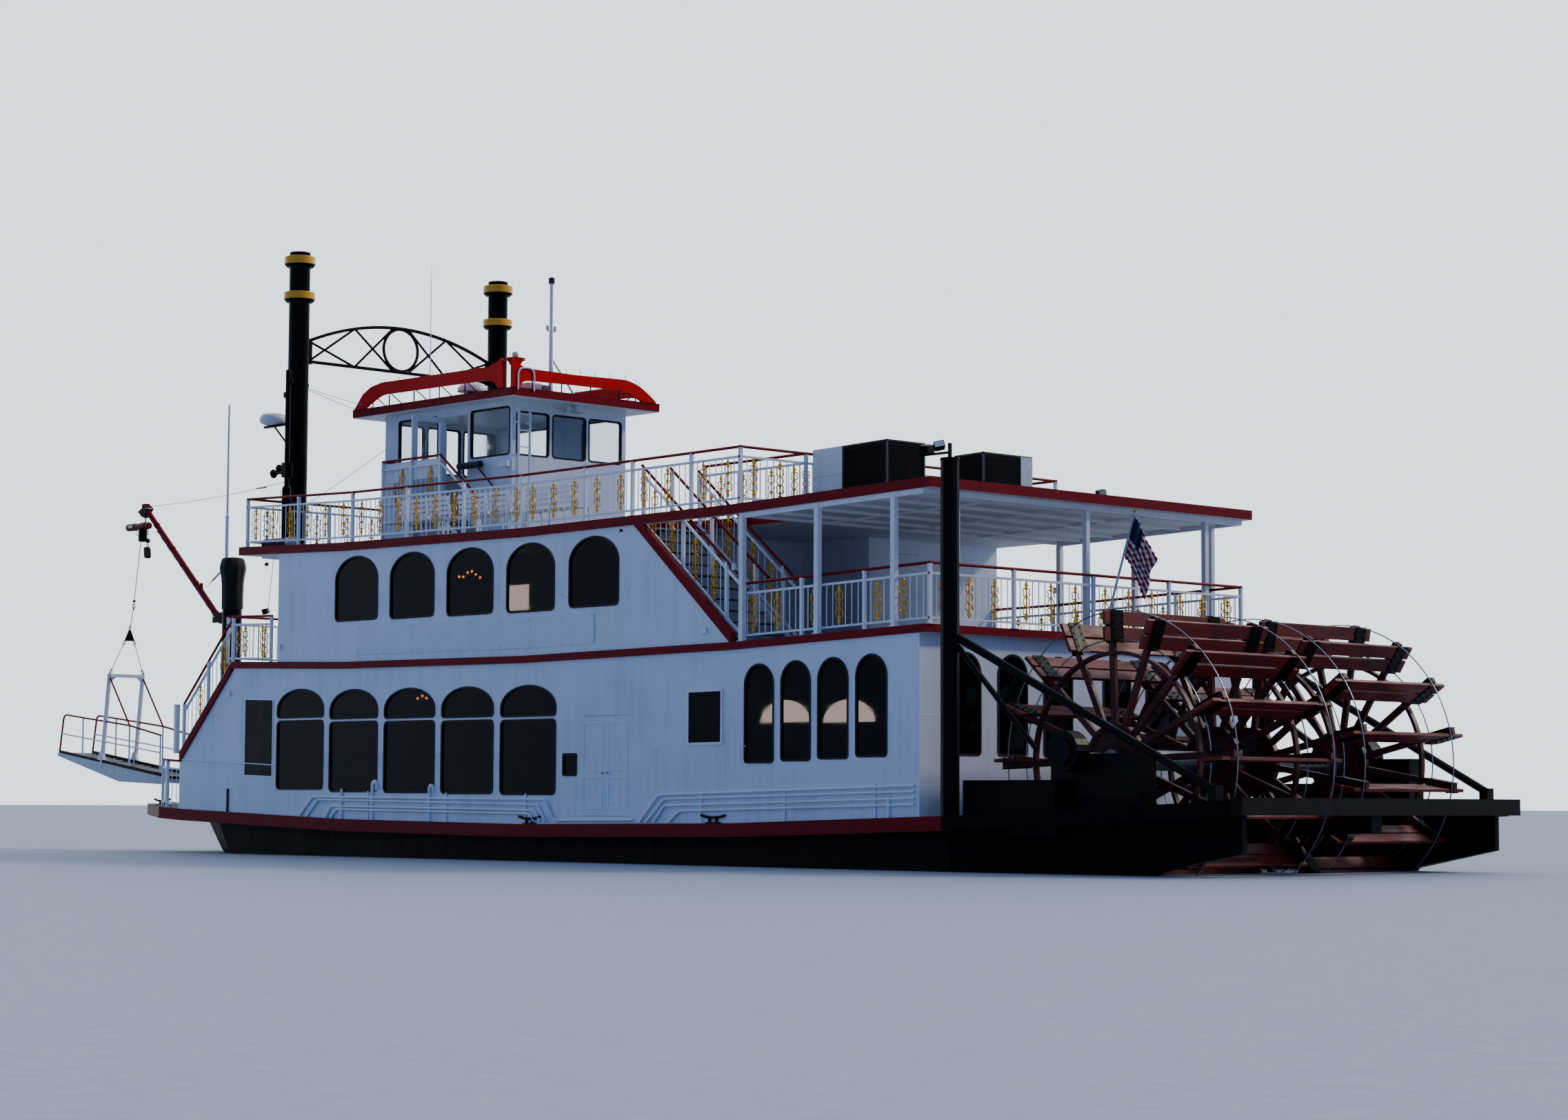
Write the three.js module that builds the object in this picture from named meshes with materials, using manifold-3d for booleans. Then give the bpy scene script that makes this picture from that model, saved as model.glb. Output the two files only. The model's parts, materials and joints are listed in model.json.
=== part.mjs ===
// A sternwheel excursion boat: steel hull, two house decks, a pilothouse and two paddlewheels side by side.
// Millimetres. +X forward, +Y port, +Z up. The origin is the middle of the hull's flat bottom.

import * as THREE from "three";
import { mergeVertices } from "three/addons/utils/BufferGeometryUtils.js";
import Module from "manifold-3d";

const wasm = await Module();
wasm.setup();

// Seat is the gap left where one piece rests on another.
const SEAT = 0.3;

// Deck tops amidships, before the sheer lifts the ends.
const MAIN_TOP = 1670;
const SECOND_TOP = 4935;
const THIRD_TOP = 7435;
const MAIN_DEPTH = 250;
const SECOND_DEPTH = 145;
const THIRD_DEPTH = 180;
const HALF_BEAM = 4400;
const HALF_HULL = 4100;

// The sheer is a parabola about its low point, drawn as straight runs between stations.
const SHEER_RISE = 1.7e-6;
const SHEER_LOW_X = 1000;
const STATIONS = [-17000, -11000, -5000, 1000, 7000, 13000, 19000];

// House walls.
const WALL_OUT = 4350;
const WALL_THICK = 60;
const WALL_IN = WALL_OUT - WALL_THICK;
const MAIN_AFT_X = -9700;
const MAIN_FRONT_X = 9460;
const SECOND_FRONT_X = 9400;
const SECOND_AFT_X = -1700;
const STAIR_FOOT = { x: 13100, z: 2921 };
const STAIR_HEAD = { x: 11100, z: 4927 };

// Paddlewheels: centre of the axle, outer radius, and the planes of the arms.
const AXLE_X = -12950;
const AXLE_Z = 2830;
const WHEEL_R = 2500;
const WHEEL_ARMS = 16;
const WHEEL_INNER_Y = 500;
const WHEEL_OUTER_Y = 3050;
const SHAFT_R = 110;
const SHAFT_CLEAR = 10;
const SHAFT_END = 3760;
const ARM_TIP_X = -15940;
const WELL_HALF = 3420;
const WELL_FRONT_X = -10200;

// Pilothouse.
const PILOT = { aft: 4920, front: 9400, half: 1580, floor: THIRD_TOP + 700, top: 10570 - SEAT };
const PILOT_ROOF = { aft: 4320, front: 10020, half: 2040, under: 10570, depth: 180 };
const PILOT_DOOR = { hinge: 7250, width: 800, low: 8195, high: 10400, open: 100 };

// Funnels.
const FUNNEL = { x: 11020, y: 2810, r: 230, top: 14370, bandR: 345, footHalf: 310 };

// Landing stage gear on the port bow.
const GEAR_Y = 3000;
const POST = { x: 13200, r: 225, top: 7600 };
const BOOM_FOOT = { x: 13750, z: 6270 };
const BOOM_TIP = { x: 16900, z: 8950 };
const STAGE = { x0: 15300, z0: 2430, x1: 19850, z1: 3180, half: 450 };
const PORTAL_X = 17550;
const PORTAL_TOP = 5070;

const WHITE = new THREE.MeshStandardMaterial({ color: 0xe8ecf2, roughness: 0.45, metalness: 0 });
const RED = new THREE.MeshStandardMaterial({ color: 0x7d1a24, roughness: 0.4, metalness: 0 });
const BLACK = new THREE.MeshStandardMaterial({ color: 0x121214, roughness: 0.5, metalness: 0 });
const GREY = new THREE.MeshStandardMaterial({ color: 0x8d9197, roughness: 0.6, metalness: 0 });
const STEEL = new THREE.MeshStandardMaterial({ color: 0xa8adb3, roughness: 0.35, metalness: 0.9 });

const boat = new THREE.Group();
boat.name = "sternwheel_boat";

// Height that the sheer adds at x.
function sheerAt(x) {
  const rise = (at) => SHEER_RISE * (at - SHEER_LOW_X) ** 2;
  const i = Math.max(1, STATIONS.findIndex((s) => x <= s));
  const [a, b] = [STATIONS[i - 1], STATIONS[i]];
  return rise(a) + ((rise(b) - rise(a)) * (x - a)) / (b - a);
}

// A closed geometry becomes a solid that can be joined and cut.
function solid(geometry) {
  const bare = geometry.clone();
  bare.deleteAttribute("normal");
  bare.deleteAttribute("uv");
  const merged = mergeVertices(bare, 1e-3);
  return new wasm.Manifold(
    new wasm.Mesh({
      numProp: 3,
      vertProperties: new Float32Array(merged.attributes.position.array),
      triVerts: new Uint32Array(merged.index.array),
    }),
  );
}

function geometryOf(body) {
  const mesh = body.getMesh();
  const xyz = new Float32Array(mesh.numVert * 3);
  for (let i = 0; i < mesh.numVert; i++)
    xyz.set(mesh.vertProperties.subarray(i * mesh.numProp, i * mesh.numProp + 3), i * 3);
  const geometry = new THREE.BufferGeometry();
  geometry.setAttribute("position", new THREE.BufferAttribute(xyz, 3));
  geometry.setIndex(new THREE.BufferAttribute(new Uint32Array(mesh.triVerts), 1));
  geometry.computeVertexNormals();
  return geometry;
}

const join = (...bodies) => wasm.Manifold.union(bodies.flat());
const cut = (body, ...cutters) => body.subtract(join(cutters));

// Adds one named piece, with its own material, to a group.
function add(name, body, material, group = boat, at = [0, 0, 0]) {
  const mesh = new THREE.Mesh(geometryOf(body), material.clone());
  mesh.name = name;
  mesh.position.set(...at);
  group.add(mesh);
  return mesh;
}

function box(x0, x1, y0, y1, z0, z1) {
  const geometry = new THREE.BoxGeometry(x1 - x0, y1 - y0, z1 - z0);
  geometry.translate((x0 + x1) / 2, (y0 + y1) / 2, (z0 + z1) / 2);
  return solid(geometry);
}

function extrude(shape, depth, steps = 4) {
  return new THREE.ExtrudeGeometry(shape, { depth, bevelEnabled: false, curveSegments: steps });
}

const shapeOf = (points) => new THREE.Shape(points.map(([a, b]) => new THREE.Vector2(a, b)));
const rectangle = (a0, a1, b0, b1) => shapeOf([[a0, b0], [a1, b0], [a1, b1], [a0, b1]]);

// A plan outline of [x, y] points carried up from z0 to z1.
function slab(points, z0, z1) {
  return solid(extrude(shapeOf(points), z1 - z0).translate(0, 0, z0));
}

// A side outline in x and z, points or a shape, carried across from y0 to y1.
function sidePlate(outline, y0, y1) {
  const shape = Array.isArray(outline) ? shapeOf(outline) : outline;
  return solid(extrude(shape, y1 - y0).rotateX(Math.PI / 2).translate(0, y1, 0));
}

// A cross outline in y and z carried forward from x0 to x1.
function crossPlate(outline, x0, x1) {
  const shape = Array.isArray(outline) ? shapeOf(outline) : outline;
  const turn = new THREE.Matrix4().makeBasis(
    new THREE.Vector3(0, 1, 0),
    new THREE.Vector3(0, 0, 1),
    new THREE.Vector3(1, 0, 0),
  );
  return solid(extrude(shape, x1 - x0).applyMatrix4(turn).translate(x0, 0, 0));
}

// A round bar between two points.
function rod(a, b, radius, sides = 8) {
  const [from, to] = [new THREE.Vector3(...a), new THREE.Vector3(...b)];
  const along = to.clone().sub(from);
  const geometry = new THREE.CylinderGeometry(radius, radius, along.length(), sides);
  const turn = new THREE.Quaternion().setFromUnitVectors(new THREE.Vector3(0, 1, 0), along.normalize());
  geometry.applyQuaternion(turn);
  const middle = from.add(to).multiplyScalar(0.5);
  return solid(geometry.translate(middle.x, middle.y, middle.z));
}

// A bar of rectangular section in a plane of constant y, from [x, z] to [x, z].
function barInPlane([x0, z0], [x1, z1], y0, y1, width) {
  const length = Math.hypot(x1 - x0, z1 - z0);
  const [nx, nz] = [(-(z1 - z0) / length) * (width / 2), ((x1 - x0) / length) * (width / 2)];
  const outline = [
    [x0 + nx, z0 + nz],
    [x1 + nx, z1 + nz],
    [x1 - nx, z1 - nz],
    [x0 - nx, z0 - nz],
  ];
  return sidePlate(outline, y0, y1);
}

// A rectangle whose head is round, for windows. Width, sill and crown are measured before the sheer.
function archShape(x0, x1, low, high, rise) {
  const [middle, half] = [(x0 + x1) / 2, (x1 - x0) / 2];
  const shape = new THREE.Shape();
  shape.moveTo(x0, low);
  shape.lineTo(x1, low);
  shape.lineTo(x1, high - rise);
  shape.absellipse(middle, high - rise, half, rise, 0, Math.PI, false);
  return shape;
}

// Splits every triangle that crosses the plane at x, so that the sheer can bend the solid there.
function splitAt(verts, tris, x) {
  const made = new Map();
  const side = (i) => (Math.abs(verts[i][0] - x) < 0.01 ? 0 : Math.sign(verts[i][0] - x));
  const crossing = (i, j) => {
    const key = i < j ? `${i},${j}` : `${j},${i}`;
    if (!made.has(key)) {
      const [a, b] = [verts[Math.min(i, j)], verts[Math.max(i, j)]];
      const t = (x - a[0]) / (b[0] - a[0]);
      verts.push([x, a[1] + t * (b[1] - a[1]), a[2] + t * (b[2] - a[2])]);
      made.set(key, verts.length - 1);
    }
    return made.get(key);
  };
  return tris.flatMap((tri) => {
    const sides = tri.map(side);
    if (!(sides.includes(1) && sides.includes(-1))) return [tri];
    // The corner that stands alone on its side, or the corner on the plane, comes first.
    const alone = (s, k) => s !== sides[(k + 1) % 3] && s !== sides[(k + 2) % 3];
    const first = sides.includes(0) ? sides.indexOf(0) : sides.findIndex(alone);
    const [p, q, r] = [tri[first], tri[(first + 1) % 3], tri[(first + 2) % 3]];
    if (side(p) === 0) {
      const m = crossing(q, r);
      return [
        [p, q, m],
        [p, m, r],
      ];
    }
    const [m, n] = [crossing(p, q), crossing(p, r)];
    return [
      [p, m, n],
      [m, q, r],
      [m, r, n],
    ];
  });
}

// Bends a solid made on level decks to the sheer.
function sheered(body) {
  const mesh = body.getMesh();
  const verts = Array.from({ length: mesh.numVert }, (_, i) =>
    Array.from(mesh.vertProperties.subarray(i * mesh.numProp, i * mesh.numProp + 3)),
  );
  const corners = (i) => Array.from(mesh.triVerts.subarray(i * 3, i * 3 + 3));
  let tris = Array.from({ length: mesh.numTri }, (_, i) => corners(i));
  for (const x of STATIONS) tris = splitAt(verts, tris, x);
  return new wasm.Manifold(
    new wasm.Mesh({
      numProp: 3,
      vertProperties: new Float32Array(verts.flatMap(([x, y, z]) => [x, y, z + sheerAt(x)])),
      triVerts: new Uint32Array(tris.flat()),
    }),
  );
}

// Moves a cutter made on level decks to its place on the sheer.
const lifted = (body, x) => body.translate([0, 0, sheerAt(x)]);
const mirrored = (body) => body.mirror([0, 1, 0]);
const bothSides = (make) => [
  ["port", make()],
  ["starboard", mirrored(make())],
];

// HULL
// Each row is one level: its height, the stern's x, the half breadth, and the x of the bow's points.
const HULL_LEVELS = [
  { z: 0, stern: -6200, half: 3750, bow: [9800, 10900, 11700, 12150, 12250] },
  { z: 350, stern: -7530, half: 4100, bow: [10600, 11750, 12550, 13000, 13100] },
  { z: 1050, stern: -10200, half: 4100, bow: [11500, 12700, 13500, 13950, 14050] },
  { z: 1860, stern: -10200, half: 4100, bow: [12100, 13400, 14200, 14700, 14850] },
];
// Half breadths of the bow's points after the first, which has the level's full half breadth.
const BOW_BREADTHS = { bottom: [3250, 2300, 1150, 0], sides: [3500, 2450, 1200, 0] };

function hull() {
  const rings = HULL_LEVELS.map(({ z, stern, half, bow }) => {
    const breadths = [half, ...(z === 0 ? BOW_BREADTHS.bottom : BOW_BREADTHS.sides)];
    const port = [[stern, half], ...bow.map((x, i) => [x, breadths[i]])];
    const starboard = port.slice(0, -1).reverse().map(([x, y]) => [x, -y]);
    return [...port, ...starboard].map(([x, y]) => [x, y, z]);
  });
  const count = rings[0].length;
  const tris = [];
  const at = (ring, i) => ring * count + (i % count);
  for (let k = 0; k + 1 < rings.length; k++)
    for (let i = 0; i < count; i++) {
      tris.push([at(k, i), at(k + 1, i), at(k, i + 1)]);
      tris.push([at(k, i + 1), at(k + 1, i), at(k + 1, i + 1)]);
    }
  for (let i = 1; i + 1 < count; i++) {
    tris.push([at(0, 0), at(0, i), at(0, i + 1)]);
    tris.push([at(rings.length - 1, 0), at(rings.length - 1, i + 1), at(rings.length - 1, i)]);
  }
  const shell = new wasm.Manifold(
    new wasm.Mesh({
      numProp: 3,
      vertProperties: new Float32Array(rings.flat(2)),
      triVerts: new Uint32Array(tris.flat()),
    }),
  );
  const above = sheered(box(-16900, 16900, -5000, 5000, MAIN_TOP - MAIN_DEPTH - SEAT, 4000));
  const trunks = [RUDDER.y, -RUDDER.y].map((y) =>
    rod([RUDDER.x, y, 500], [RUDDER.x, y, RUDDER.head + 0.5], RUDDER.stockR + 10, 16),
  );
  return cut(shell, above, ...trunks);
}

// RUDDERS
const RUDDER = {
  x: -9900,
  y: 1750,
  stockR: 60,
  head: 1250,
  foot: 60,
  top: 900,
  aft: 900,
  fore: 1200,
  foreTop: 590,
};

function rudder() {
  const blade = sidePlate(
    [
      [RUDDER.x - RUDDER.aft, RUDDER.foot],
      [RUDDER.x + RUDDER.fore, RUDDER.foot],
      [RUDDER.x + RUDDER.fore, RUDDER.foreTop],
      [RUDDER.x, RUDDER.top],
      [RUDDER.x - RUDDER.aft, RUDDER.top],
    ],
    RUDDER.y - 35,
    RUDDER.y + 35,
  );
  return join(blade, rod([RUDDER.x, RUDDER.y, 200], [RUDDER.x, RUDDER.y, RUDDER.head], RUDDER.stockR, 16));
}

add("hull", hull(), BLACK);
for (const [side, body] of bothSides(rudder)) add(`rudder_${side}`, body, BLACK);

// Hull arms that carry the paddlewheels aft of the transom.
function armTaper(x, outer) {
  return outer - ((WELL_FRONT_X - x) / (WELL_FRONT_X - ARM_TIP_X)) * (HALF_BEAM - 3840);
}

// The long black locker along each arm's outer edge.
const ARM_LOCKER = { x0: -12584, x1: -10520, y0: 3910, y1: 4150, top: 2490 };

function sponson() {
  const under = MAIN_TOP - MAIN_DEPTH;
  const side = [
    [WELL_FRONT_X - 50 - SEAT, 80],
    [-13200, 80],
    [-14200, 1000],
    [ARM_TIP_X, 1330],
    [ARM_TIP_X, 3000],
    [WELL_FRONT_X - 50 - SEAT, 3000],
  ];
  const plan = (outer, low, high) =>
    slab(
      [
        [WELL_FRONT_X - 50 - SEAT, WELL_HALF],
        [WELL_FRONT_X - 50 - SEAT, outer],
        [ARM_TIP_X, armTaper(ARM_TIP_X, outer)],
        [ARM_TIP_X, WELL_HALF],
      ],
      low,
      high,
    );
  const above = sheered(box(-16900, WELL_FRONT_X + 50, 3000, 5000, under + 20, 4000));
  const body = cut(sidePlate(side, 3000, 5000).intersect(plan(HALF_HULL, 0, 4000)), above);
  const locker = box(ARM_LOCKER.x0, ARM_LOCKER.x1, ARM_LOCKER.y0, ARM_LOCKER.y1, under + 150, ARM_LOCKER.top);
  return join(body, sheered(plan(HALF_BEAM, under, MAIN_TOP)), locker);
}
for (const [side, body] of bothSides(sponson)) add(`sponson_${side}`, body, BLACK);

// DECKS
const BOW_CORNER = [13870, HALF_BEAM];
const BOW_FRONT = [15300, 3800];
const mirrorPlan = (port) => [...port, ...port.map(([x, y]) => [x, -y]).reverse()];
const DECK_PLAN = mirrorPlan([[WELL_FRONT_X - 50, HALF_BEAM], BOW_CORNER, BOW_FRONT]);

// The deck's edge is the guard, a deep rub band that stands out past the hull.
function mainDeck() {
  return sheered(slab(DECK_PLAN, MAIN_TOP - MAIN_DEPTH, MAIN_TOP));
}
add("main_deck", mainDeck(), RED);

// The beam across the arms' aft ends, and the arm between the two wheels.
const AFT_BEAM = { x0: ARM_TIP_X - 240, x1: ARM_TIP_X - SEAT, half: 3840, z0: 1930, z1: 2210 };
const CENTRE_HALF = 140;
add("aft_beam", box(AFT_BEAM.x0, AFT_BEAM.x1, -AFT_BEAM.half, AFT_BEAM.half, AFT_BEAM.z0, AFT_BEAM.z1), BLACK);

function centreArm() {
  const beam = sheered(box(ARM_TIP_X, WELL_FRONT_X - 50 - SEAT, -CENTRE_HALF, CENTRE_HALF, 1150, 1670));
  const pedestal = box(AXLE_X - 300, AXLE_X + 300, -CENTRE_HALF, CENTRE_HALF, 1900, AXLE_Z + 260);
  const bore = rod([AXLE_X, -500, AXLE_Z], [AXLE_X, 500, AXLE_Z], SHAFT_R + SHAFT_CLEAR, 16);
  return cut(join(beam, pedestal), bore);
}
add("centre_arm", centreArm(), BLACK);

// PADDLEWHEELS
// Built about the axle, then set on it. Angles run from straight up towards the stern.
const BUCKET = { inner: 1950, outer: 2455, thick: 60, overhang: 300 };
const ARM = { width: 110, thick: 90, root: 450 };

function wheel(phase) {
  const arms = [];
  const [y0, y1] = [WHEEL_INNER_Y, WHEEL_OUTER_Y];
  for (let k = 0; k < WHEEL_ARMS; k++) {
    const turn = phase + (360 / WHEEL_ARMS) * k;
    const spun = (body) => body.rotate([0, -turn, 0]);
    for (const y of [y0, y1]) {
      const [wide, thick] = [ARM.width / 2, ARM.thick / 2];
      arms.push(spun(box(-wide, wide, y - thick, y + thick, ARM.root, WHEEL_R)));
    }
    const face = ARM.width / 2 - 10;
    const [from, to] = [y0 - BUCKET.overhang, y1 + BUCKET.overhang];
    arms.push(spun(box(-BUCKET.thick - face, -face, from, to, BUCKET.inner, BUCKET.outer)));
  }
  for (const y of [y0, y1]) {
    arms.push(ringOfBars(1765, 110, y - 30, y + 30, phase));
    arms.push(hubDisc(600, y - 55, y + 55));
  }
  return cut(join(arms), rod([0, -4000, 0], [0, 4000, 0], SHAFT_R + 60 + SEAT, 16));
}

// A ring of straight bars from arm to arm, in the plane of the arms.
function ringOfBars(radius, width, y0, y1, phase) {
  const at = (k, r) => {
    const a = THREE.MathUtils.degToRad(phase + (360 / WHEEL_ARMS) * k);
    return [-Math.sin(a) * r, Math.cos(a) * r];
  };
  const ring = (r) => Array.from({ length: WHEEL_ARMS }, (_, k) => at(k, r));
  const outer = sidePlate(ring(radius + width / 2), y0, y1);
  return cut(outer, sidePlate(ring(radius - width / 2), y0 - 10, y1 + 10));
}

const hubDisc = (r, y0, y1) => rod([0, y0, 0], [0, y1, 0], r, 16);

function wheelShaft() {
  const shaft = rod([0, 20, 0], [0, SHAFT_END, 0], SHAFT_R, 16);
  const sleeve = rod([0, WHEEL_INNER_Y - 130, 0], [0, WHEEL_OUTER_Y + 130, 0], SHAFT_R + 60, 16);
  return join(shaft, sleeve);
}

const PHASE = { port: -1.8, starboard: 9.45 };
for (const [side, sign] of [["port", 1], ["starboard", -1]]) {
  const group = new THREE.Group();
  group.position.set(AXLE_X, 0, AXLE_Z);
  boat.add(group);
  const face = (body) => (sign > 0 ? body : mirrored(body));
  add(`paddlewheel_${side}`, face(wheel(PHASE[side])), RED, group);
  add(`wheel_shaft_${side}`, face(wheelShaft()), STEEL, group);
}

// Outboard bearings in the drive housings on the arms, with the round drive casing outboard.
const DRIVE = { x0: -14150, x1: -12270, y0: 3470, y1: 3900, top: 2920, drumR: 340, drumX: -12757, drumZ: 2957 };
function drive() {
  const { x0, x1, y0, y1, top, drumR, drumX, drumZ } = DRIVE;
  const foot = sheered(box(x0, x1, y0, y1 - 60, MAIN_TOP + SEAT, MAIN_TOP + 400));
  const housing = box(x0, x1, y0, y1, 2200, top);
  const drum = join(
    rod([drumX, y1 - 20, drumZ], [drumX, y1 + 280, drumZ], drumR, 20),
    rod([drumX, y1 + 200, drumZ], [drumX, y1 + 330, drumZ], drumR * 0.6, 20),
  );
  const bore = rod([AXLE_X, y0 - 50, AXLE_Z], [AXLE_X, SHAFT_END + 0.5, AXLE_Z], SHAFT_R + SHAFT_CLEAR, 16);
  return cut(join(foot, housing, drum), bore);
}
for (const [side, body] of bothSides(drive)) add(`drive_${side}`, body, BLACK);

// MAIN HOUSE
const MAIN_LOW = MAIN_TOP + SEAT;
const MAIN_HIGH = SECOND_TOP - SECOND_DEPTH - SEAT;
const SECOND_LOW = SECOND_TOP + SEAT;
const SECOND_HIGH = THIRD_TOP - THIRD_DEPTH - SEAT;
const STRINGER = 150;

// Windows of a main deck side, [aft x, forward x]. Each has a tall pane below and a fan light above.
const SALOON_BAYS = [
  [7670, 9355],
  [5760, 7425],
  [3830, 5515],
  [1935, 3590],
  [5, 1690],
];
const SALOON_PANE = { low: 2250, high: 3680, round: 60 };
const SALOON_FAN = { low: 3765, high: 4345, rise: 420 };
// Plain openings of that side: [aft x, forward x, low, high].
const SIDE_OPENINGS = [
  [9535, 10565, 2795, 3905],
  [-627, -237, 2600, 2995],
  [-4655, -3790, 3155, 4070],
];
// Narrow arched windows at the aft end of that side.
const AFT_BAYS = [
  [-6087, -5346],
  [-7031, -6298],
  [-7971, -7238],
  [-8919, -8184],
];
const AFT_PANE = { low: 2740, high: 4485, rise: 370 };
const SIDE_DOOR = { x0: -2203, x1: -759, low: 1811, high: 3708 };
const DOOR_GAP = 6;
const HINGE_GAP = 0.5;

// The line of the stair's stringer, moved down square to it by a distance.
function stairLine(down) {
  const dx = STAIR_FOOT.x - STAIR_HEAD.x;
  const dz = STAIR_FOOT.z - STAIR_HEAD.z;
  const length = Math.hypot(dx, dz);
  const [ox, oz] = [(dz / length) * down, (-dx / length) * down];
  return [
    [STAIR_HEAD.x + ox, STAIR_HEAD.z + oz],
    [STAIR_FOOT.x + ox, STAIR_FOOT.z + oz],
  ];
}

function windowCutter(x0, x1, low, high, rise) {
  const shape = rise ? archShape(x0, x1, low, high, rise) : rectangle(x0, x1, low, high);
  return lifted(sidePlate(shape, 4000, 4600), (x0 + x1) / 2);
}

function mainSide() {
  const [head, foot] = stairLine(STRINGER + SEAT);
  const slope = (foot[1] - head[1]) / (foot[0] - head[0]);
  const outline = [
    [MAIN_AFT_X, MAIN_LOW],
    [STAIR_FOOT.x, MAIN_LOW],
    [STAIR_FOOT.x, head[1] + slope * (STAIR_FOOT.x - head[0])],
    [head[0] + (MAIN_HIGH - head[1]) / slope, MAIN_HIGH],
    [MAIN_AFT_X, MAIN_HIGH],
  ];
  const wall = sheered(sidePlate(outline, WALL_IN, WALL_OUT));
  const cutters = [
    ...SALOON_BAYS.map(([x0, x1]) => windowCutter(x0, x1, SALOON_PANE.low, SALOON_PANE.high, 0)),
    ...SALOON_BAYS.map(([x0, x1]) => windowCutter(x0, x1, SALOON_FAN.low, SALOON_FAN.high, SALOON_FAN.rise)),
    ...SIDE_OPENINGS.map(([x0, x1, low, high]) => windowCutter(x0, x1, low, high, 0)),
    ...AFT_BAYS.map(([x0, x1]) => windowCutter(x0, x1, AFT_PANE.low, AFT_PANE.high, AFT_PANE.rise)),
    windowCutter(SIDE_DOOR.x0, SIDE_DOOR.x1, SIDE_DOOR.low, SIDE_DOOR.high, 0),
  ];
  return cut(wall, ...cutters);
}

add("main_side_port", mainSide(), WHITE);
add("main_side_starboard", mirrored(mainSide()), WHITE);

// Cross bulkheads of both decks. Openings are [y centre, width, low, high, rise].
function bulkhead(x0, x1, halfWidth, low, high, openings) {
  const wall = box(x0, x1, -halfWidth, halfWidth, low, high);
  const cutters = openings.map(([y, width, sill, crown, rise]) =>
    crossPlate(
      rise
        ? archShape(y - width / 2, y + width / 2, sill, crown, rise)
        : rectangle(y - width / 2, y + width / 2, sill, crown),
      x0 - 100,
      x1 + 100,
    ),
  );
  return cut(sheered(wall), ...cutters.map((c) => lifted(c, x0)));
}

const INSIDE = WALL_IN - SEAT;
add(
  "main_aft_wall",
  bulkhead(MAIN_AFT_X, MAIN_AFT_X + WALL_THICK, INSIDE, MAIN_LOW, MAIN_HIGH, [
    [3200, 740, 2740, 4485, 370],
    [2000, 740, 2740, 4485, 370],
    [800, 740, 2740, 4485, 370],
    [-800, 740, 2740, 4485, 370],
    [-2000, 740, 2740, 4485, 370],
    [-3200, 740, 2740, 4485, 370],
  ]),
  WHITE,
);
add(
  "main_front_wall",
  bulkhead(MAIN_FRONT_X - WALL_THICK, MAIN_FRONT_X, INSIDE, MAIN_LOW, MAIN_HIGH, [
    [0, 1600, MAIN_LOW + 100, 3700, 0],
    [2300, 1200, 2600, 3700, 0],
    [-2300, 1200, 2600, 3700, 0],
  ]),
  WHITE,
);

// Leaves of the side doors, hinged at their outer edges on the wall's outer face.
function doorLeaf(x0, x1, low, high) {
  return box(x0, x1, -WALL_THICK, 0, low, high);
}

const DOOR_MID = (SIDE_DOOR.x0 + SIDE_DOOR.x1) / 2;
for (const [side, sign] of [["port", 1], ["starboard", -1]]) {
  for (const [which, x0, x1] of [
    ["aft", SIDE_DOOR.x0 + HINGE_GAP, DOOR_MID - DOOR_GAP / 2],
    ["fore", DOOR_MID + DOOR_GAP / 2, SIDE_DOOR.x1 - HINGE_GAP],
  ]) {
    const lift = sheerAt(DOOR_MID);
    const leaf = doorLeaf(x0, x1, SIDE_DOOR.low + DOOR_GAP + lift, SIDE_DOOR.high - DOOR_GAP + lift);
    const placed = sign > 0 ? leaf : mirrored(leaf);
    add(`side_door_${which}_${side}`, placed, WHITE, boat, [0, sign * WALL_OUT, 0]);
  }
}

// SECOND DECK
const STAIR_WELL = { x0: -5000, x1: -2250, y0: 2700, y1: 4260 };

// Between the forward stairs the deck runs on towards the bow, round the boom's post.
const TONGUE = { x: 13150, half: 3330 };

function secondDeck() {
  const plan = mirrorPlan([
    [-9870, HALF_BEAM],
    [11100, HALF_BEAM],
    [11100, TONGUE.half],
    [TONGUE.x, TONGUE.half],
  ]);
  const hatch = (y0, y1) => box(9900, 11200, y0, y1, 0, 9000);
  const floor = slab(plan, SECOND_TOP - SECOND_DEPTH, SECOND_TOP);
  const postNotch = box(POST.x - POST.r - 20, 14000, GEAR_Y - POST.r - 20, GEAR_Y + POST.r + 20, 0, 9000);
  return cut(
    sheered(floor),
    hatch(TONGUE.half, WALL_IN - 40),
    hatch(-WALL_IN + 40, -TONGUE.half),
    postNotch,
  );
}
add("second_deck", secondDeck(), RED);

// Arched windows of the second deck's sides.
const SECOND_BAYS = [
  [5820, 7290],
  [3905, 5370],
  [1990, 3460],
  [85, 1540],
  [-1820, -375],
];
const SECOND_PANE = { low: 5800, high: 7115, rise: 480 };

// The lobby that stands aft of the saloon, to starboard.
const LOBBY = { x: -3500, y1: -650 };

// The port wall's slanted edge beside the aft stair, with the band that caps it.
const SLANT = { head: [-2290, SECOND_HIGH], foot: [-4960, SECOND_LOW], band: 259, end: -5000 };

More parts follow.
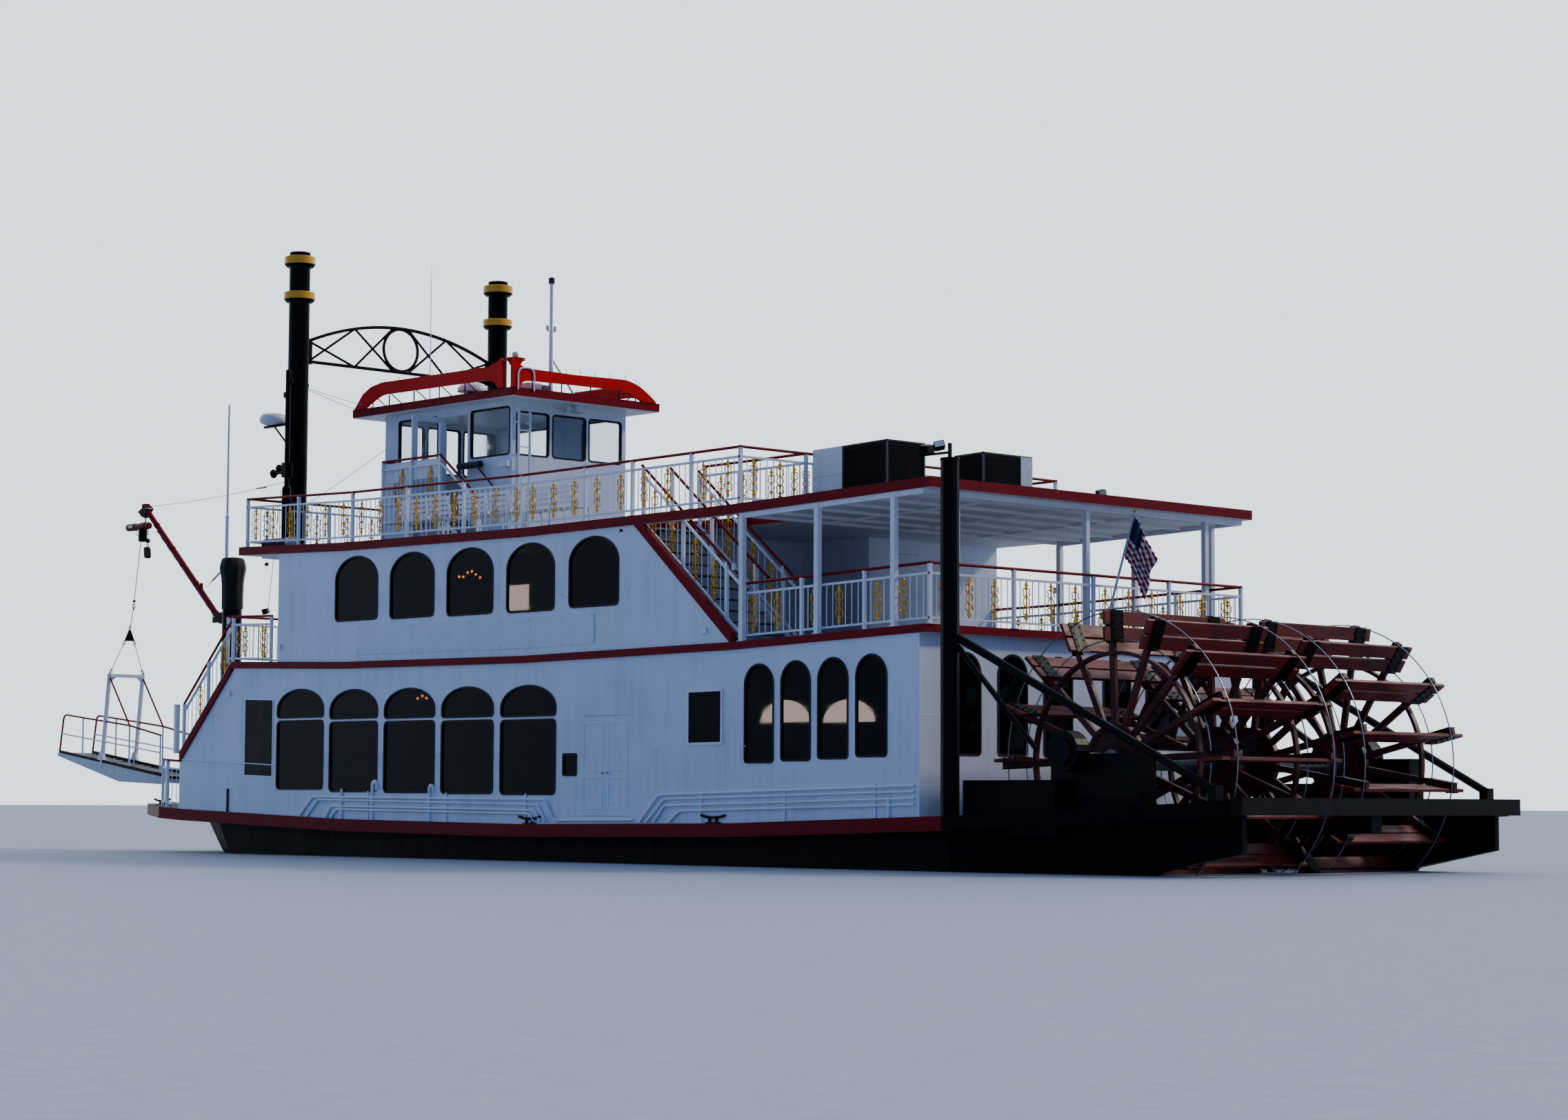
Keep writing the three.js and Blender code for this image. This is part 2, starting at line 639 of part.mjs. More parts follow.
function secondSide(slanted) {
  const outline = slanted
    ? [SLANT.foot, [SECOND_FRONT_X, SECOND_LOW], [SECOND_FRONT_X, SECOND_HIGH], SLANT.head]
    : rectangle(LOBBY.x, SECOND_FRONT_X, SECOND_LOW, SECOND_HIGH);
  const wall = sheered(sidePlate(outline, WALL_IN, WALL_OUT));
  const { low, high, rise } = SECOND_PANE;
  return cut(wall, ...SECOND_BAYS.map(([x0, x1]) => windowCutter(x0, x1, low, high, rise)));
}
add("second_side_port", secondSide(true), WHITE);
add("second_side_starboard", mirrored(secondSide(false)), WHITE);
add(
  "second_front_wall",
  bulkhead(SECOND_FRONT_X - WALL_THICK, SECOND_FRONT_X, INSIDE, SECOND_LOW, SECOND_HIGH, [
    [0, 1600, SECOND_LOW + 80, 6950, 0],
    [2400, 1300, 5800, 6950, 0],
    [-2400, 1300, 5800, 6950, 0],
  ]),
  WHITE,
);

// The aft bulkhead stands back behind a lobby that has the deck door in its aft face.
const DECK_DOOR = { y0: -2050, y1: -1250, low: SECOND_LOW + 60, high: 6980 };
function aftBulkhead() {
  const across = box(SECOND_AFT_X, SECOND_AFT_X + WALL_THICK, -INSIDE, 3180, SECOND_LOW, SECOND_HIGH);
  const side = box(LOBBY.x, SECOND_AFT_X + 10, LOBBY.y1 - WALL_THICK, LOBBY.y1, SECOND_LOW, SECOND_HIGH);
  const face = box(LOBBY.x, LOBBY.x + WALL_THICK, -INSIDE, LOBBY.y1, SECOND_LOW, SECOND_HIGH);
  const doorway = box(LOBBY.x - 50, LOBBY.x + 120, DECK_DOOR.y0, DECK_DOOR.y1, DECK_DOOR.low, DECK_DOOR.high);
  const inner = box(SECOND_AFT_X - 50, SECOND_AFT_X + 120, -3300, -1300, DECK_DOOR.low, 6900);
  return cut(sheered(join(across, side, face)), lifted(doorway, LOBBY.x), lifted(inner, SECOND_AFT_X));
}
add("second_aft_wall", aftBulkhead(), WHITE);
{
  const lift = sheerAt(LOBBY.x);
  const leaf = box(
    0,
    40,
    DECK_DOOR.y0 + HINGE_GAP,
    DECK_DOOR.y1 - DOOR_GAP,
    DECK_DOOR.low + DOOR_GAP + lift,
    DECK_DOOR.high - DOOR_GAP + lift,
  );
  add("deck_door", leaf, WHITE, boat, [LOBBY.x, 0, 0]);
}

// The dark band stands out past the wall, and stops short of the canopy's first post.
function slantBand() {
  const { head, foot, band, end } = SLANT;
  const slope = (head[1] - foot[1]) / (head[0] - foot[0]);
  const outline = [
    [foot[0] - 2 * SEAT, SECOND_LOW],
    [head[0] - 2 * SEAT, SECOND_HIGH],
    [head[0] - band, SECOND_HIGH],
    [end, foot[1] + slope * (end - foot[0] + band)],
    [end, SECOND_LOW],
  ];
  return sheered(sidePlate(outline, WALL_IN, HALF_BEAM - 5));
}
add("aft_stair_band", slantBand(), RED);

// The aft stair from the second deck to the third, along the port side.
const AFT_STAIR = { x0: -4950, x1: -2310, steps: 11, y0: 2790, y1: 4190 };
// Its handrails run from the newels at the foot to the posts at the head: [x, height before the sheer].
const STAIR_HAND = {
  foot: [-5040, 6140],
  head: [-2300, 8400],
  low: 1030,
  white: 150,
  posts: [-4683, -3487, -2357],
};

// One sloping rail of the aft stair: its planes in y, where its posts stand, and whether it has lower bars.
function slopingRail(y0, y1, posts, barred) {
  const { foot, head, low, white } = STAIR_HAND;
  const slope = (head[1] - foot[1]) / (head[0] - foot[0]);
  const handAt = (x) => foot[1] + slope * (x - foot[0]);
  const along = (down, width) =>
    barInPlane([foot[0], foot[1] - down], [head[0], head[1] - down], y0 + 5, y1 - 5, width);
  const standing = posts.map((x) => box(x - 30, x + 30, y0, y1, handAt(x) - low - 120, handAt(x) - 10));
  const bars = barred ? [along(white, 40), along(low, 50)] : [];
  return [along(0, 60), ...standing, ...bars];
}
function aftStair() {
  const rise = (THIRD_TOP - SECOND_TOP) / AFT_STAIR.steps;
  const run = (AFT_STAIR.x1 - AFT_STAIR.x0) / AFT_STAIR.steps;
  const pieces = [];
  for (let i = 1; i < AFT_STAIR.steps; i++) {
    const x = AFT_STAIR.x0 + run * i;
    const high = SECOND_LOW + rise * i;
    pieces.push(box(x - 20, x + run, AFT_STAIR.y0, AFT_STAIR.y1, high - 40, high));
  }
  const string = (y0, y1) =>
    sidePlate(
      [
        [AFT_STAIR.x0 - 120, SECOND_LOW],
        [AFT_STAIR.x0 + 150, SECOND_LOW],
        [AFT_STAIR.x1 + 60, THIRD_TOP - 360],
        [AFT_STAIR.x1 + 60, THIRD_TOP - 60],
      ],
      y0,
      y1,
    );
  const { y0, y1 } = AFT_STAIR;
  const middle = (y0 + y1) / 2;
  pieces.push(
    string(y0 - 40, y0),
    string(y1, y1 + 40),
    ...slopingRail(y1 - 12, y1 + 34, STAIR_HAND.posts, true),
    ...slopingRail(middle - 23, middle + 23, STAIR_HAND.posts, false),
    ...slopingRail(y0 - 34, y0 + 12, STAIR_HAND.posts, true),
  );
  return sheered(join(pieces));
}
add("aft_stair", aftStair(), BLACK);

// The forward stairs from the bow to the second deck: lower steps to a landing, then a flight aft.
const FORE_STAIR = {
  y0: 3400,
  y1: WALL_IN - SEAT,
  steps: 8,
  landing: 2750,
  depth: 860,
  lowSteps: 4,
  lowRun: 260,
};
function foreStair() {
  const { y0, y1, steps, landing, depth, lowSteps, lowRun } = FORE_STAIR;
  const front = STAIR_FOOT.x - 100;
  const rise = (SECOND_TOP - landing) / steps;
  const run = (front - depth - 10050) / steps;
  const head = SECOND_TOP - 20;
  const treads = Array.from({ length: steps - 1 }, (_, i) => {
    const x = front - depth - run * i;
    const z = landing + rise * (i + 1);
    return box(x - run, x + 20, y0 - 10, y1, z - 40, z);
  });
  const lower = Array.from({ length: lowSteps }, (_, i) => {
    const y = y0 - 50 - (lowSteps - i) * lowRun;
    const high = MAIN_TOP + ((landing - MAIN_TOP) * (i + 1)) / (lowSteps + 1);
    return box(front - depth, POST.x - 380, y, y + lowRun + 10, MAIN_LOW, high);
  });
  const inner = [
    [front, MAIN_LOW],
    [front, landing + 60],
    [front - depth, landing + 60],
    [10150, head],
    [10150, head - 300],
    [front - depth, landing - 300],
    [front - depth, MAIN_LOW],
  ];
  return sheered(
    join(
      box(front - depth, front, y0 - 10, y1, landing - 60, landing),
      ...treads,
      ...lower,
      sidePlate(inner, y0 - 50, y0),
    ),
  );
}
for (const [side, body] of bothSides(foreStair)) add(`fore_stair_${side}`, body, GREY);

// The red stringer on the side wall's slanted edge, with the stair's outer rail standing on it.
function stairRail() {
  const [low, high] = [stairLine(STRINGER), stairLine(0)];
  const slope = (high[1][1] - high[0][1]) / (high[1][0] - high[0][0]);
  const lowAt = (x) => low[0][1] + slope * (x - low[0][0]);
  const highAt = (x) => high[0][1] + slope * (x - high[0][0]);
  const start = STAIR_HEAD.x + 30;
  const end = STAIR_FOOT.x;
  const band = [
    [start, lowAt(start)],
    [end, lowAt(end)],
    [end, highAt(end)],
    [start, highAt(start)],
  ];
  const stop = end - 30;
  const along = (up, width) =>
    barInPlane([start, highAt(start) + up], [stop, highAt(stop) + up], RAIL_Y - 20, RAIL_Y + 20, width);
  const posts = [start + 35, (start + end) / 2, end - 40].map((x) =>
    box(x - 30, x + 30, RAIL_Y - 30, RAIL_Y + 30, highAt(x) - 60, highAt(x) + RAIL.hand),
  );
  return sheered(
    join(
      sidePlate(band, WALL_IN, HALF_BEAM),
      ...posts,
      along(RAIL.low, 40),
      along(RAIL.white, 40),
      along(RAIL.hand + 20, 60),
    ),
  );
}

// THIRD DECK, which is the canopy over the aft deck as well.
const THIRD_PLAN = [
  [-10000, HALF_BEAM],
  [10870, HALF_BEAM],
  [10870, 3700],
  [11450, 3400],
];
function thirdDeck() {
  const floor = slab(mirrorPlan(THIRD_PLAN), THIRD_TOP - THIRD_DEPTH, THIRD_TOP);
  const well = box(STAIR_WELL.x0, STAIR_WELL.x1, STAIR_WELL.y0, STAIR_WELL.y1, 0, 12000);
  return cut(sheered(floor), well);
}
add("third_deck", thirdDeck(), RED);

// Posts that carry the canopy, with the beams that join their heads: [x, y] of each post.
const CANOPY_POSTS = [
  [-5230, 4320],
  [-7180, 4320],
  [-9070, 4320],
  [-9740, 3490],
  [-9740, 80],
  [-9740, -3300],
  [-9070, -4320],
  [-7180, -4320],
  [-5230, -4320],
];
const POST_WIDE = 100;
function canopyFrame() {
  const half = POST_WIDE / 2;
  const head = SECOND_HIGH;
  const posts = CANOPY_POSTS.map(([x, y]) => box(x - half, x + half, y - half, y + half, SECOND_LOW, head));
  const beams = [
    box(-9790, -5230, 4285, 4355, head - 90, head),
    box(-9790, -5230, -4355, -4285, head - 90, head),
    box(-9790, -9690, -4355, 4355, head - 90, head),
  ];
  return sheered(join(posts, beams));
}
add("canopy_frame", canopyFrame(), WHITE);

// RAILINGS
// Each straight run is one flat frame, and the runs meet at the corner posts.
const RAIL = { post: 70, deep: 44, low: 110, white: 870, hand: 1020, bar: 40 };
const RAIL_Y = 4300;

// One flat frame along a straight run: posts at the given distances, a low rail, a white rail and a handrail.
function railPanel(from, to, stops, deck) {
  const half = RAIL.post / 2;
  const thick = RAIL.deep / 2;
  const bar = RAIL.bar / 2;
  // Open heights under the low rail, between the rails, and under the handrail.
  const open = [
    [SEAT - 10, RAIL.low - bar],
    [RAIL.low + bar, RAIL.white - bar],
    [RAIL.white + bar, RAIL.hand],
  ];
  const sheet = box(stops[0] - half, stops.at(-1) + half, -thick, thick, SEAT, RAIL.hand + 60);
  const holes = stops.slice(1).flatMap((s, i) =>
    open.map(([z0, z1]) => box(stops[i] + half, s - half, -thick - 10, thick + 10, z0, z1)),
  );
  const turn = THREE.MathUtils.radToDeg(Math.atan2(to[1] - from[1], to[0] - from[0]));
  return cut(sheet, ...holes).rotate([0, 0, turn]).translate([from[0], from[1], deck]);
}

// A railing along a table of straight runs: [from, to, number of bays or distances of its posts].
function railing(runs, deck) {
  return join(
    runs.map(([from, to, bays]) => {
      const length = Math.hypot(to[0] - from[0], to[1] - from[1]);
      const even = (count) => Array.from({ length: count + 1 }, (_, i) => (length * i) / count);
      return railPanel(from, to, Array.isArray(bays) ? bays : even(bays), deck);
    }),
  );
}

const THIRD_FRONT = 10680;
const THIRD_BACK = -5140;
// Posts of the third deck's sides, from the front.
const THIRD_POSTS = [THIRD_FRONT, 8760, 6800, 4900, 3020, 1150, -770, -2150, -3810, THIRD_BACK];
const THIRD_STOPS = THIRD_POSTS.map((x) => THIRD_FRONT - x);
const THIRD_RUNS = [
  [[THIRD_FRONT, -RAIL_Y], [THIRD_FRONT, RAIL_Y], 4],
  [[THIRD_FRONT, RAIL_Y], [THIRD_BACK, RAIL_Y], THIRD_STOPS],
  [[THIRD_BACK, RAIL_Y], [THIRD_BACK, -RAIL_Y], 4],
  [[THIRD_FRONT, -RAIL_Y], [THIRD_BACK, -RAIL_Y], THIRD_STOPS],
  [[THIRD_BACK, 2650], [-2350, 2650], 2],
];
const AFT_RAIL_Y = 4235;
const SECOND_AFT_RUNS = [
  [[-5120, AFT_RAIL_Y], [-9838, AFT_RAIL_Y], 3],
  [[-9838, AFT_RAIL_Y], [-9838, -AFT_RAIL_Y], 4],
  [[-9838, -AFT_RAIL_Y], [-3560, -AFT_RAIL_Y], 4],
];
const SECOND_FORE_RUNS = [
  [[11200, 3290], [12900, 3290], 1],
  [[12900, 3290], [12900, -3290], 4],
  [[12900, -3290], [11200, -3290], 1],
];
const BOW_RUNS = [
  [[14950, 1800], [14950, -3750], 3],
  [[14950, -3750], [13800, -4230], 1],
  [[13800, -4230], [13250, -4230], 1],
];
const BOW_GATE_RUNS = [
  [[13250, 4230], [13800, 4230], 1],
  [[13800, 4230], [14350, 4000], 1],
];

add("third_rail", sheered(railing(THIRD_RUNS, THIRD_TOP)), WHITE);

// The ensign staff leans aft from the second deck's aft rail.
const STAFF = { foot: [-9838, -1600, 5225], head: [-10300, -1750, 7620], r: 28 };
const staff = rod(STAFF.foot, STAFF.head, STAFF.r);
add("second_aft_rail", join(sheered(railing(SECOND_AFT_RUNS, SECOND_TOP)), staff), WHITE);
add("second_fore_rail", sheered(railing(SECOND_FORE_RUNS, SECOND_TOP)), WHITE);
add("bow_rail", sheered(railing(BOW_RUNS, MAIN_TOP)), WHITE);
add("bow_gate", sheered(railing(BOW_GATE_RUNS, MAIN_TOP)), WHITE);
for (const [side, body] of bothSides(stairRail)) add(`stair_rail_${side}`, body, RED);

// PILOTHOUSE, level whatever the sheer. Its floor stands above the third deck, with a landing to port.
const PILOT_WALL = 60;
// Windows of its sides [aft x, forward x] and of its ends [starboard y, port y], with sill and head.
const PILOT_GLASS = { low: 9430, high: 10440, aftHigh: 10340 };
const PILOT_SIDE_BAYS = [
  [5000, 6330],
  [7500, 8900],
];
const PILOT_AFT_BAYS = [
  [580, 1450],
  [-440, 470],
  [-1450, -540],
];
const PILOT_FRONT_BAYS = [
  [560, 1450],
  [-450, 450],
  [-1450, -560],
];

function pilothouseWalls() {
  const { aft, front, half, top } = PILOT;
  const { low, high, aftHigh } = PILOT_GLASS;
  const shell = cut(
    box(aft, front, -half, half, 7300, top),
    box(aft + PILOT_WALL, front - PILOT_WALL, -half + PILOT_WALL, half - PILOT_WALL, 0, 20000),
    sheered(box(0, 12000, -3000, 3000, 0, THIRD_TOP + SEAT)),
  );
  const sideCutters = PILOT_SIDE_BAYS.map(([x0, x1]) => box(x0, x1, -3000, 3000, low, high));
  const { hinge, width, low: sill, high: head } = PILOT_DOOR;
  const doorway = box(hinge - width - DOOR_GAP, hinge, 0, 3000, sill, head);
  const aftCutters = PILOT_AFT_BAYS.map(([y0, y1]) => box(aft - 100, aft + 200, y0, y1, low, aftHigh));
  const frontCutters = PILOT_FRONT_BAYS.map(([y0, y1]) => box(front - 200, front + 100, y0, y1, low, high));
  return cut(shell, doorway, ...sideCutters, ...aftCutters, ...frontCutters);
}

// Floor with the console, and the landing and steps outside the door.
function pilothouseFloor() {
  const { aft, front, half, floor } = PILOT;
  const inside = PILOT_WALL + SEAT;
  return join(
    box(aft + inside, front - inside, -half + inside, half - inside, floor - 60, floor),
    box(front - 900, front - inside, -half + 300, half - 300, floor - 10, floor + 1000),
  );
}
add("pilothouse_floor", pilothouseFloor(), GREY);

const LANDING = { x0: 6200, x1: 8300, y0: PILOT.half + SEAT, y1: 2500, stepsTo: 5350, steps: 4, railTo: 4900 };
function pilotLanding() {
  const { x0, x1, y0, y1, stepsTo, steps, railTo } = LANDING;
  const z = PILOT.floor;
  const legs = [
    [x0 + 40, y1 - 40],
    [x1 - 40, y1 - 40],
    [x1 - 40, y0 + 40],
    [x0 + 40, y0 + 40],
  ].map(([x, y]) => box(x - 30, x + 30, y - 30, y + 30, 7300, z - 10));
  const run = (x0 - stepsTo) / steps;
  const treads = Array.from({ length: steps - 1 }, (_, i) => {
    const x = x0 - run * (i + 1);
    const high = z - ((z - THIRD_TOP) / steps) * (i + 1);
    return box(x, x + run + 5, y0, y1, high - 40, high);
  });
  const string = (y) =>
    sidePlate(
      [
        [x0 + 60, z],
        [x0 + 60, z - 260],
        [stepsTo + 250, 7300],
        [stepsTo - 60, 7300],
        [stepsTo - 60, THIRD_TOP + 120],
      ],
      y,
      y + 40,
    );
  const rails = railing(
    [
      [[x0 + 40, y1 - 40], [x1 - 40, y1 - 40], 2],
      [[x1 - 40, y1 - 40], [x1 - 40, y0 + 40], 1],
    ],
    z - 10,
  );
  // The outer handrail falls with the steps from the landing's corner post to a newel on the deck.
  const top = z + RAIL.hand + 20;
  const newel = z + 260;
  const y = y1 - 40;
  const sloping = [
    barInPlane([x0 + 40, top], [railTo, newel], y - 20, y + 20, 50),
    barInPlane([x0 + 40, top - 150], [railTo, newel - 150], y - 20, y + 20, 40),
    box(railTo - 25, railTo + 25, y - 22, y + 22, 7300, newel),
  ];
  const floor = box(x0, x1, y0, y1, z - 60, z);
  const body = join(floor, ...legs, ...treads, string(y0), string(y1 - 40), rails, ...sloping);
  return cut(body, sheered(box(0, 12000, -3000, 3000, 0, THIRD_TOP + SEAT)));
}
add("pilot_landing", pilotLanding(), WHITE);

// The roof with the red fin boards along its edges, high at the corner and curled down at their ends.
const FIN_THICK = 70;
// Each board is drawn as [distance from the corner, height over the roof].
const SIDE_FIN = [
  [330, -30],
  [400, 668],
  [640, 555],
  [976, 470],
  [2400, 478],
  [4668, 494],
  [5060, 430],
  [5338, 304],
  [5648, -30],
  [5290, -30],
  [5107, 84],
  [4662, 258],
  [2396, 242],
  [976, 225],
  [640, 180],
  [520, -30],
];
const END_FIN = [
  [0, -30],
  [0, 640],
  [150, 490],
  [400, 425],
  [1710, 412],
  [3134, 445],
  [3480, 350],
  [3760, 188],
  [4040, -30],
  [3640, -30],
  [3553, 30],
  [3068, 202],
  [1713, 194],
  [400, 170],
  [230, 110],
  [190, -30],
];
function pilothouseRoof() {
  const { aft, front, half, under, depth } = PILOT_ROOF;
  const top = under + depth;
  // Drawn from the aft port corner; the side board stands on the starboard edge as well.
  const side = sidePlate(SIDE_FIN, 0, FIN_THICK).translate([aft, half - FIN_THICK, top]);
  const across = crossPlate(END_FIN, 0, FIN_THICK).mirror([0, 1, 0]).translate([aft, half, top]);
  return join(box(aft, front, -half, half, under, top), side, across, mirrored(side));
}

// The port door, hooked open past square.
{
  const { hinge, width, low, high, open } = PILOT_DOOR;
  const leaf = cut(
    box(-width, 0, -45, 0, low + DOOR_GAP, high - DOOR_GAP),
    box(-width + 130, -130, -200, 200, low + 1100, high - 130),
  ).rotate([0, 0, -open]);
  add("pilothouse_door", leaf, WHITE, boat, [hinge - HINGE_GAP, PILOT.half + SEAT, 0]);
}

// Light mast with its brace, and the ladder with hoops on the aft wall.
const MAST = { x: 4700, y: 720, top: 13100, r: 42 };
function lightMast() {
  const base = PILOT_ROOF.under + PILOT_ROOF.depth - 5;
  return join(
    rod([MAST.x, MAST.y, base], [MAST.x, MAST.y, MAST.top], MAST.r, 8),
    rod([MAST.x, MAST.y, MAST.top - 10], [MAST.x, MAST.y, MAST.top + 170], 70, 10),
    box(MAST.x - 150, MAST.x + 150, MAST.y - 150, MAST.y + 150, base, base + 20),
    rod([MAST.x, MAST.y - 20, base + 740], [MAST.x, MAST.y - 650, base + 40], 25, 6),
    box(MAST.x - 80, MAST.x + 80, MAST.y - 730, MAST.y - 570, base, base + 50),
    rod([MAST.x, MAST.y - 110, 12100], [MAST.x, MAST.y + 110, 12100], 18, 6),
  );
}
add("pilothouse_roof", join(pilothouseRoof(), lightMast()), RED);

const LADDER = { y0: 1200, y1: 1500, x: PILOT.aft - 130, low: 7700, high: 10400, rungs: 8 };
function ladder() {
  const { y0, y1, x, low, high, rungs } = LADDER;
  const rails = [y0, y1].map((y) => box(x - 20, x + 20, y - 20, y + 20, low, high));
  const bars = Array.from({ length: rungs }, (_, i) => {
    const z = low + 120 + ((high - low - 240) / (rungs - 1)) * i;
    return box(x - 12, x + 12, y0, y1, z - 12, z + 12);
  });
  const stays = [low + 500, high - 300].flatMap((z) =>
    [y0, y1].map((y) => box(x, PILOT.aft + 10, y - 15, y + 15, z - 15, z + 15)),
  );
  return join(rails, bars, stays);
}
add("pilothouse_walls", join(pilothouseWalls(), ladder()), WHITE);

// FUNNELS
function funnel() {
  const { x, y, r, top, bandR, footHalf: half } = FUNNEL;
  const base = THIRD_TOP + sheerAt(x) - 40;
  const tube = rod([x, y, base], [x, y, top - 60], r, 16);
  const bands = [
    [top - 380, top - 150],
    [top - 1170, top - 950],
  ].map(([z0, z1]) => rod([x, y, z0], [x, y, z1], bandR, 16));
  const cap = [rod([x, y, top - 70], [x, y, top], r - 20, 16)];
  const foot = box(x - half, x + half, y - half, y + half, base, base + 120);
  return cut(join(tube, ...bands, ...cap, foot), sheered(box(9000, 13000, 0, 5000, 0, THIRD_TOP + SEAT)));
}
for (const [side, body] of bothSides(funnel)) add(`funnel_${side}`, body, BLACK);

// The arched truss between the funnels, with a ring at its middle.
const TRUSS = { low: 11900, endHigh: 12350, crown: 12910, bar: 50, ringR: 440, ringZ: 12450, bays: 6 };
function truss() {
  const { low, endHigh, crown, bar, ringR, ringZ, bays } = TRUSS;
  const { x, y: reach, r } = FUNNEL;
  const half = reach - r - SEAT;
  const topAt = (y) => endHigh + (crown - endHigh) * (1 - (y / half) ** 2);
  const nodes = Array.from({ length: 9 }, (_, i) => -half + (2 * half * i) / 8);
  const chord = (zAt) => [
    ...nodes.map((y) => [y, zAt(y) + bar / 2]),
    ...nodes.slice().reverse().map((y) => [y, zAt(y) - bar / 2]),
  ];
  const flat = (points, deep) => crossPlate(points, x - deep, x + deep);
  const pieces = [flat(chord(topAt), 25), flat(chord(() => low), 25)];
  const web = (y0, z0, y1, z1) => {
    const length = Math.hypot(y1 - y0, z1 - z0);
    const [ny, nz] = [(-(z1 - z0) / length) * 20, ((y1 - y0) / length) * 20];
    return flat([[y0 + ny, z0 + nz], [y1 + ny, z1 + nz], [y1 - ny, z1 - nz], [y0 - ny, z0 - nz]], 15);
  };
  const at = (i) => -half + ((2 * half) / bays) * i;
  for (let i = 0; i < bays; i++) {
    if (i === bays / 2 - 1 || i === bays / 2) continue;
    pieces.push(web(at(i), low, at(i + 1), topAt(at(i + 1))), web(at(i), topAt(at(i)), at(i + 1), low));
  }
  const inner = (2 * half) / bays;
  for (const s of [-1, 1])
    pieces.push(web(s * inner, low, s * 250, topAt(250)), web(s * inner, topAt(inner), s * 250, low));
  const disc = (deep, r1) => rod([x - deep, 0, ringZ], [x + deep, 0, ringZ], r1, 16);
  const ring = cut(disc(15, ringR + 20), disc(40, ringR - 20));
  const ends = [-half, half - 40].map((y) => box(x - 60, x + 60, y, y + 40, low - 60, endHigh + 60));
  return join(...pieces, ring, ...ends).intersect(box(x - 500, x + 500, -half, half, 0, 20000));
}
add("funnel_truss", truss(), BLACK);

// HOG POSTS: the pole at the house's aft corner and the struts down to the arm's end.
const HOG = { x: -10300, y: 4230, r: 165, top: 7930, shortTop: 4700 };
function hogPost(top) {
  const foot = MAIN_TOP + sheerAt(HOG.x) + SEAT;
  const pole = rod([HOG.x, HOG.y, foot], [HOG.x, HOG.y, top], HOG.r, 12);
  const strut = rod([HOG.x, HOG.y - 60, 4950], [-15560, 3760, 2330], 70, 8);
  const steep = rod([HOG.x, HOG.y - 60, 4870], [-12150, 4120, 3000], 50, 6);
  const shoe = box(-15650, -15480, 3640, 3830, 2120, 2400);
  const tie = rod([-11486, 4150, 3780], [-11750, 4110, 4250], 30, 6);
  const raised = join(pole, strut, steep, tie, shoe);
  return cut(raised, sheered(box(-16900, -9000, 3000, 5000, 0, MAIN_TOP + SEAT)));
}
add("hog_post_port", hogPost(HOG.top), BLACK);
add("hog_post_starboard", mirrored(hogPost(4990)), BLACK);

// ROOF UNITS on the canopy: [x0, x1, y0, y1, height].
const ROOF_UNITS = [
  ["roof_unit_forward", -7100, -5170, 1500, 2500, 1120],
  ["roof_unit_aft", -9470, -8770, 1220, 2500, 628],
];
for (const [name, x0, x1, y0, y1, height] of ROOF_UNITS)
  add(name, sheered(box(x0, x1, y0, y1, THIRD_TOP + SEAT, THIRD_TOP + height)), BLACK);

// BOW GEAR
// The covered post, its boom, and the landing stage that hangs from the boom's tip.
function bowPost() {
  const foot = MAIN_TOP + sheerAt(POST.x) - 40;
  const post = rod([POST.x, GEAR_Y, foot], [POST.x, GEAR_Y, POST.top], POST.r, 16);
  const plate = box(POST.x - 330, POST.x + 330, GEAR_Y - 330, GEAR_Y + 330, foot, foot + 110);
  const seat = join(
    box(POST.x, BOOM_FOOT.x - 120, GEAR_Y - 110, GEAR_Y + 110, BOOM_FOOT.z - 160, BOOM_FOOT.z + 90),
    box(BOOM_FOOT.x - 200, BOOM_FOOT.x + 90, GEAR_Y - 110, GEAR_Y - 80, BOOM_FOOT.z - 120, BOOM_FOOT.z + 90),
    box(BOOM_FOOT.x - 200, BOOM_FOOT.x + 90, GEAR_Y + 80, GEAR_Y + 110, BOOM_FOOT.z - 120, BOOM_FOOT.z + 90),
  );
  const staff = join(
    rod([POST.x + 260, GEAR_Y, POST.top - 600], [POST.x + 260, GEAR_Y, 9300], 42, 8),
    rod([POST.x + 260, GEAR_Y, 9290], [POST.x + 260, GEAR_Y, 11100], 28, 8),
    box(POST.x + 150, POST.x + 290, GEAR_Y - 30, GEAR_Y + 30, POST.top - 550, POST.top - 450),
    box(POST.x + 150, POST.x + 290, GEAR_Y - 30, GEAR_Y + 30, POST.top - 150, POST.top - 80),
  );
  return cut(join(post, plate, seat, staff), sheered(box(12000, 15000, 0, 5000, 0, MAIN_TOP + SEAT)));
}
add("bow_post", bowPost(), BLACK);

const HANG = { down: 180, pinR: 20, holeR: 20.6, sides: 20 };
const boomGroup = new THREE.Group();
boomGroup.position.set(BOOM_FOOT.x, GEAR_Y, BOOM_FOOT.z);
boat.add(boomGroup);
function boom() {
  const [dx, dz] = [BOOM_TIP.x - BOOM_FOOT.x, BOOM_TIP.z - BOOM_FOOT.z];
  const length = Math.hypot(dx, dz);
  const [ux, uz] = [dx / length, dz / length];
  return join(
    rod([0, -79.5, 0], [0, 79.5, 0], 90, 12),
    rod([0, 0, 0], [dx, 0, dz], 65, 10),
    box(dx - 90, dx + 90, -55, 55, dz - 60, dz + 110),
    box(dx - 45, dx + 45, 22, 36, dz - HANG.down - 45, dz),
    box(dx - 45, dx + 45, -36, -22, dz - HANG.down - 45, dz),
    rod([dx, -36, dz - HANG.down], [dx, 36, dz - HANG.down], HANG.pinR, HANG.sides),
    box(ux * 950 - 40, ux * 950 + 40, -20, 20, uz * 950, uz * 950 + 190),
  );
}
add("boom", boom(), BLACK, boomGroup);

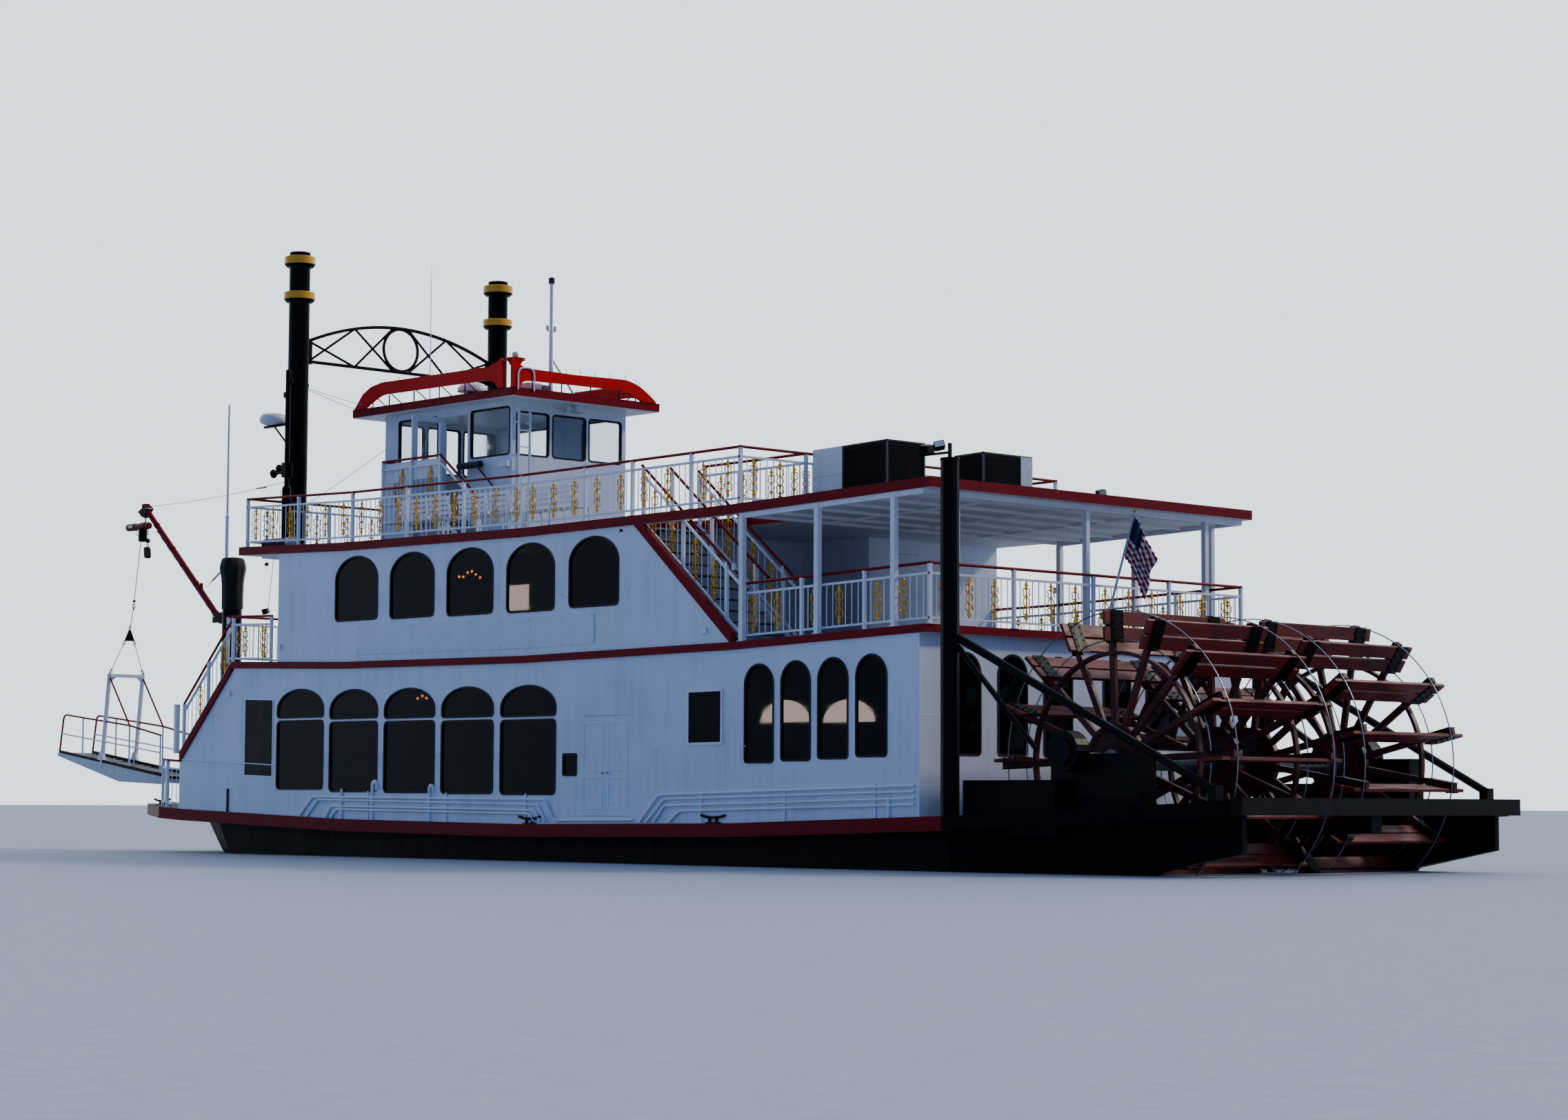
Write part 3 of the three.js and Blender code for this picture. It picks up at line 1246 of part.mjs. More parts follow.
// Everything below hangs from the pin under the boom's tip.
const PIN = { x: BOOM_TIP.x, z: BOOM_TIP.z - HANG.down };
function hoist() {
  const top = PIN.z;
  const eye = rod([PIN.x, GEAR_Y - 10, top], [PIN.x, GEAR_Y + 10, top], 40, 12);
  const hole = rod([PIN.x, GEAR_Y - 20, top], [PIN.x, GEAR_Y + 20, top], HANG.holeR, HANG.sides);
  const body = join(
    eye,
    box(PIN.x - 20, PIN.x + 20, GEAR_Y - 10, GEAR_Y + 10, top - 140, top - 30),
    box(PIN.x - 180, PIN.x + 790, GEAR_Y - 110, GEAR_Y + 110, top - 370, top - 120),
    box(PIN.x + 130, PIN.x + 370, GEAR_Y - 100, GEAR_Y + 100, top - 780, top - 360),
    rod([PIN.x + 600, GEAR_Y, top - 300], [PORTAL_X, GEAR_Y, 6080], 16, 6),
    crossPlate([[GEAR_Y - 130, 5860], [GEAR_Y + 130, 5860], [GEAR_Y, 6110]], PORTAL_X - 15, PORTAL_X + 15),
    rod([PORTAL_X, GEAR_Y - 100, 5890], [PORTAL_X, GEAR_Y - 430, PORTAL_TOP + 7], 16, 6),
    rod([PORTAL_X, GEAR_Y + 100, 5890], [PORTAL_X, GEAR_Y + 430, PORTAL_TOP + 7], 16, 6),
  );
  return cut(body, hole);
}
add("hoist", hoist(), RED);

function landingStage() {
  const { x0, z0, x1, z1, half } = STAGE;
  const [y0, y1] = [GEAR_Y - half, GEAR_Y + half];
  const upAt = (x) => z0 + ((z1 - z0) * (x - x0)) / (x1 - x0);
  const floor = sidePlate([[x0, z0 + 170], [x0, z0 + 230], [x1, z1 + 60], [x1, z1]], y0 + 10, y1 - 10);
  const beam = [
    [x0, z0 + 40],
    [x0, z0 + 300],
    [x1 - 100, z1 + 110],
    [x1, z1 + 60],
    [x1, z1 - 20],
    [x0 + 1800, upAt(x0 + 1800) - 190],
  ];
  const sides = [y0 - 22, y1 - 38].map((y) => sidePlate(beam, y, y + 60));
  const footZ = upAt(PORTAL_X);
  const portal = [
    box(PORTAL_X - 45, PORTAL_X + 45, y0 - 100, y0 - 15, footZ - 160, PORTAL_TOP - 1),
    box(PORTAL_X - 45, PORTAL_X + 45, y1 + 15, y1 + 100, footZ - 160, PORTAL_TOP - 1),
    box(PORTAL_X - 40, PORTAL_X + 40, y0 - 100, y1 + 100, PORTAL_TOP - 80, PORTAL_TOP),
  ];
  const rails = [y0, y1].flatMap((y) => {
    const posts = [x0 + 60, x0 + 900, x0 + 1700, x0 + 2900, x0 + 3700, x1 - 60].map((x) =>
      box(x - 22, x + 22, y - 22, y + 22, upAt(x) + 60, upAt(x) + 1130),
    );
    const [from, to] = [x0 + 40, x1 - 40];
    const bar = (up) => barInPlane([from, upAt(from) + up], [to, upAt(to) + up], y - 20, y + 20, 44);
    return [...posts, bar(650), bar(1140)];
  });
  return join(floor, ...sides, ...rails, ...portal);
}
add("landing_stage", landingStage(), GREY);

// Radar mast on the third deck, inside the forward port corner of the rail.
const RADAR = { x: 10400, y: 3500, r: 55, baseR: 100, baseTop: 9000, top: 11560 };
function radarMast() {
  const foot = THIRD_TOP + sheerAt(RADAR.x) - 40;
  const mast = rod([RADAR.x, RADAR.y, foot], [RADAR.x, RADAR.y, RADAR.top], RADAR.r, 8);
  const base = rod([RADAR.x, RADAR.y, foot], [RADAR.x, RADAR.y, RADAR.baseTop], RADAR.baseR, 12);
  const plate = box(RADAR.x - 150, RADAR.x + 150, RADAR.y - 150, RADAR.y + 150, foot, foot + 60);
  const arm = box(RADAR.x, RADAR.x + 900, RADAR.y - 30, RADAR.y + 30, 10330, 10390);
  const dome = rod([RADAR.x + 550, RADAR.y, 10380], [RADAR.x + 550, RADAR.y, 10620], 310, 16);
  return cut(join(mast, base, plate, arm, dome), sheered(box(9000, 13000, 0, 5000, 0, THIRD_TOP + SEAT)));
}
add("radar_mast", radarMast(), BLACK);

export default boat;
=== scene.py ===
"""Looks of a sternwheel excursion boat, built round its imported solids.

Metres. +X is forward, +Y port and +Z up. The origin is the middle of the hull's flat bottom,
and the water stands WATER_Z above it.
"""

import json
import logging
import math
from dataclasses import dataclass, field
from enum import Enum

import bmesh
import bpy
import numpy as np
from mathutils import Matrix

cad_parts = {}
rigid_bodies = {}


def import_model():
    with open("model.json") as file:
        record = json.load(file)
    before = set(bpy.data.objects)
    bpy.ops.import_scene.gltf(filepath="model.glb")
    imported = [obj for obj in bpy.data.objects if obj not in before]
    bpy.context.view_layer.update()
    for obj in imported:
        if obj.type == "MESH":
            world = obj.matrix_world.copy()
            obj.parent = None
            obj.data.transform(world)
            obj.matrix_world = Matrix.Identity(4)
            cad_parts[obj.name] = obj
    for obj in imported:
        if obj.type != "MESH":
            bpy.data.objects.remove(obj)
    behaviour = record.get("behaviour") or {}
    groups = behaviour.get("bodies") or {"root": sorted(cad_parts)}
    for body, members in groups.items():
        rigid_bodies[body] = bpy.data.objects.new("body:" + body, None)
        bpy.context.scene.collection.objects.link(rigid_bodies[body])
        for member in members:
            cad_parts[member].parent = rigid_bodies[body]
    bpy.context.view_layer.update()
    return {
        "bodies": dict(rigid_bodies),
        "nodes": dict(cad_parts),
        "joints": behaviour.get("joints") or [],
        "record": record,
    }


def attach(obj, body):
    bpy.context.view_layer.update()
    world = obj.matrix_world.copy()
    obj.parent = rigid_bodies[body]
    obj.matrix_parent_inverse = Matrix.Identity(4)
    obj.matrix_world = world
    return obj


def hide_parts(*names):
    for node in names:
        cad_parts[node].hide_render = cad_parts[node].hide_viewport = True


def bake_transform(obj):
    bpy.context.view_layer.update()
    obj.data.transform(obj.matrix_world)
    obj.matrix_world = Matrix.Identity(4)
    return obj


log = logging.getLogger("boat")

# Heights of the deck tops amidships, before the sheer lifts the ends.
MAIN_TOP = 1.670
SECOND_TOP = 4.935
THIRD_TOP = 7.435
WATER_Z = 0.95
DECK_SEAT = 0.0003
HALF_BEAM = 4.400
WALL_OUT = 4.350
WALL_IN = 4.290
SIDES: tuple[tuple[str, int], ...] = (("port", 1), ("starboard", -1))

# The sheer is a parabola about its low point, drawn as straight runs between stations.
STATIONS = np.array([-17.0, -11.0, -5.0, 1.0, 7.0, 13.0, 19.0])
SHEER_RISE = 0.0017
SHEER_LOW_X = 1.0

Points = np.ndarray
Faces = np.ndarray
Pair = tuple[float, float]
Triple = tuple[float, float, float]
Four = tuple[float, float, float, float]
Tree = bpy.types.NodeTree
Node = bpy.types.Node
Socket = bpy.types.NodeSocket


def sheer(x: float | Points) -> float | Points:
    """Height that the sheer adds at x: the parabola's height, read along straight runs.

    Args:
        x: Distance forward, one number or an array.

    Returns:
        The rise at x, in the same form.
    """
    return np.interp(x, STATIONS, SHEER_RISE * (STATIONS - SHEER_LOW_X) ** 2)


def linear(colour: str) -> Four:
    """Turns an sRGB hex colour such as #6e1a26 into the linear one that shaders take.

    Args:
        colour: Six hex digits after a hash.

    Returns:
        Red, green, blue and an alpha of 1.
    """
    parts = [int(colour[i : i + 2], 16) / 255 for i in (1, 3, 5)]
    red, green, blue = (p / 12.92 if p <= 0.04045 else ((p + 0.055) / 1.055) ** 2.4 for p in parts)
    return red, green, blue, 1.0


def add_node(
    tree: Tree,
    kind: str,
    settings: dict[str, object] | None = None,
    inputs: dict[str | int, object] | None = None,
) -> Node:
    """Adds one shader node with its settings and links.

    Args:
        tree: The material's node tree.
        kind: The node's Blender type.
        settings: Properties of the node.
        inputs: By socket name or number, a plain value or another node's output socket.

    Returns:
        The node.
    """
    made = tree.nodes.new(kind)
    for key, value in (settings or {}).items():
        setattr(made, key, value)
    for key, value in (inputs or {}).items():
        if isinstance(value, Socket):
            tree.links.new(value, made.inputs[key])
        else:
            made.inputs[key].default_value = value
    return made


# FINISHES


@dataclass(frozen=True)
class Finish:
    """A surface finish that one material shows.

    Attributes:
        name: The material's name.
        colour: Main colour, sRGB hex.
        roughness: Of the clean surface.
        metallic: 1 for bare metal.
        gloss: Strength of the reflection, 0.5 for plain paint.
    """

    name: str
    colour: str
    roughness: float
    metallic: float = 0.0
    gloss: float = 0.5

    def material(self) -> bpy.types.Material:
        """Returns the material, made the first time that it is asked for."""
        found = bpy.data.materials.get(self.name)
        if found:
            return found
        made = bpy.data.materials.new(self.name)
        made.use_nodes = True
        tree = made.node_tree
        shader = next(n for n in tree.nodes if n.type == "BSDF_PRINCIPLED")
        shader.inputs["Metallic"].default_value = self.metallic
        shader.inputs["Roughness"].default_value = self.roughness
        shader.inputs["Specular IOR Level"].default_value = self.gloss
        shader.inputs["Base Color"].default_value = linear(self.colour)
        made.diffuse_color = linear(self.colour)
        self.pattern(tree, shader)
        return made

    def pattern(self, tree: Tree, shader: Node) -> None:
        """Adds what makes the surface more than one flat colour."""

    def place(self, tree: Tree, scale: Triple) -> Socket:
        """Object coordinates stretched by scale, in cycles per metre along X, Y and Z."""
        coords = add_node(tree, "ShaderNodeTexCoord")
        mapping = add_node(tree, "ShaderNodeMapping", inputs={"Vector": coords.outputs["Object"], "Scale": scale})
        return mapping.outputs["Vector"]

    def noise(
        self, tree: Tree, scale: Triple, detail: float = 3.0
    ) -> Socket:
        """Noise of the given cycles per metre along X, Y and Z."""
        vector = self.place(tree, scale)
        made = add_node(tree, "ShaderNodeTexNoise", inputs={"Vector": vector, "Scale": 1.0, "Detail": detail})
        return made.outputs["Fac"]

    def stain(
        self,
        tree: Tree,
        shader: Node,
        pattern: Socket,
        span: Pair,
        share: float,
        second: str,
    ) -> None:
        """Covers the finish's colour with a second one, by none where the pattern is at the span's low end.

        Args:
            tree: The material's node tree.
            shader: The node that takes the colour.
            pattern: What the cover follows.
            span: The pattern's values where the cover starts and where it is full.
            share: How far the full cover hides the first colour.
            second: The cover's colour, sRGB hex.
        """
        limits = {0: pattern, 1: span[0], 2: span[1], 4: share}
        cover = add_node(tree, "ShaderNodeMapRange", inputs=limits).outputs[0]
        ends = {0: cover, 6: linear(self.colour), 7: linear(second)}
        colour = add_node(tree, "ShaderNodeMix", {"data_type": "RGBA"}, ends).outputs[2]
        tree.links.new(colour, shader.inputs["Base Color"])

    def dull(
        self,
        tree: Tree,
        shader: Node,
        pattern: Socket,
        span: Pair,
        rough: Pair,
    ) -> None:
        """Lets the roughness go from the first value of rough to the second, as the pattern crosses the span."""
        limits = {0: pattern, 1: span[0], 2: span[1], 3: rough[0], 4: rough[1]}
        tree.links.new(add_node(tree, "ShaderNodeMapRange", inputs=limits).outputs[0], shader.inputs["Roughness"])

    def relief(
        self,
        tree: Tree,
        shader: Node,
        height: Socket,
        depth: float,
        under: Socket | None = None,
    ) -> Socket:
        """Raises the surface by height times depth in metres, over an earlier relief."""
        inputs: dict[str | int, object] = {"Height": height, "Distance": depth, "Strength": 1.0}
        if under:
            inputs["Normal"] = under
        made = add_node(tree, "ShaderNodeBump", inputs=inputs)
        tree.links.new(made.outputs["Normal"], shader.inputs["Normal"])
        return made.outputs["Normal"]


@dataclass(frozen=True)
class Enamel(Finish):
    """Marine enamel rolled on steel plate: a soft gloss over slightly wavy plates, with rain streaks.

    Attributes:
        streak: Colour of the streaks and grime, sRGB hex.
        streak_share: How far the grime covers the paint, 0 to 1.
        seams: Whether the plates' welded seams show.
    """

    streak: str = "#6d6a66"
    streak_share: float = 0.22
    seams: bool = False

    # Plates are about 2.4 m by 1.2 m, and their waves about 0.5 m long.
    PLATE_LONG = 2.4
    PLATE_HIGH = 1.2
    SEAM_WIDE = 0.012

    def pattern(self, tree: Tree, shader: Node) -> None:
        """Streaks run down the plate, roughness follows them, and the plates wave."""
        streaks = self.noise(tree, (7.0, 7.0, 0.45), 5.0)
        patches = self.noise(tree, (0.7, 0.7, 0.9), 4.0)
        both = add_node(tree, "ShaderNodeMath", {"operation": "MULTIPLY"}, {0: streaks, 1: patches})
        self.stain(tree, shader, both.outputs[0], (0.22, 0.42), self.streak_share, self.streak)
        self.dull(tree, shader, streaks, (0.3, 0.7), (self.roughness - 0.06, self.roughness + 0.12))
        waves = self.noise(tree, (2.1, 2.1, 1.7), 1.5)
        bumped = self.relief(tree, shader, waves, 0.010)
        roller = self.noise(tree, (160.0, 160.0, 160.0), 2.0)
        bumped = self.relief(tree, shader, roller, 0.0006, bumped)
        if self.seams:
            self.relief(tree, shader, self.seam_lines(tree), 0.002, bumped)

    def seam_lines(self, tree: Tree) -> Socket:
        """Bricks of plate size laid by distance along the wall and height, their joints as seams."""
        coords = add_node(tree, "ShaderNodeTexCoord")
        apart = add_node(tree, "ShaderNodeSeparateXYZ", inputs={0: coords.outputs["Object"]})
        along = add_node(tree, "ShaderNodeMath", {"operation": "ADD"}, {0: apart.outputs[0], 1: apart.outputs[1]})
        flat = add_node(tree, "ShaderNodeCombineXYZ", inputs={0: along.outputs[0], 1: apart.outputs[2]})
        bricks = add_node(
            tree,
            "ShaderNodeTexBrick",
            inputs={
                "Vector": flat.outputs[0],
                "Scale": 1.0,
                "Mortar Size": self.SEAM_WIDE,
                "Mortar Smooth": 1.0,
                "Brick Width": self.PLATE_LONG,
                "Row Height": self.PLATE_HIGH,
            },
        )
        return bricks.outputs["Fac"]


@dataclass(frozen=True)
class DeckPaint(Finish):
    """Deck plate: enamelled edge, gritty walking surface above and a painted soffit below.

    Attributes:
        top: Colour of the walking surface, sRGB hex.
        under: Colour of the soffit, sRGB hex.
    """

    top: str = "#70747a"
    under: str = "#d9dee6"

    WORN = "#4d4f52"
    EDGE_GRIME = "#3a1216"
    DAMP = "#a9adb4"

    def pattern(self, tree: Tree, shader: Node) -> None:
        """The face's own direction picks the colour: up is grit, down is soffit, sideways is the edge."""
        normal = add_node(tree, "ShaderNodeNewGeometry").outputs["Normal"]
        up = add_node(tree, "ShaderNodeSeparateXYZ", inputs={0: normal}).outputs[2]
        wear, rain = self.noise(tree, (0.8, 0.8, 0.8), 5.0), self.noise(tree, (5.0, 5.0, 1.2), 4.0)
        # Each share is [what it follows, where it starts, where it is full, how much it is then].
        shares = ((up, 0.6, 0.8, 1.0), (up, -0.6, -0.8, 1.0), (wear, 0.35, 0.7, 0.35), (rain, 0.45, 0.75, 0.4))
        is_top, is_under, worn, streak = (
            add_node(tree, "ShaderNodeMapRange", inputs={0: value, 1: low, 2: high, 4: most}).outputs[0]
            for value, low, high, most in shares
        )
        tints = ((worn, self.top, self.WORN), (streak, self.colour, self.EDGE_GRIME), (streak, self.under, self.DAMP))
        walked, edge, soffit = (
            add_node(tree, "ShaderNodeMix", {"data_type": "RGBA"}, {0: by, 6: linear(a), 7: linear(b)}).outputs[2]
            for by, a, b in tints
        )
        sides = add_node(tree, "ShaderNodeMix", {"data_type": "RGBA"}, {0: is_top, 6: edge, 7: walked}).outputs[2]
        whole = add_node(tree, "ShaderNodeMix", {"data_type": "RGBA"}, {0: is_under, 6: sides, 7: soffit}).outputs[2]
        tree.links.new(whole, shader.inputs["Base Color"])
        self.dull(tree, shader, up, (0.5, 0.8), (self.roughness, 0.85))
        waves = self.relief(tree, shader, self.noise(tree, (1.4, 1.4, 1.4), 1.5), 0.008)
        grit = self.noise(tree, (260.0, 260.0, 260.0), 2.0)
        shown = add_node(tree, "ShaderNodeMath", {"operation": "MULTIPLY"}, {0: grit, 1: is_top})
        self.relief(tree, shader, shown.outputs[0], 0.003, waves)


@dataclass(frozen=True)
class PaintedTimber(Finish):
    """Softwood boards under thin red lead paint, worn darker where the water runs.

    Attributes:
        worn: Colour of the wet, worn wood, sRGB hex.
    """

    worn: str = "#34100f"

    def pattern(self, tree: Tree, shader: Node) -> None:
        """Grain 6 mm apart runs athwart along the boards, with blotches of wear over it."""
        blotch = self.noise(tree, (3.0, 1.2, 3.0), 6.0)
        grain = self.noise(tree, (90.0, 1.5, 90.0), 3.0)
        both = add_node(tree, "ShaderNodeMath", {"operation": "MULTIPLY"}, {0: blotch, 1: grain})
        self.stain(tree, shader, both.outputs[0], (0.16, 0.36), 0.8, self.worn)
        self.dull(tree, shader, blotch, (0.3, 0.7), (self.roughness - 0.15, self.roughness + 0.2))
        self.relief(tree, shader, grain, 0.003)


@dataclass(frozen=True)
class CastGilt(Finish):
    """Cast iron scrollwork with gold paint: bright on the raised parts, brown in the hollows."""

    def pattern(self, tree: Tree, shader: Node) -> None:
        """Brown tint and a sandy cast skin, both a few millimetres across."""
        spots = self.noise(tree, (60.0, 60.0, 60.0), 4.0)
        self.stain(tree, shader, spots, (0.42, 0.68), 0.7, "#7a5413")
        self.relief(tree, shader, self.noise(tree, (300.0, 300.0, 300.0), 2.0), 0.0012)


@dataclass(frozen=True)
class BareMetal(Finish):
    """Galvanised or machined steel, dull grey with darker spots."""

    def pattern(self, tree: Tree, shader: Node) -> None:
        """Zinc spangle about 30 mm across changes the tone and the gloss."""
        spangle = self.noise(tree, (35.0, 35.0, 35.0), 4.0)
        self.stain(tree, shader, spangle, (0.35, 0.7), 0.6, "#4c4f55")
        self.dull(tree, shader, spangle, (0.3, 0.7), (self.roughness - 0.1, self.roughness + 0.15))


@dataclass(frozen=True)
class TintedGlass(Finish):
    """Safety glass, smoked in the saloons and clear in the wheelhouse, with a sharp reflection.

    Attributes:
        clear: Share of the light that goes through, 0 to 1.
    """

    clear: float = 0.35

    def pattern(self, tree: Tree, shader: Node) -> None:
        """The pane lets light through by its clear share, and bends its reflection over long waves."""
        shader.inputs["Transmission Weight"].default_value = self.clear
        shader.inputs["IOR"].default_value = 1.2
        self.dull(tree, shader, self.noise(tree, (2.0, 2.0, 5.0), 4.0), (0.4, 0.8), (self.roughness, 0.16))
        self.relief(tree, shader, self.noise(tree, (1.1, 1.1, 1.1), 1.0), 0.002)


@dataclass(frozen=True)
class Cloth(Finish):
    """Woven cloth or coated canvas: threads 2 mm apart, drawn coarser than real so that they show."""

    def pattern(self, tree: Tree, shader: Node) -> None:
        """Crossed threads and soft creases."""
        shader.inputs["Sheen Weight"].default_value = 0.3
        folds = self.noise(tree, (4.0, 4.0, 1.5), 4.0)
        self.stain(tree, shader, folds, (0.35, 0.7), 0.35, "#1c1c20")
        creased = self.relief(tree, shader, folds, 0.02)
        self.relief(tree, shader, self.noise(tree, (500.0, 500.0, 500.0), 1.0), 0.0006, creased)


@dataclass(frozen=True)
class Bunting(Finish):
    """Striped flag cloth whose colours follow its own UV map: U from the staff to the fly, V from foot to head.

    Attributes:
        stripes: Number of stripes.
        canton: Colour of the upper corner by the staff, sRGB hex.
        second: The second colour, sRGB hex.
    """

    stripes: int = 13
    canton: str = "#1f2c52"
    second: str = "#e8e6e1"

    # The canton ends at this share of U, and starts at this share of V.
    CANTON_TO = 0.4
    CANTON_FROM = 0.46

    def pattern(self, tree: Tree, shader: Node) -> None:
        """Stripes by the fraction of V times half their number, with the canton over them."""
        uv = add_node(tree, "ShaderNodeUVMap", {"uv_map": "UVMap"})
        apart = add_node(tree, "ShaderNodeSeparateXYZ", inputs={0: uv.outputs[0]})
        along, up = apart.outputs[0], apart.outputs[1]
        many = add_node(tree, "ShaderNodeMath", {"operation": "MULTIPLY"}, {0: up, 1: self.stripes / 2})
        part = add_node(tree, "ShaderNodeMath", {"operation": "FRACT"}, {0: many.outputs[0]})
        factor = add_node(tree, "ShaderNodeMath", {"operation": "GREATER_THAN"}, {0: part.outputs[0], 1: 0.5})
        ends = {0: factor.outputs[0], 6: linear(self.colour), 7: linear(self.second)}
        striped = add_node(tree, "ShaderNodeMix", {"data_type": "RGBA"}, ends).outputs[2]
        left = add_node(tree, "ShaderNodeMath", {"operation": "LESS_THAN"}, {0: along, 1: self.CANTON_TO})
        high = add_node(tree, "ShaderNodeMath", {"operation": "GREATER_THAN"}, {0: up, 1: self.CANTON_FROM})
        corner = add_node(tree, "ShaderNodeMath", {"operation": "MULTIPLY"}, {0: left.outputs[0], 1: high.outputs[0]})
        ends = {0: corner.outputs[0], 6: striped, 7: linear(self.canton)}
        whole = add_node(tree, "ShaderNodeMix", {"data_type": "RGBA"}, ends).outputs[2]
        tree.links.new(whole, shader.inputs["Base Color"])
        self.relief(tree, shader, self.noise(tree, (400.0, 400.0, 400.0), 1.0), 0.0005)


@dataclass(frozen=True)
class Lamp(Finish):
    """A lit surface: a lamp's lens, a bulb's glass, or a panel of painted daylight that glows though it is no lamp.

    Attributes:
        glow: Strength of its light, 0 for a lamp that is off.
    """

    glow: float = 2.0

    def pattern(self, tree: Tree, shader: Node) -> None:
        """Ribs 20 mm apart on the surface, and the light from it."""
        shader.inputs["Emission Color"].default_value = linear(self.colour)
        shader.inputs["Emission Strength"].default_value = self.glow
        self.relief(tree, shader, self.noise(tree, (50.0, 50.0, 50.0), 1.0), 0.001)


# Each finish's class says what the real one is; where a colour paints light or shade, a note says so. Dark and red
# ones have a low gloss, or the pale sky washes them out.
# Painted shade: the wall plate's blue tint stands in for blue sky light on the shaded walls, over white paint.
WHITE = Enamel("blue_shaded_white_enamel_plate", "#d6e1f2", 0.34, seams=True, streak="#8f97a3")
TRIM_WHITE = Enamel("white_enamel_trim", "#e6ebf2", 0.32, streak="#9aa1ab")
SIGN_WHITE = Enamel("pale_sign_board", "#cfdcea", 0.28, streak="#9aa7b6", streak_share=0.12)
HULL_BLACK = Enamel("black_hull_enamel", "#040405", 0.45, gloss=0.07, streak="#0f0d0c", streak_share=0.3)
BLACK = Enamel("black_enamel", "#050506", 0.4, gloss=0.1, streak="#0f0e0f")
RAIL_RED = Enamel("maroon_handrail_enamel", "#7c0614", 0.4, gloss=0.08, streak="#3a0509")
FIN_RED = Enamel("bright_red_fin_enamel", "#cf0410", 0.4, gloss=0.08, streak="#8a060c", streak_share=0.12)
MAROON = Enamel("maroon_enamel", "#7e0416", 0.44, gloss=0.07, streak="#3c050c", streak_share=0.25)
YELLOW = Enamel("yellow_band_enamel", "#f0ac08", 0.34, streak="#7d5a10")
STAGE_GREY = Enamel("pale_grey_enamel", "#bfc8d2", 0.4, streak="#6f7780")
HOIST_RED = Enamel("dark_red_hoist_enamel", "#64090c", 0.4, gloss=0.2, streak="#2a0807", streak_share=0.3)
MAIN_DECK = DeckPaint("main_deck_paint", "#780615", 0.44, gloss=0.08, under="#0b0b0d")
UPPER_DECK = DeckPaint("upper_deck_paint", "#7c0518", 0.44, gloss=0.08)
WHEEL_TIMBER = PaintedTimber("red_wheel_timber", "#801a18", 0.5, gloss=0.35)
WHEEL_IRON = PaintedTimber("red_wheel_iron", "#5a1013", 0.45, gloss=0.3, worn="#1d0c0d")
GILT = CastGilt("gilded_casting", "#f4b312", 0.36, 0.3)
STEEL = BareMetal("galvanised_steel", "#9aa0a8", 0.38, 0.9)
GLASS = TintedGlass("tinted_window_glass", "#222226", 0.04, gloss=0.05, clear=0.9)
CLEAR_GLASS = TintedGlass("wheelhouse_glass", "#e6edf2", 0.02, gloss=0.3, clear=0.97)
RUBBER = Enamel("black_window_gasket", "#08080a", 0.55, gloss=0.25, streak="#161618")
CANVAS = Cloth("black_canvas_hood", "#09090b", 0.7, gloss=0.2)
LINEN = Cloth("white_table_linen", "#d9d9d6", 0.8)
ENSIGN = Bunting("striped_ensign_bunting", "#a11c2a", 0.8)
RADOME = Enamel("radar_dome_gelcoat", "#dfe5ea", 0.25, streak="#8d959c", streak_share=0.1)
LENS = Lamp("lamp_lens", "#d8d6cc", 0.2, glow=0.0)
RED_LENS = Lamp("red_lamp_lens", "#4a1712", 0.25, glow=0.05)
# Painted daylight: a glowing panel, not a lamp, that stands for daylight seen through the far side's windows.
PAINTED_DAYLIGHT_GLOW = Lamp("painted_daylight_glow_panel", "#ffe6c4", 0.5, glow=32.0)
HOUSING = Enamel("slate_unit_casing", "#2b3038", 0.4, streak="#15171b")
# Painted shade: the saloon linings are near-black so that the unlit saloons read dark through the glass.
PAINTED_SHADE_PANELLING = PaintedTimber("painted_shade_saloon_panelling", "#1c1310", 0.6, worn="#0e0908")
PAINTED_SHADE_CARPET = Cloth("painted_shade_saloon_carpet", "#20141a", 0.9)
BULB = Lamp("warm_bulb_glass", "#ff8a3a", 0.3, glow=110.0)


# SHAPES
# A shape is a pair: an array of points and an array of faces that count into it.

Shape = tuple[Points, Faces]


class Plane(Enum):
    """The plane that a flat outline is drawn in, and so the way that it is carried."""

    SIDE = (0, 2, 1)
    CROSS = (1, 2, 0)
    PLAN = (0, 1, 2)


def place(plane: Plane, flat: Points, depth: float | Points) -> Points:
    """Puts outline points in space: the plane's two axes take them, and its third takes the depth.

    Args:
        plane: Where the outline is drawn.
        flat: Outline points, two numbers each.
        depth: Their place on the third axis.

    Returns:
        Points in space.
    """
    made = np.zeros((len(flat), 3))
    made[:, plane.value[0]] = flat[:, 0]
    made[:, plane.value[1]] = flat[:, 1]
    made[:, plane.value[2]] = depth
    return made


def grid_faces(rows: int, columns: int, wrap_rows: bool = False, wrap_columns: bool = False) -> Faces:
    """Quads between neighbours of a grid of points, numbered row by row.

    Args:
        rows: Number of rows.
        columns: Number of points in a row.
        wrap_rows: Whether the last row joins the first.
        wrap_columns: Whether the last column joins the first.

    Returns:
        The quads.
    """
    i = np.arange(rows if wrap_rows else rows - 1)[:, None]
    j = np.arange(columns if wrap_columns else columns - 1)[None, :]
    a = i * columns + j
    b = i * columns + (j + 1) % columns
    c = ((i + 1) % rows) * columns + (j + 1) % columns
    d = ((i + 1) % rows) * columns + j
    return np.stack([a, b, c, d], axis=-1).reshape(-1, 4)


def circle(radius: float, sides: int) -> Points:
    """Points on a circle: radius times the cosine and sine of equal turns."""
    turns = np.arange(sides) * 2 * np.pi / sides + np.pi / sides
    return radius * np.stack([np.cos(turns), np.sin(turns)], axis=1)


def oblong(wide: float, high: float) -> Points:
    """The corners of a rectangle about the origin."""
    return np.array([(-wide, -high), (wide, -high), (wide, high), (-wide, high)]) / 2


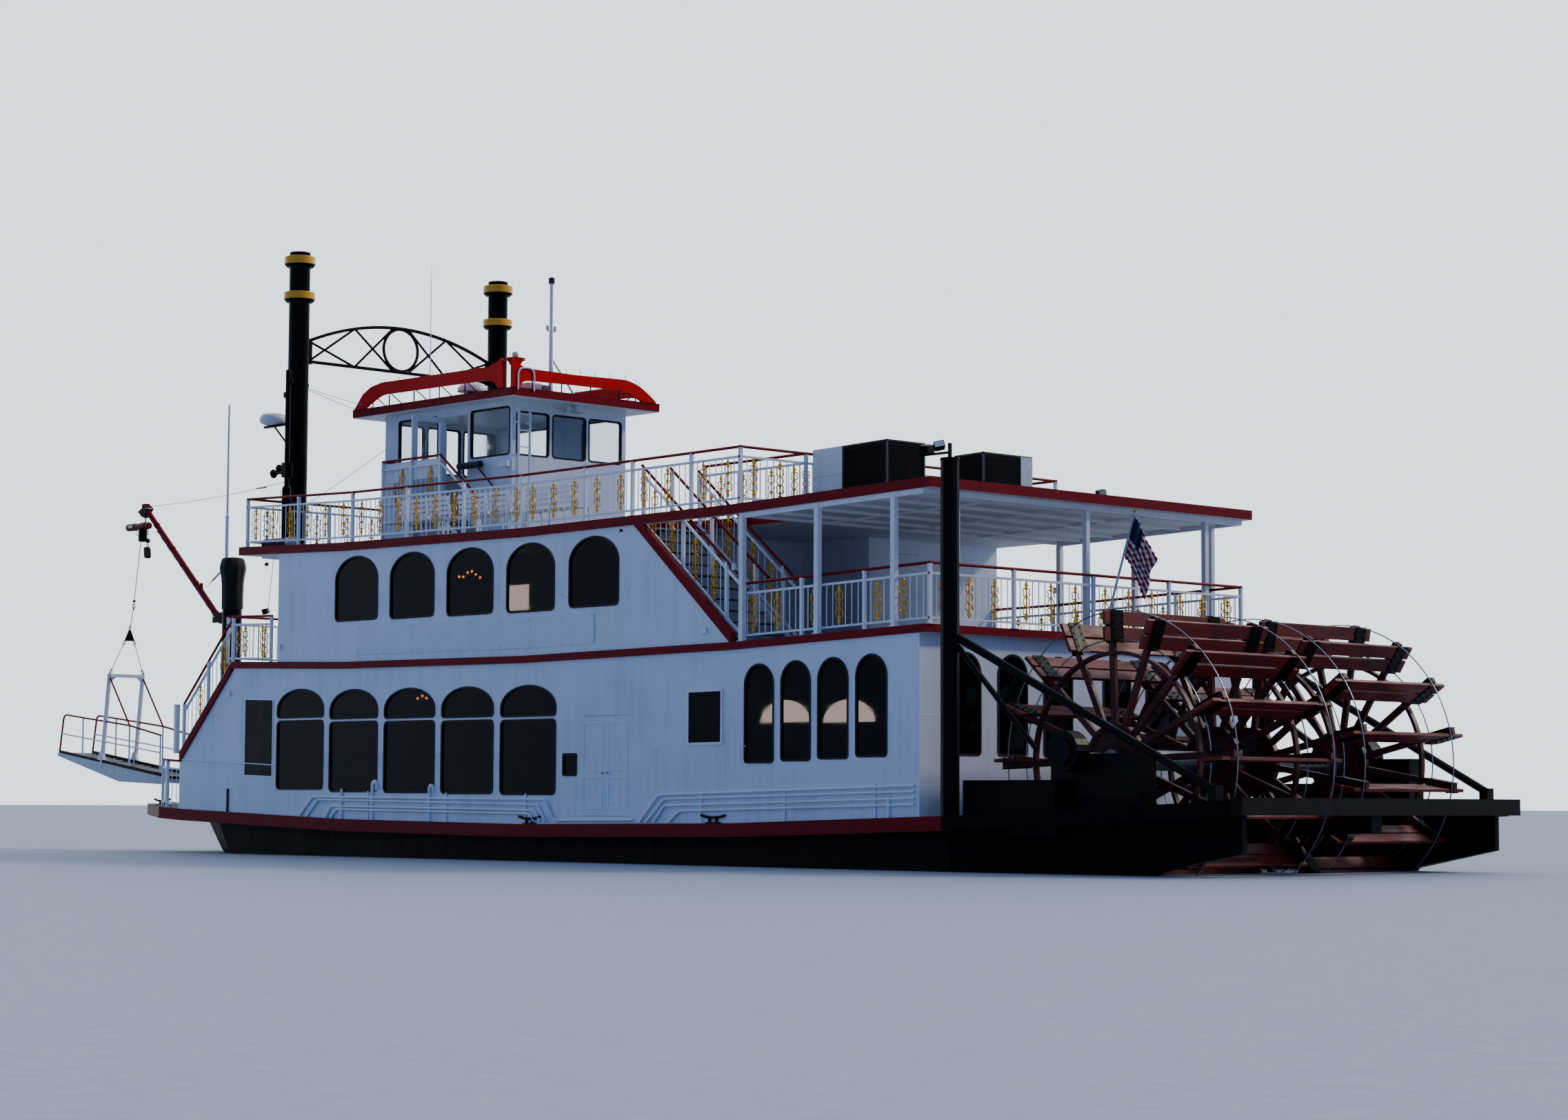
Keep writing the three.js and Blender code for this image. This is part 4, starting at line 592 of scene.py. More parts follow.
def eased(wide: float, high: float, ease: float) -> Points:
    """A rectangle about the origin with its corners cut off by ease."""
    w, h = wide / 2, high / 2
    corner = [(-w + ease, -h), (w - ease, -h), (w, -h + ease), (w, h - ease)]
    return np.array(corner + [(-a, -b) for a, b in corner])


def unit(vectors: Points) -> Points:
    """Each vector over its own length."""
    return vectors / np.maximum(np.linalg.norm(vectors, axis=-1, keepdims=True), 1e-12)


def sticks(starts: Points, ends: Points, section: Points, ref: Triple) -> Shape:
    """Carries a closed section straight from each start to its end, with flat ends.

    The section's first axis lies along start-to-end crossed with ref, its second square to both.

    Args:
        starts: One point for each stick.
        ends: One point for each stick.
        section: Outline of the section.
        ref: A direction that no stick runs along.

    Returns:
        All the sticks as one shape, with quads for the sides only.
    """
    starts, ends = np.atleast_2d(np.asarray(starts, float)), np.atleast_2d(np.asarray(ends, float))
    along = unit(ends - starts)
    side = unit(np.cross(along, np.asarray(ref, float)))
    up = np.cross(side, along)
    offset = section[None, :, 0, None] * side[:, None] + section[None, :, 1, None] * up[:, None]
    both = np.stack([starts[:, None] + offset, ends[:, None] + offset], axis=1)
    count = len(section)
    base = np.arange(len(starts))[:, None, None] * 2 * count
    sides = grid_faces(2, count, wrap_columns=True)[None] + base
    return both.reshape(-1, 3), sides.reshape(-1, 4)


def stick_ends(number: int, count: int) -> Faces:
    """The flat ends of sticks made by sticks(): number of them, each with count corners."""
    base = np.arange(number)[:, None] * 2 * count
    first = base + np.arange(count)[None, ::-1]
    last = base + count + np.arange(count)[None, :]
    return np.concatenate([first, last])


def sweep(path: Points, section: Points, ref: Triple, closed: bool = False) -> Shape:
    """Carries a closed section along a path.

    The frame at each point is the path's own slope, that slope crossed with ref, and the cross of
    the two, so a plane path keeps its section upright.

    Args:
        path: The points to follow.
        section: Outline of the section.
        ref: A direction that the path never runs along.
        closed: Whether the path is a loop.

    Returns:
        The swept skin, open at its ends.
    """
    path = np.asarray(path, float)
    if closed:
        slope = np.roll(path, -1, axis=0) - np.roll(path, 1, axis=0)
    else:
        slope = np.gradient(path, axis=0)
    along = unit(slope)
    side = unit(np.cross(along, np.asarray(ref, float)))
    up = np.cross(side, along)
    rings = path[:, None] + section[None, :, 0, None] * side[:, None] + section[None, :, 1, None] * up[:, None]
    return rings.reshape(-1, 3), grid_faces(len(path), len(section), wrap_rows=closed, wrap_columns=True)


def lathe(profile: Points, centre: Triple, axis: int, sides: int, loop: bool = False) -> Shape:
    """Turns a profile of [radius, height] pairs about an axis through centre.

    Args:
        profile: Radius and height along the axis, from one end to the other.
        centre: A point on the axis.
        axis: 0, 1 or 2 for X, Y or Z.
        sides: Number of steps round.
        loop: Whether the profile closes on itself, as for a ring.

    Returns:
        The turned skin, open at its two ends unless it is a loop.
    """
    profile = np.asarray(profile, float)
    ring = circle(1.0, sides)
    points = np.zeros((len(profile), sides, 3))
    points[..., (axis + 1) % 3] = profile[:, None, 0] * ring[None, :, 0]
    points[..., (axis + 2) % 3] = profile[:, None, 0] * ring[None, :, 1]
    points[..., axis] = profile[:, None, 1]
    return points.reshape(-1, 3) + np.asarray(centre), grid_faces(
        len(profile), sides, wrap_rows=loop, wrap_columns=True
    )


def rounded(corners: Points, radius: float, steps: int) -> Points:
    """A path whose inner corners are rounded.

    Each corner is replaced by a quadratic curve that starts and ends a radius away from it.

    Args:
        corners: The path's corners.
        radius: How far from a corner the curve starts.
        steps: Points on each curve.

    Returns:
        The rounded path.
    """
    before, at, after = corners[:-2], corners[1:-1], corners[2:]
    enter = at + unit(before - at) * np.minimum(radius, 0.45 * np.linalg.norm(before - at, axis=1))[:, None]
    leave = at + unit(after - at) * np.minimum(radius, 0.45 * np.linalg.norm(after - at, axis=1))[:, None]
    t = np.linspace(0, 1, steps)[None, :, None]
    curve = (1 - t) ** 2 * enter[:, None] + 2 * t * (1 - t) * at[:, None] + t**2 * leave[:, None]
    return np.concatenate([corners[:1], curve.reshape(-1, corners.shape[1]), corners[-1:]])


def repeat(shape: Shape, origins: Points, along: Points, up: Points, across: Points) -> Shape:
    """Copies a shape drawn on three axes to each origin, on axes of the copy's own.

    Args:
        shape: The shape to copy.
        origins: One point for each copy.
        along: Where its first axis goes, for each copy.
        up: Where its second axis goes.
        across: Where its third axis goes.

    Returns:
        All the copies as one shape.
    """
    points, faces = shape
    spread = (
        origins[:, None]
        + points[None, :, 0, None] * along[:, None]
        + points[None, :, 1, None] * up[:, None]
        + points[None, :, 2, None] * across[:, None]
    )
    base = np.arange(len(origins))[:, None, None] * len(points)
    return spread.reshape(-1, 3), (faces[None] + base).reshape(-1, faces.shape[1])


def window_outline(x0: float, x1: float, low: float, high: float, rise: float, corner: float) -> Points:
    """A window's outline: round corners, and a head that is an arch or has round corners too.

    Corners are quarter circles and the arch is half an ellipse, each worked out from its angle.

    Args:
        x0: Its aft edge.
        x1: Its forward edge.
        low: The sill.
        high: The crown.
        rise: Height of the arch, or 0 for a straight head.
        corner: Radius of the corners.

    Returns:
        The outline, anticlockwise from the lower aft corner, always of the same number of points.
    """
    def arc(cx: float, cz: float, rx: float, rz: float, start: float, end: float, steps: int) -> Points:
        """Points of an elliptic arc: the centre plus each radius times the cosine or sine of the angle."""
        turns = np.linspace(start, end, steps)
        return np.stack([cx + rx * np.cos(turns), cz + rz * np.sin(turns)], axis=1)

    half = np.pi / 2
    lower = [
        arc(x0 + corner, low + corner, corner, corner, 2 * half, 3 * half, 6),
        arc(x1 - corner, low + corner, corner, corner, -half, 0, 6),
    ]
    if rise:
        head = [arc((x0 + x1) / 2, high - rise, (x1 - x0) / 2, rise, 0, 2 * half, 24)]
    else:
        head = [
            arc(x1 - corner, high - corner, corner, corner, 0, half, 12),
            arc(x0 + corner, high - corner, corner, corner, half, 2 * half, 12),
        ]
    return np.concatenate(lower + head)


@dataclass
class Shell:
    """Shapes gathered into one piece, each with its own finish.

    Attributes:
        name: The piece's name.
        points: Arrays of points.
        faces: Pairs of a finish and its faces.
        count: Number of points so far.
    """

    name: str
    points: list[Points] = field(default_factory=list)
    faces: list[tuple[Finish, Faces]] = field(default_factory=list)
    count: int = 0

    def add(self, shape: Shape, finish: Finish, lift: bool = False, caps: Faces | None = None) -> None:
        """Adds a shape.

        Args:
            shape: Its points and faces.
            finish: Its finish.
            lift: Whether the sheer raises each point by its own x.
            caps: More faces on the same points, such as flat ends.
        """
        points = np.array(shape[0], float)
        if lift:
            points[:, 2] += sheer(points[:, 0])
        self.points.append(points)
        for faces in (shape[1], caps):
            if faces is not None and len(faces):
                self.faces.append((finish, np.asarray(faces) + self.count))
        self.count += len(points)

    def sticks(
        self,
        starts: Points,
        ends: Points,
        section: Points,
        finish: Finish,
        ref: Triple = (0, 0, 1),
        lift: bool = False,
    ) -> None:
        """Adds straight bars or rods with flat ends. The arguments are those of sticks() and add()."""
        shape = sticks(starts, ends, section, ref)
        number = len(shape[0]) // (2 * len(section))
        self.add(shape, finish, lift, stick_ends(number, len(section)))

    def tube(
        self,
        path: Points,
        section: Points,
        finish: Finish,
        ref: Triple = (0, 0, 1),
        lift: bool = False,
        closed: bool = False,
    ) -> None:
        """Adds a swept bar with flat ends. The arguments are those of sweep() and add()."""
        shape = sweep(path, section, ref, closed)
        self.add(shape, finish, lift, None if closed else self.end_caps(len(shape[0]), len(section)))

    def turned(
        self,
        profile: Points,
        centre: Triple,
        axis: int,
        finish: Finish,
        sides: int = 24,
        loop: bool = False,
        lift: bool = False,
    ) -> None:
        """Adds a turned shape with flat ends. The arguments are those of lathe() and add()."""
        shape = lathe(profile, centre, axis, sides, loop)
        self.add(shape, finish, lift, None if loop else self.end_caps(len(shape[0]), sides))

    def block(
        self,
        low: Triple,
        high: Triple,
        finish: Finish,
        lift: bool = False,
        ease: float = 0.0,
    ) -> None:
        """Adds a block between two corners, its upright edges cut off by ease."""
        (x0, y0, z0), (x1, y1, z1) = low, high
        middle = ((x0 + x1) / 2, (y0 + y1) / 2)
        section = eased(x1 - x0, y1 - y0, ease) if ease else oblong(x1 - x0, y1 - y0)
        self.prism(section + np.array(middle), Plane.PLAN, z0, z1, finish, lift)

    def prism(
        self, outline: Points, plane: Plane, low: float, high: float, finish: Finish, lift: bool = False
    ) -> None:
        """Carries a flat outline from low to high on the plane's third axis, with flat ends."""
        outline = np.asarray(outline, float)
        count = len(outline)
        points = np.concatenate([place(plane, outline, low), place(plane, outline, high)])
        self.add((points, grid_faces(2, count, wrap_columns=True)), finish, lift, stick_ends(1, count))

    def frame(
        self,
        inner: Points,
        outer: Points,
        plane: Plane,
        low: float,
        high: float,
        finish: Finish,
        lift: bool = False,
    ) -> None:
        """Adds a flat frame between two outlines of the same number of points, from low to high."""
        rings = np.concatenate(
            [
                place(plane, inner, low),
                place(plane, outer, low),
                place(plane, outer, high),
                place(plane, inner, high),
            ]
        )
        self.add((rings, grid_faces(4, len(inner), wrap_rows=True, wrap_columns=True)), finish, lift)

    @staticmethod
    def end_caps(points: int, sides: int) -> Faces:
        """The two flat ends of a swept or turned skin."""
        return np.array([np.arange(sides)[::-1], np.arange(points - sides, points)])

    def piece(
        self, body: str, replaces: tuple[str, ...] = (), turn_out: bool = True, smooth: float = 35.0
    ) -> bpy.types.Object:
        """Makes the Blender object, with its finishes and its body.

        Args:
            body: The body that it rides on, or nothing for a piece that rides on none.
            replaces: Nodes that it stands for.
            turn_out: Whether the faces of each closed shell are turned outwards.
            smooth: Edges under this angle in degrees are shaded round.

        Returns:
            The object.
        """
        mesh = bpy.data.meshes.new(self.name)
        faces = [row for _, group in self.faces for row in group.tolist()]
        mesh.from_pydata(np.concatenate(self.points).tolist(), [], faces)
        finishes = list(dict.fromkeys(finish for finish, _ in self.faces))
        for finish in finishes:
            mesh.materials.append(finish.material())
        slots = np.concatenate([np.full(len(group), finishes.index(finish)) for finish, group in self.faces])
        mesh.polygons.foreach_set("material_index", slots.astype(np.int32))
        if turn_out:
            turned = bmesh.new()
            turned.from_mesh(mesh)
            bmesh.ops.recalc_face_normals(turned, faces=turned.faces)
            turned.to_mesh(mesh)
            turned.free()
        mesh.shade_smooth()
        mesh.set_sharp_from_angle(angle=math.radians(smooth))
        mesh.update()
        made = bpy.data.objects.new(self.name, mesh)
        bpy.context.scene.collection.objects.link(made)
        if body:
            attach(made, body)
        if replaces:
            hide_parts(*replaces)
        log.info("%s: %d faces on %s", self.name, len(mesh.polygons), body or "two bodies")
        return made


# RAILINGS


def level_stops(start: Pair, end: Pair, bays: int, deck: float) -> Points:
    """Feet of the posts of a straight run on a deck: equal steps from start to end, lifted by the sheer.

    Args:
        start: First post, X and Y.
        end: Last post.
        bays: Number of bays between them.
        deck: The deck's height amidships.

    Returns:
        One point for each post.
    """
    share = np.linspace(0, 1, bays + 1)[:, None]
    flat = np.asarray(start) * (1 - share) + np.asarray(end) * share
    return np.column_stack([flat, deck + sheer(flat[:, 0])])


def stops_at(marks: tuple[float, ...], y: float, deck: float) -> Points:
    """Feet of the posts of a run along the boat, one at each mark in x, lifted by the sheer."""
    x = np.array(marks)
    return np.column_stack([x, np.full(len(x), y), deck + sheer(x)])


def sloped_stops(start: Triple, end: Triple, bays: int) -> Points:
    """Feet of the posts of a run down a stair: equal steps from start to end."""
    share = np.linspace(0, 1, bays + 1)[:, None]
    return np.asarray(start) * (1 - share) + np.asarray(end) * share


@dataclass
class Railing:
    """A welded railing: square posts, two white rails, round balusters, gilded castings and a red handrail.

    Attributes:
        name: Start of its pieces' names.
        runs: For each straight run, the feet of its posts.
        replaces: Nodes that the white frame stands for.
        body: The body that it rides on.
        pitch: Distance between balusters.
        plain: Runs without gilded castings, by number.
        reach: How far the bars go past the first and the last post of a run.
        sink: How far the posts go below the run's own line.
        footed: Whether each post has a foot plate.
        barred: Whether there are white bars and balusters under the handrail.
    """

    name: str
    runs: list[Points]
    replaces: tuple[str, ...] = ()
    body: str = "boat"
    pitch: float = 0.163
    plain: tuple[int, ...] = ()
    reach: Pair = (0.030, 0.030)
    sink: float = 0.0
    footed: bool = True
    barred: bool = True
    post: float = 0.060
    low: float = 0.110
    white: float = 0.870
    hand: float = 1.050
    hand_r: float = 0.027
    baluster_r: float = 0.0085
    each: int = 4

    def build(self) -> None:
        """Makes the white frame, the gilded castings and the handrail."""
        frame = Shell(f"{self.name}_frame")
        gilt = Shell(f"{self.name}_castings")
        hand = Shell(f"{self.name}_handrail")
        stood = np.zeros((0, 3))
        for number, stops in enumerate(self.runs):
            shared = np.linalg.norm(stops[:, None] - stood[None], axis=2) < 0.01
            self.posts(frame, stops[~shared.any(axis=1)], unit(stops[-1:] - stops[:1])[0] * (1, 1, 0))
            stood = np.concatenate([stood, stops])
            self.rails(frame, hand, stops)
            if self.barred:
                self.infill(frame, gilt, stops, number not in self.plain)
        frame.piece(self.body, self.replaces)
        if gilt.points:
            gilt.piece(self.body)
        hand.piece(self.body)

    def posts(self, frame: Shell, stops: Points, run: Points) -> None:
        """Square posts with a foot plate and a domed collar under the handrail."""
        up = np.array([0, 0, 1.0])
        side = tuple(run)
        foot, bar = stops + up * (DECK_SEAT - self.sink), oblong(self.post, self.post)
        frame.sticks(foot, stops + up * (self.hand - 0.015), bar, TRIM_WHITE, side)
        if self.footed:
            frame.sticks(foot, foot + up * 0.012, eased(0.13, 0.13, 0.02), TRIM_WHITE, side)
        head = oblong(self.post + 0.012, self.post + 0.012)
        frame.sticks(stops + up * (self.hand - 0.040), stops + up * (self.hand - 0.022), head, TRIM_WHITE, side)

    def rails(self, frame: Shell, hand: Shell, stops: Points) -> None:
        """The low rail, the white rail and the round handrail, bay by bay."""
        up = np.array([0, 0, 1.0])
        past = unit(stops[-1] - stops[0])
        line = np.concatenate([[stops[0] - past * self.reach[0]], stops[1:-1], [stops[-1] + past * self.reach[1]]])
        for height, deep in ((self.low, 0.036), (self.white, 0.040)) if self.barred else ():
            rail = line + up * height
            frame.sticks(rail[:-1], rail[1:], oblong(0.044, deep), TRIM_WHITE)
        hand.tube(line + up * self.hand, circle(self.hand_r, 12), RAIL_RED)

    def infill(self, frame: Shell, gilt: Shell, stops: Points, gilded: bool) -> None:
        """Balusters at equal steps in each bay, with a casting in place of every fourth."""
        up = np.array([0, 0, 1.0])
        bottom, top = up * (self.low + 0.01), up * (self.white - 0.01)
        for a, b in zip(stops[:-1], stops[1:]):
            spaces = max(2, round(float(np.linalg.norm((b - a)[:2])) / self.pitch))
            share = np.arange(1, spaces)[:, None] / spaces
            feet = a * (1 - share) + b * share
            cast = (np.arange(1, spaces) % self.each == 2) & gilded
            round_bar = circle(self.baluster_r, 6)
            if (~cast).any():
                frame.sticks(feet[~cast] + bottom, feet[~cast] + top, round_bar, TRIM_WHITE, (0.6, 0.8, 0))
            if cast.any():
                along = np.tile(unit((b - a)[None] * (1, 1, 0)), (int(cast.sum()), 1))
                self.castings(gilt, feet[cast], along)

    def castings(self, gilt: Shell, feet: Points, along: Points) -> None:
        """Copies the casting to each foot: its first axis along the rail, its second up."""
        up = np.tile((0, 0, 1.0), (len(feet), 1))
        across = np.cross(along, up)
        for shape, caps in casting(self.low + 0.015, self.white - 0.015):
            made = repeat(shape, feet, along, up, across)
            ends = None
            if caps is not None:
                base = np.arange(len(feet))[:, None, None] * len(shape[0])
                ends = (caps[None] + base).reshape(-1, caps.shape[1])
            gilt.add(made, GILT, False, ends)


def casting(low: float, high: float) -> list[tuple[Shape, Faces | None]]:
    """One gilded casting in its own plane: a spindle, a leaf at each end, C-scrolls and a ring.

    A scroll is a spiral: its radius falls evenly while it makes three quarters of a turn.

    Args:
        low: Height of its foot.
        high: Height of its head.

    Returns:
        Its shapes, each with its flat ends if it has any. Axes are along, up and across.
    """
    tall = high - low
    made: list[tuple[Shape, Faces | None]] = []
    spindle = sticks([(0, low, 0)], [(0, high, 0)], circle(0.013, 4), (1, 0, 0))
    made.append((spindle, None))
    section = circle(0.0115, 3)
    turns = np.linspace(0, 0.744 * 2 * np.pi, 8)
    radius = np.linspace(0.056, 0.018, 8)
    for height, flip in ((0.79, 1), (0.66, -1), (0.35, 1), (0.22, -1)):
        for hand in (1, -1):
            spiral = np.stack(
                [
                    hand * (0.058 - radius * np.cos(turns)),
                    low + tall * height + flip * (radius * np.sin(turns) - 0.02),
                    0 * turns,
                ],
                axis=1,
            )
            made.append((sweep(spiral, section, (0, 0, 1)), None))
    around = circle(0.080, 12)
    ring = np.column_stack([around[:, 0], around[:, 1] + low + tall * 0.5, 0 * around[:, 0]])
    made.append((sweep(ring, section, (0, 0, 1), closed=True), None))
    leaf = np.array([(0, 0.0), (0.020, 0.045), (0.048, 0.075), (0.018, 0.098), (0.026, 0.150), (0, 0.175)])
    outline = np.concatenate([leaf, leaf[-2:0:-1] * (-1, 1)])
    for base, sign in ((high, -1), (low, 1)):
        flat = outline * (1, sign) + (0, base)
        count = len(flat)
        shape = (
            np.concatenate([place(Plane.PLAN, flat, -0.009), place(Plane.PLAN, flat, 0.009)]),
            grid_faces(2, count, wrap_columns=True),
        )
        made.append((shape, stick_ends(1, count)))
    return made


@dataclass
class Railings:
    """Every railing of the boat, deck by deck."""

    rail_y: float = 4.300
    aft_y: float = 4.235
    third_posts: tuple[float, ...] = (10.680, 8.760, 6.800, 4.900, 3.020, 1.150, -0.770, -2.150, -3.810, -5.140)
    well: Triple = (-5.140, -2.350, 2.650)
    stair_foot: Pair = (13.060, 2.956)
    stair_head: Pair = (11.165, 4.857)

    def build(self) -> None:
        """Makes them from the third deck down to the bow."""
        fore, aft = self.third_posts[0], self.third_posts[-1]
        y = self.rail_y
        well_aft, well_fore, well_y = self.well
        third = [
            level_stops((fore, -y), (fore, y), 4, THIRD_TOP),
            stops_at(self.third_posts, y, THIRD_TOP),
            level_stops((aft, y), (aft, -y), 4, THIRD_TOP),
            stops_at(self.third_posts, -y, THIRD_TOP),
            level_stops((well_aft, well_y), (well_fore, well_y), 2, THIRD_TOP),
        ]
        Railing("third_rail", third, ("third_rail",)).build()
        second_aft = [
            level_stops((-5.120, self.aft_y), (-9.838, self.aft_y), 3, SECOND_TOP),
            level_stops((-9.838, self.aft_y), (-9.838, -self.aft_y), 4, SECOND_TOP),
            level_stops((-9.838, -self.aft_y), (-3.560, -self.aft_y), 4, SECOND_TOP),
        ]
        Railing("second_aft_rail", second_aft, ("second_aft_rail",)).build()
        second_fore = [
            level_stops((11.200, 3.290), (12.900, 3.290), 1, SECOND_TOP),
            level_stops((12.900, 3.290), (12.900, -3.290), 4, SECOND_TOP),
            level_stops((12.900, -3.290), (11.200, -3.290), 1, SECOND_TOP),
        ]
        Railing("second_fore_rail", second_fore, ("second_fore_rail",)).build()
        bow = [
            level_stops((14.950, 1.800), (14.950, -3.750), 3, MAIN_TOP),
            level_stops((14.950, -3.750), (13.800, -4.230), 1, MAIN_TOP),
            level_stops((13.800, -4.230), (13.250, -4.230), 1, MAIN_TOP),
        ]
        Railing("bow_rail", bow, ("bow_rail",)).build()
        gate = [
            level_stops((13.250, 4.230), (13.800, 4.230), 1, MAIN_TOP),
            level_stops((13.800, 4.230), (14.350, 4.000), 1, MAIN_TOP),
        ]
        Railing("bow_gate", gate, ("bow_gate",), plain=(0, 1)).build()
        self.stairs()

    def stairs(self) -> None:
        """The rails down the forward stairs."""
        (foot_x, foot_z), (head_x, head_z) = self.stair_foot, self.stair_head
        for side, sign in SIDES:
            y = sign * self.rail_y
            outer = sloped_stops(
                (head_x, y, head_z + sheer(head_x)), (foot_x, y, foot_z + sheer(foot_x)), 2
            )
            Railing(f"stair_rail_{side}", [outer], ()).build()


@dataclass
class Stringer:
    """The red plate on the slanted edge of the side wall, which closes the forward stair's outer side."""

    foot: Pair = (13.100, 2.921)
    head: Pair = (11.130, 4.897)
    deep: float = 0.150

    def build(self) -> None:
        """Carries the band's outline across the wall."""
        for side, sign in SIDES:
            plate = Shell(f"stair_stringer_{side}")
            (x0, z0), (x1, z1) = self.foot, self.head
            slope = (z1 - z0) / (x1 - x0)
            drop = self.deep * math.hypot(1, slope)
            band = np.array([(x0, z0 - drop), (x0, z0), (x1, z1), (x1, z1 - drop)])
            inner, outer = sorted((sign * WALL_IN, sign * (HALF_BEAM - 0.004)))
            plate.prism(band, Plane.SIDE, inner, outer, MAROON, lift=True)
            plate.piece("boat", (f"stair_rail_{side}",))


# WINDOWS


@dataclass
class Window:
    """One window of a side wall: a tinted pane in a black gasket.

    Attributes:
        x0: Aft edge of the opening.
        x1: Forward edge.
        low: Sill, before the sheer.
        high: Crown, before the sheer.
        rise: Height of the arch, or 0.
        corner: Radius of the corners.
    """

    x0: float
    x1: float
    low: float
    high: float
    rise: float = 0.0
    corner: float = 0.09

    def outline(self, grow: float) -> Points:
        """The opening's outline, grown on all sides, at its place on the sheer."""
        lift = float(sheer((self.x0 + self.x1) / 2))
        rise = self.rise + grow if self.rise else 0.0
        flat = window_outline(
            self.x0 - grow, self.x1 + grow, self.low - grow, self.high + grow, rise, self.corner + grow
        )
        return flat + (0, lift)


@dataclass
class SideWindows:
    """The windows of both side walls on both house decks, with the grab handles beside them."""

    saloon: tuple[Pair, ...] = (
        (7.670, 9.355),
        (5.760, 7.425),
        (3.830, 5.515),
        (1.935, 3.590),
        (0.005, 1.690),
    )
    aft: tuple[Pair, ...] = (
        (-6.087, -5.346),
        (-7.031, -6.298),
        (-7.971, -7.238),
        (-8.919, -8.184),
    )
    second: tuple[Pair, ...] = (
        (5.820, 7.290),
        (3.905, 5.370),
        (1.990, 3.460),
        (0.085, 1.540),
        (-1.820, -0.375),
    )
    # Each kind of window is [sill, crown, height of its arch, radius of its corners].
    pane: Four = (2.250, 3.680, 0.0, 0.10)
    fan: Four = (3.765, 4.345, 0.420, 0.07)
    narrow: Four = (2.740, 4.485, 0.370, 0.06)
    upper: Four = (5.800, 7.115, 0.480, 0.11)
    gasket: float = 0.022
    pane_y: Pair = (4.316, 4.328)
    lip_y: Pair = (4.306, 4.362)

    def windows(self) -> list[Window]:
        """The table of windows: tall panes below fan lights, then the narrow ones, then the second deck's."""
        kinds = ((self.saloon, self.pane), (self.saloon, self.fan), (self.aft, self.narrow), (self.second, self.upper))
        made = [Window(x0, x1, *kind) for spans, kind in kinds for x0, x1 in spans]
        return made + [Window(-0.627, -0.237, 2.600, 2.995, 0.0, 0.03)]

    def build(self) -> None:
        """Makes the panes, the gaskets and the handles of each side."""
        for side, sign in SIDES:
            glass = Shell(f"side_glass_{side}")
            rubber = Shell(f"side_gaskets_{side}")
            for window in self.windows():
                low, high = sorted(sign * y for y in self.pane_y)
                glass.prism(window.outline(0.004), Plane.SIDE, low, high, GLASS)
                low, high = sorted(sign * y for y in self.lip_y)
                rubber.frame(window.outline(-0.016), window.outline(self.gasket), Plane.SIDE, low, high, RUBBER)
            glass.piece("boat")
            rubber.piece("boat")
            self.handles(side, sign)

    def handles(self, side: str, sign: int) -> None:
        """Grab handles: a bent rod whose grip stands 40 mm off the wall, forward of each window."""
        rods = Shell(f"grab_handles_{side}")
        places = [(x1 + 0.33, 6.06, 6.35) for _, x1 in self.second] + [(-2.05, 6.03, 6.32)]
        places += [(x1 + 0.125, 2.74, 3.04) for _, x1 in self.saloon[1:]] + [(-2.88, 2.74, 3.04), (-5.28, 2.74, 3.04)]
        for x, low, high in places:
            wall, grip = sign * WALL_OUT, sign * (WALL_OUT + 0.040)
            corners = [
                (x - 0.10, wall, high),
                (x - 0.02, grip, high),
                (x, grip, high - 0.03),
                (x, grip, low + 0.03),
                (x - 0.02, grip, low),
                (x - 0.10, wall, low),
            ]
            rods.tube(np.array(corners), circle(0.0075, 6), TRIM_WHITE, (0.3, 1, 0.1), lift=True)
        rods.piece("boat")


@dataclass
class CrossWindows:
    """Windows in the three bulkheads that run across the boat.

    Attributes:
        main_front: X of the middle of the main deck's front wall.
        second_front: X of the middle of the second deck's front wall.
        main_aft: X of the middle of the main deck's aft wall.
    """

    main_front: float = 9.430
    second_front: float = 9.370
    main_aft: float = -9.670

    def build(self) -> None:
        """Makes the panes and gaskets of the three bulkheads."""
        glass = Shell("bulkhead_glass")
        rubber = Shell("bulkhead_gaskets")
        table = [(self.main_front, 2.30 * s, 1.2, 2.600, 3.700, 0.0) for s in (1, -1)]
        table += [(self.second_front, 2.40 * s, 1.3, 5.800, 6.950, 0.0) for s in (1, -1)]
        table += [(self.main_aft, y, 0.74, 2.740, 4.485, 0.370) for y in (3.2, 2.0, 0.8, -0.8, -2.0, -3.2)]
        for x, y, wide, low, high, rise in table:
            lift = float(sheer(x + (0.03 if x > 0 else -0.03)))

            def outline(grow: float) -> Points:
                """The opening's outline, grown by a margin."""
                flat = window_outline(
                    y - wide / 2 - grow,
                    y + wide / 2 + grow,
                    low - grow,
                    high + grow,
                    rise + grow if rise else 0.0,
                    0.06 + grow,
                )
                return flat + (0, lift)

            glass.prism(outline(0.004), Plane.CROSS, x - 0.006, x + 0.006, GLASS)
            rubber.frame(outline(-0.016), outline(0.022), Plane.CROSS, x - 0.042, x + 0.042, RUBBER)
        glass.piece("boat")
        rubber.piece("boat")


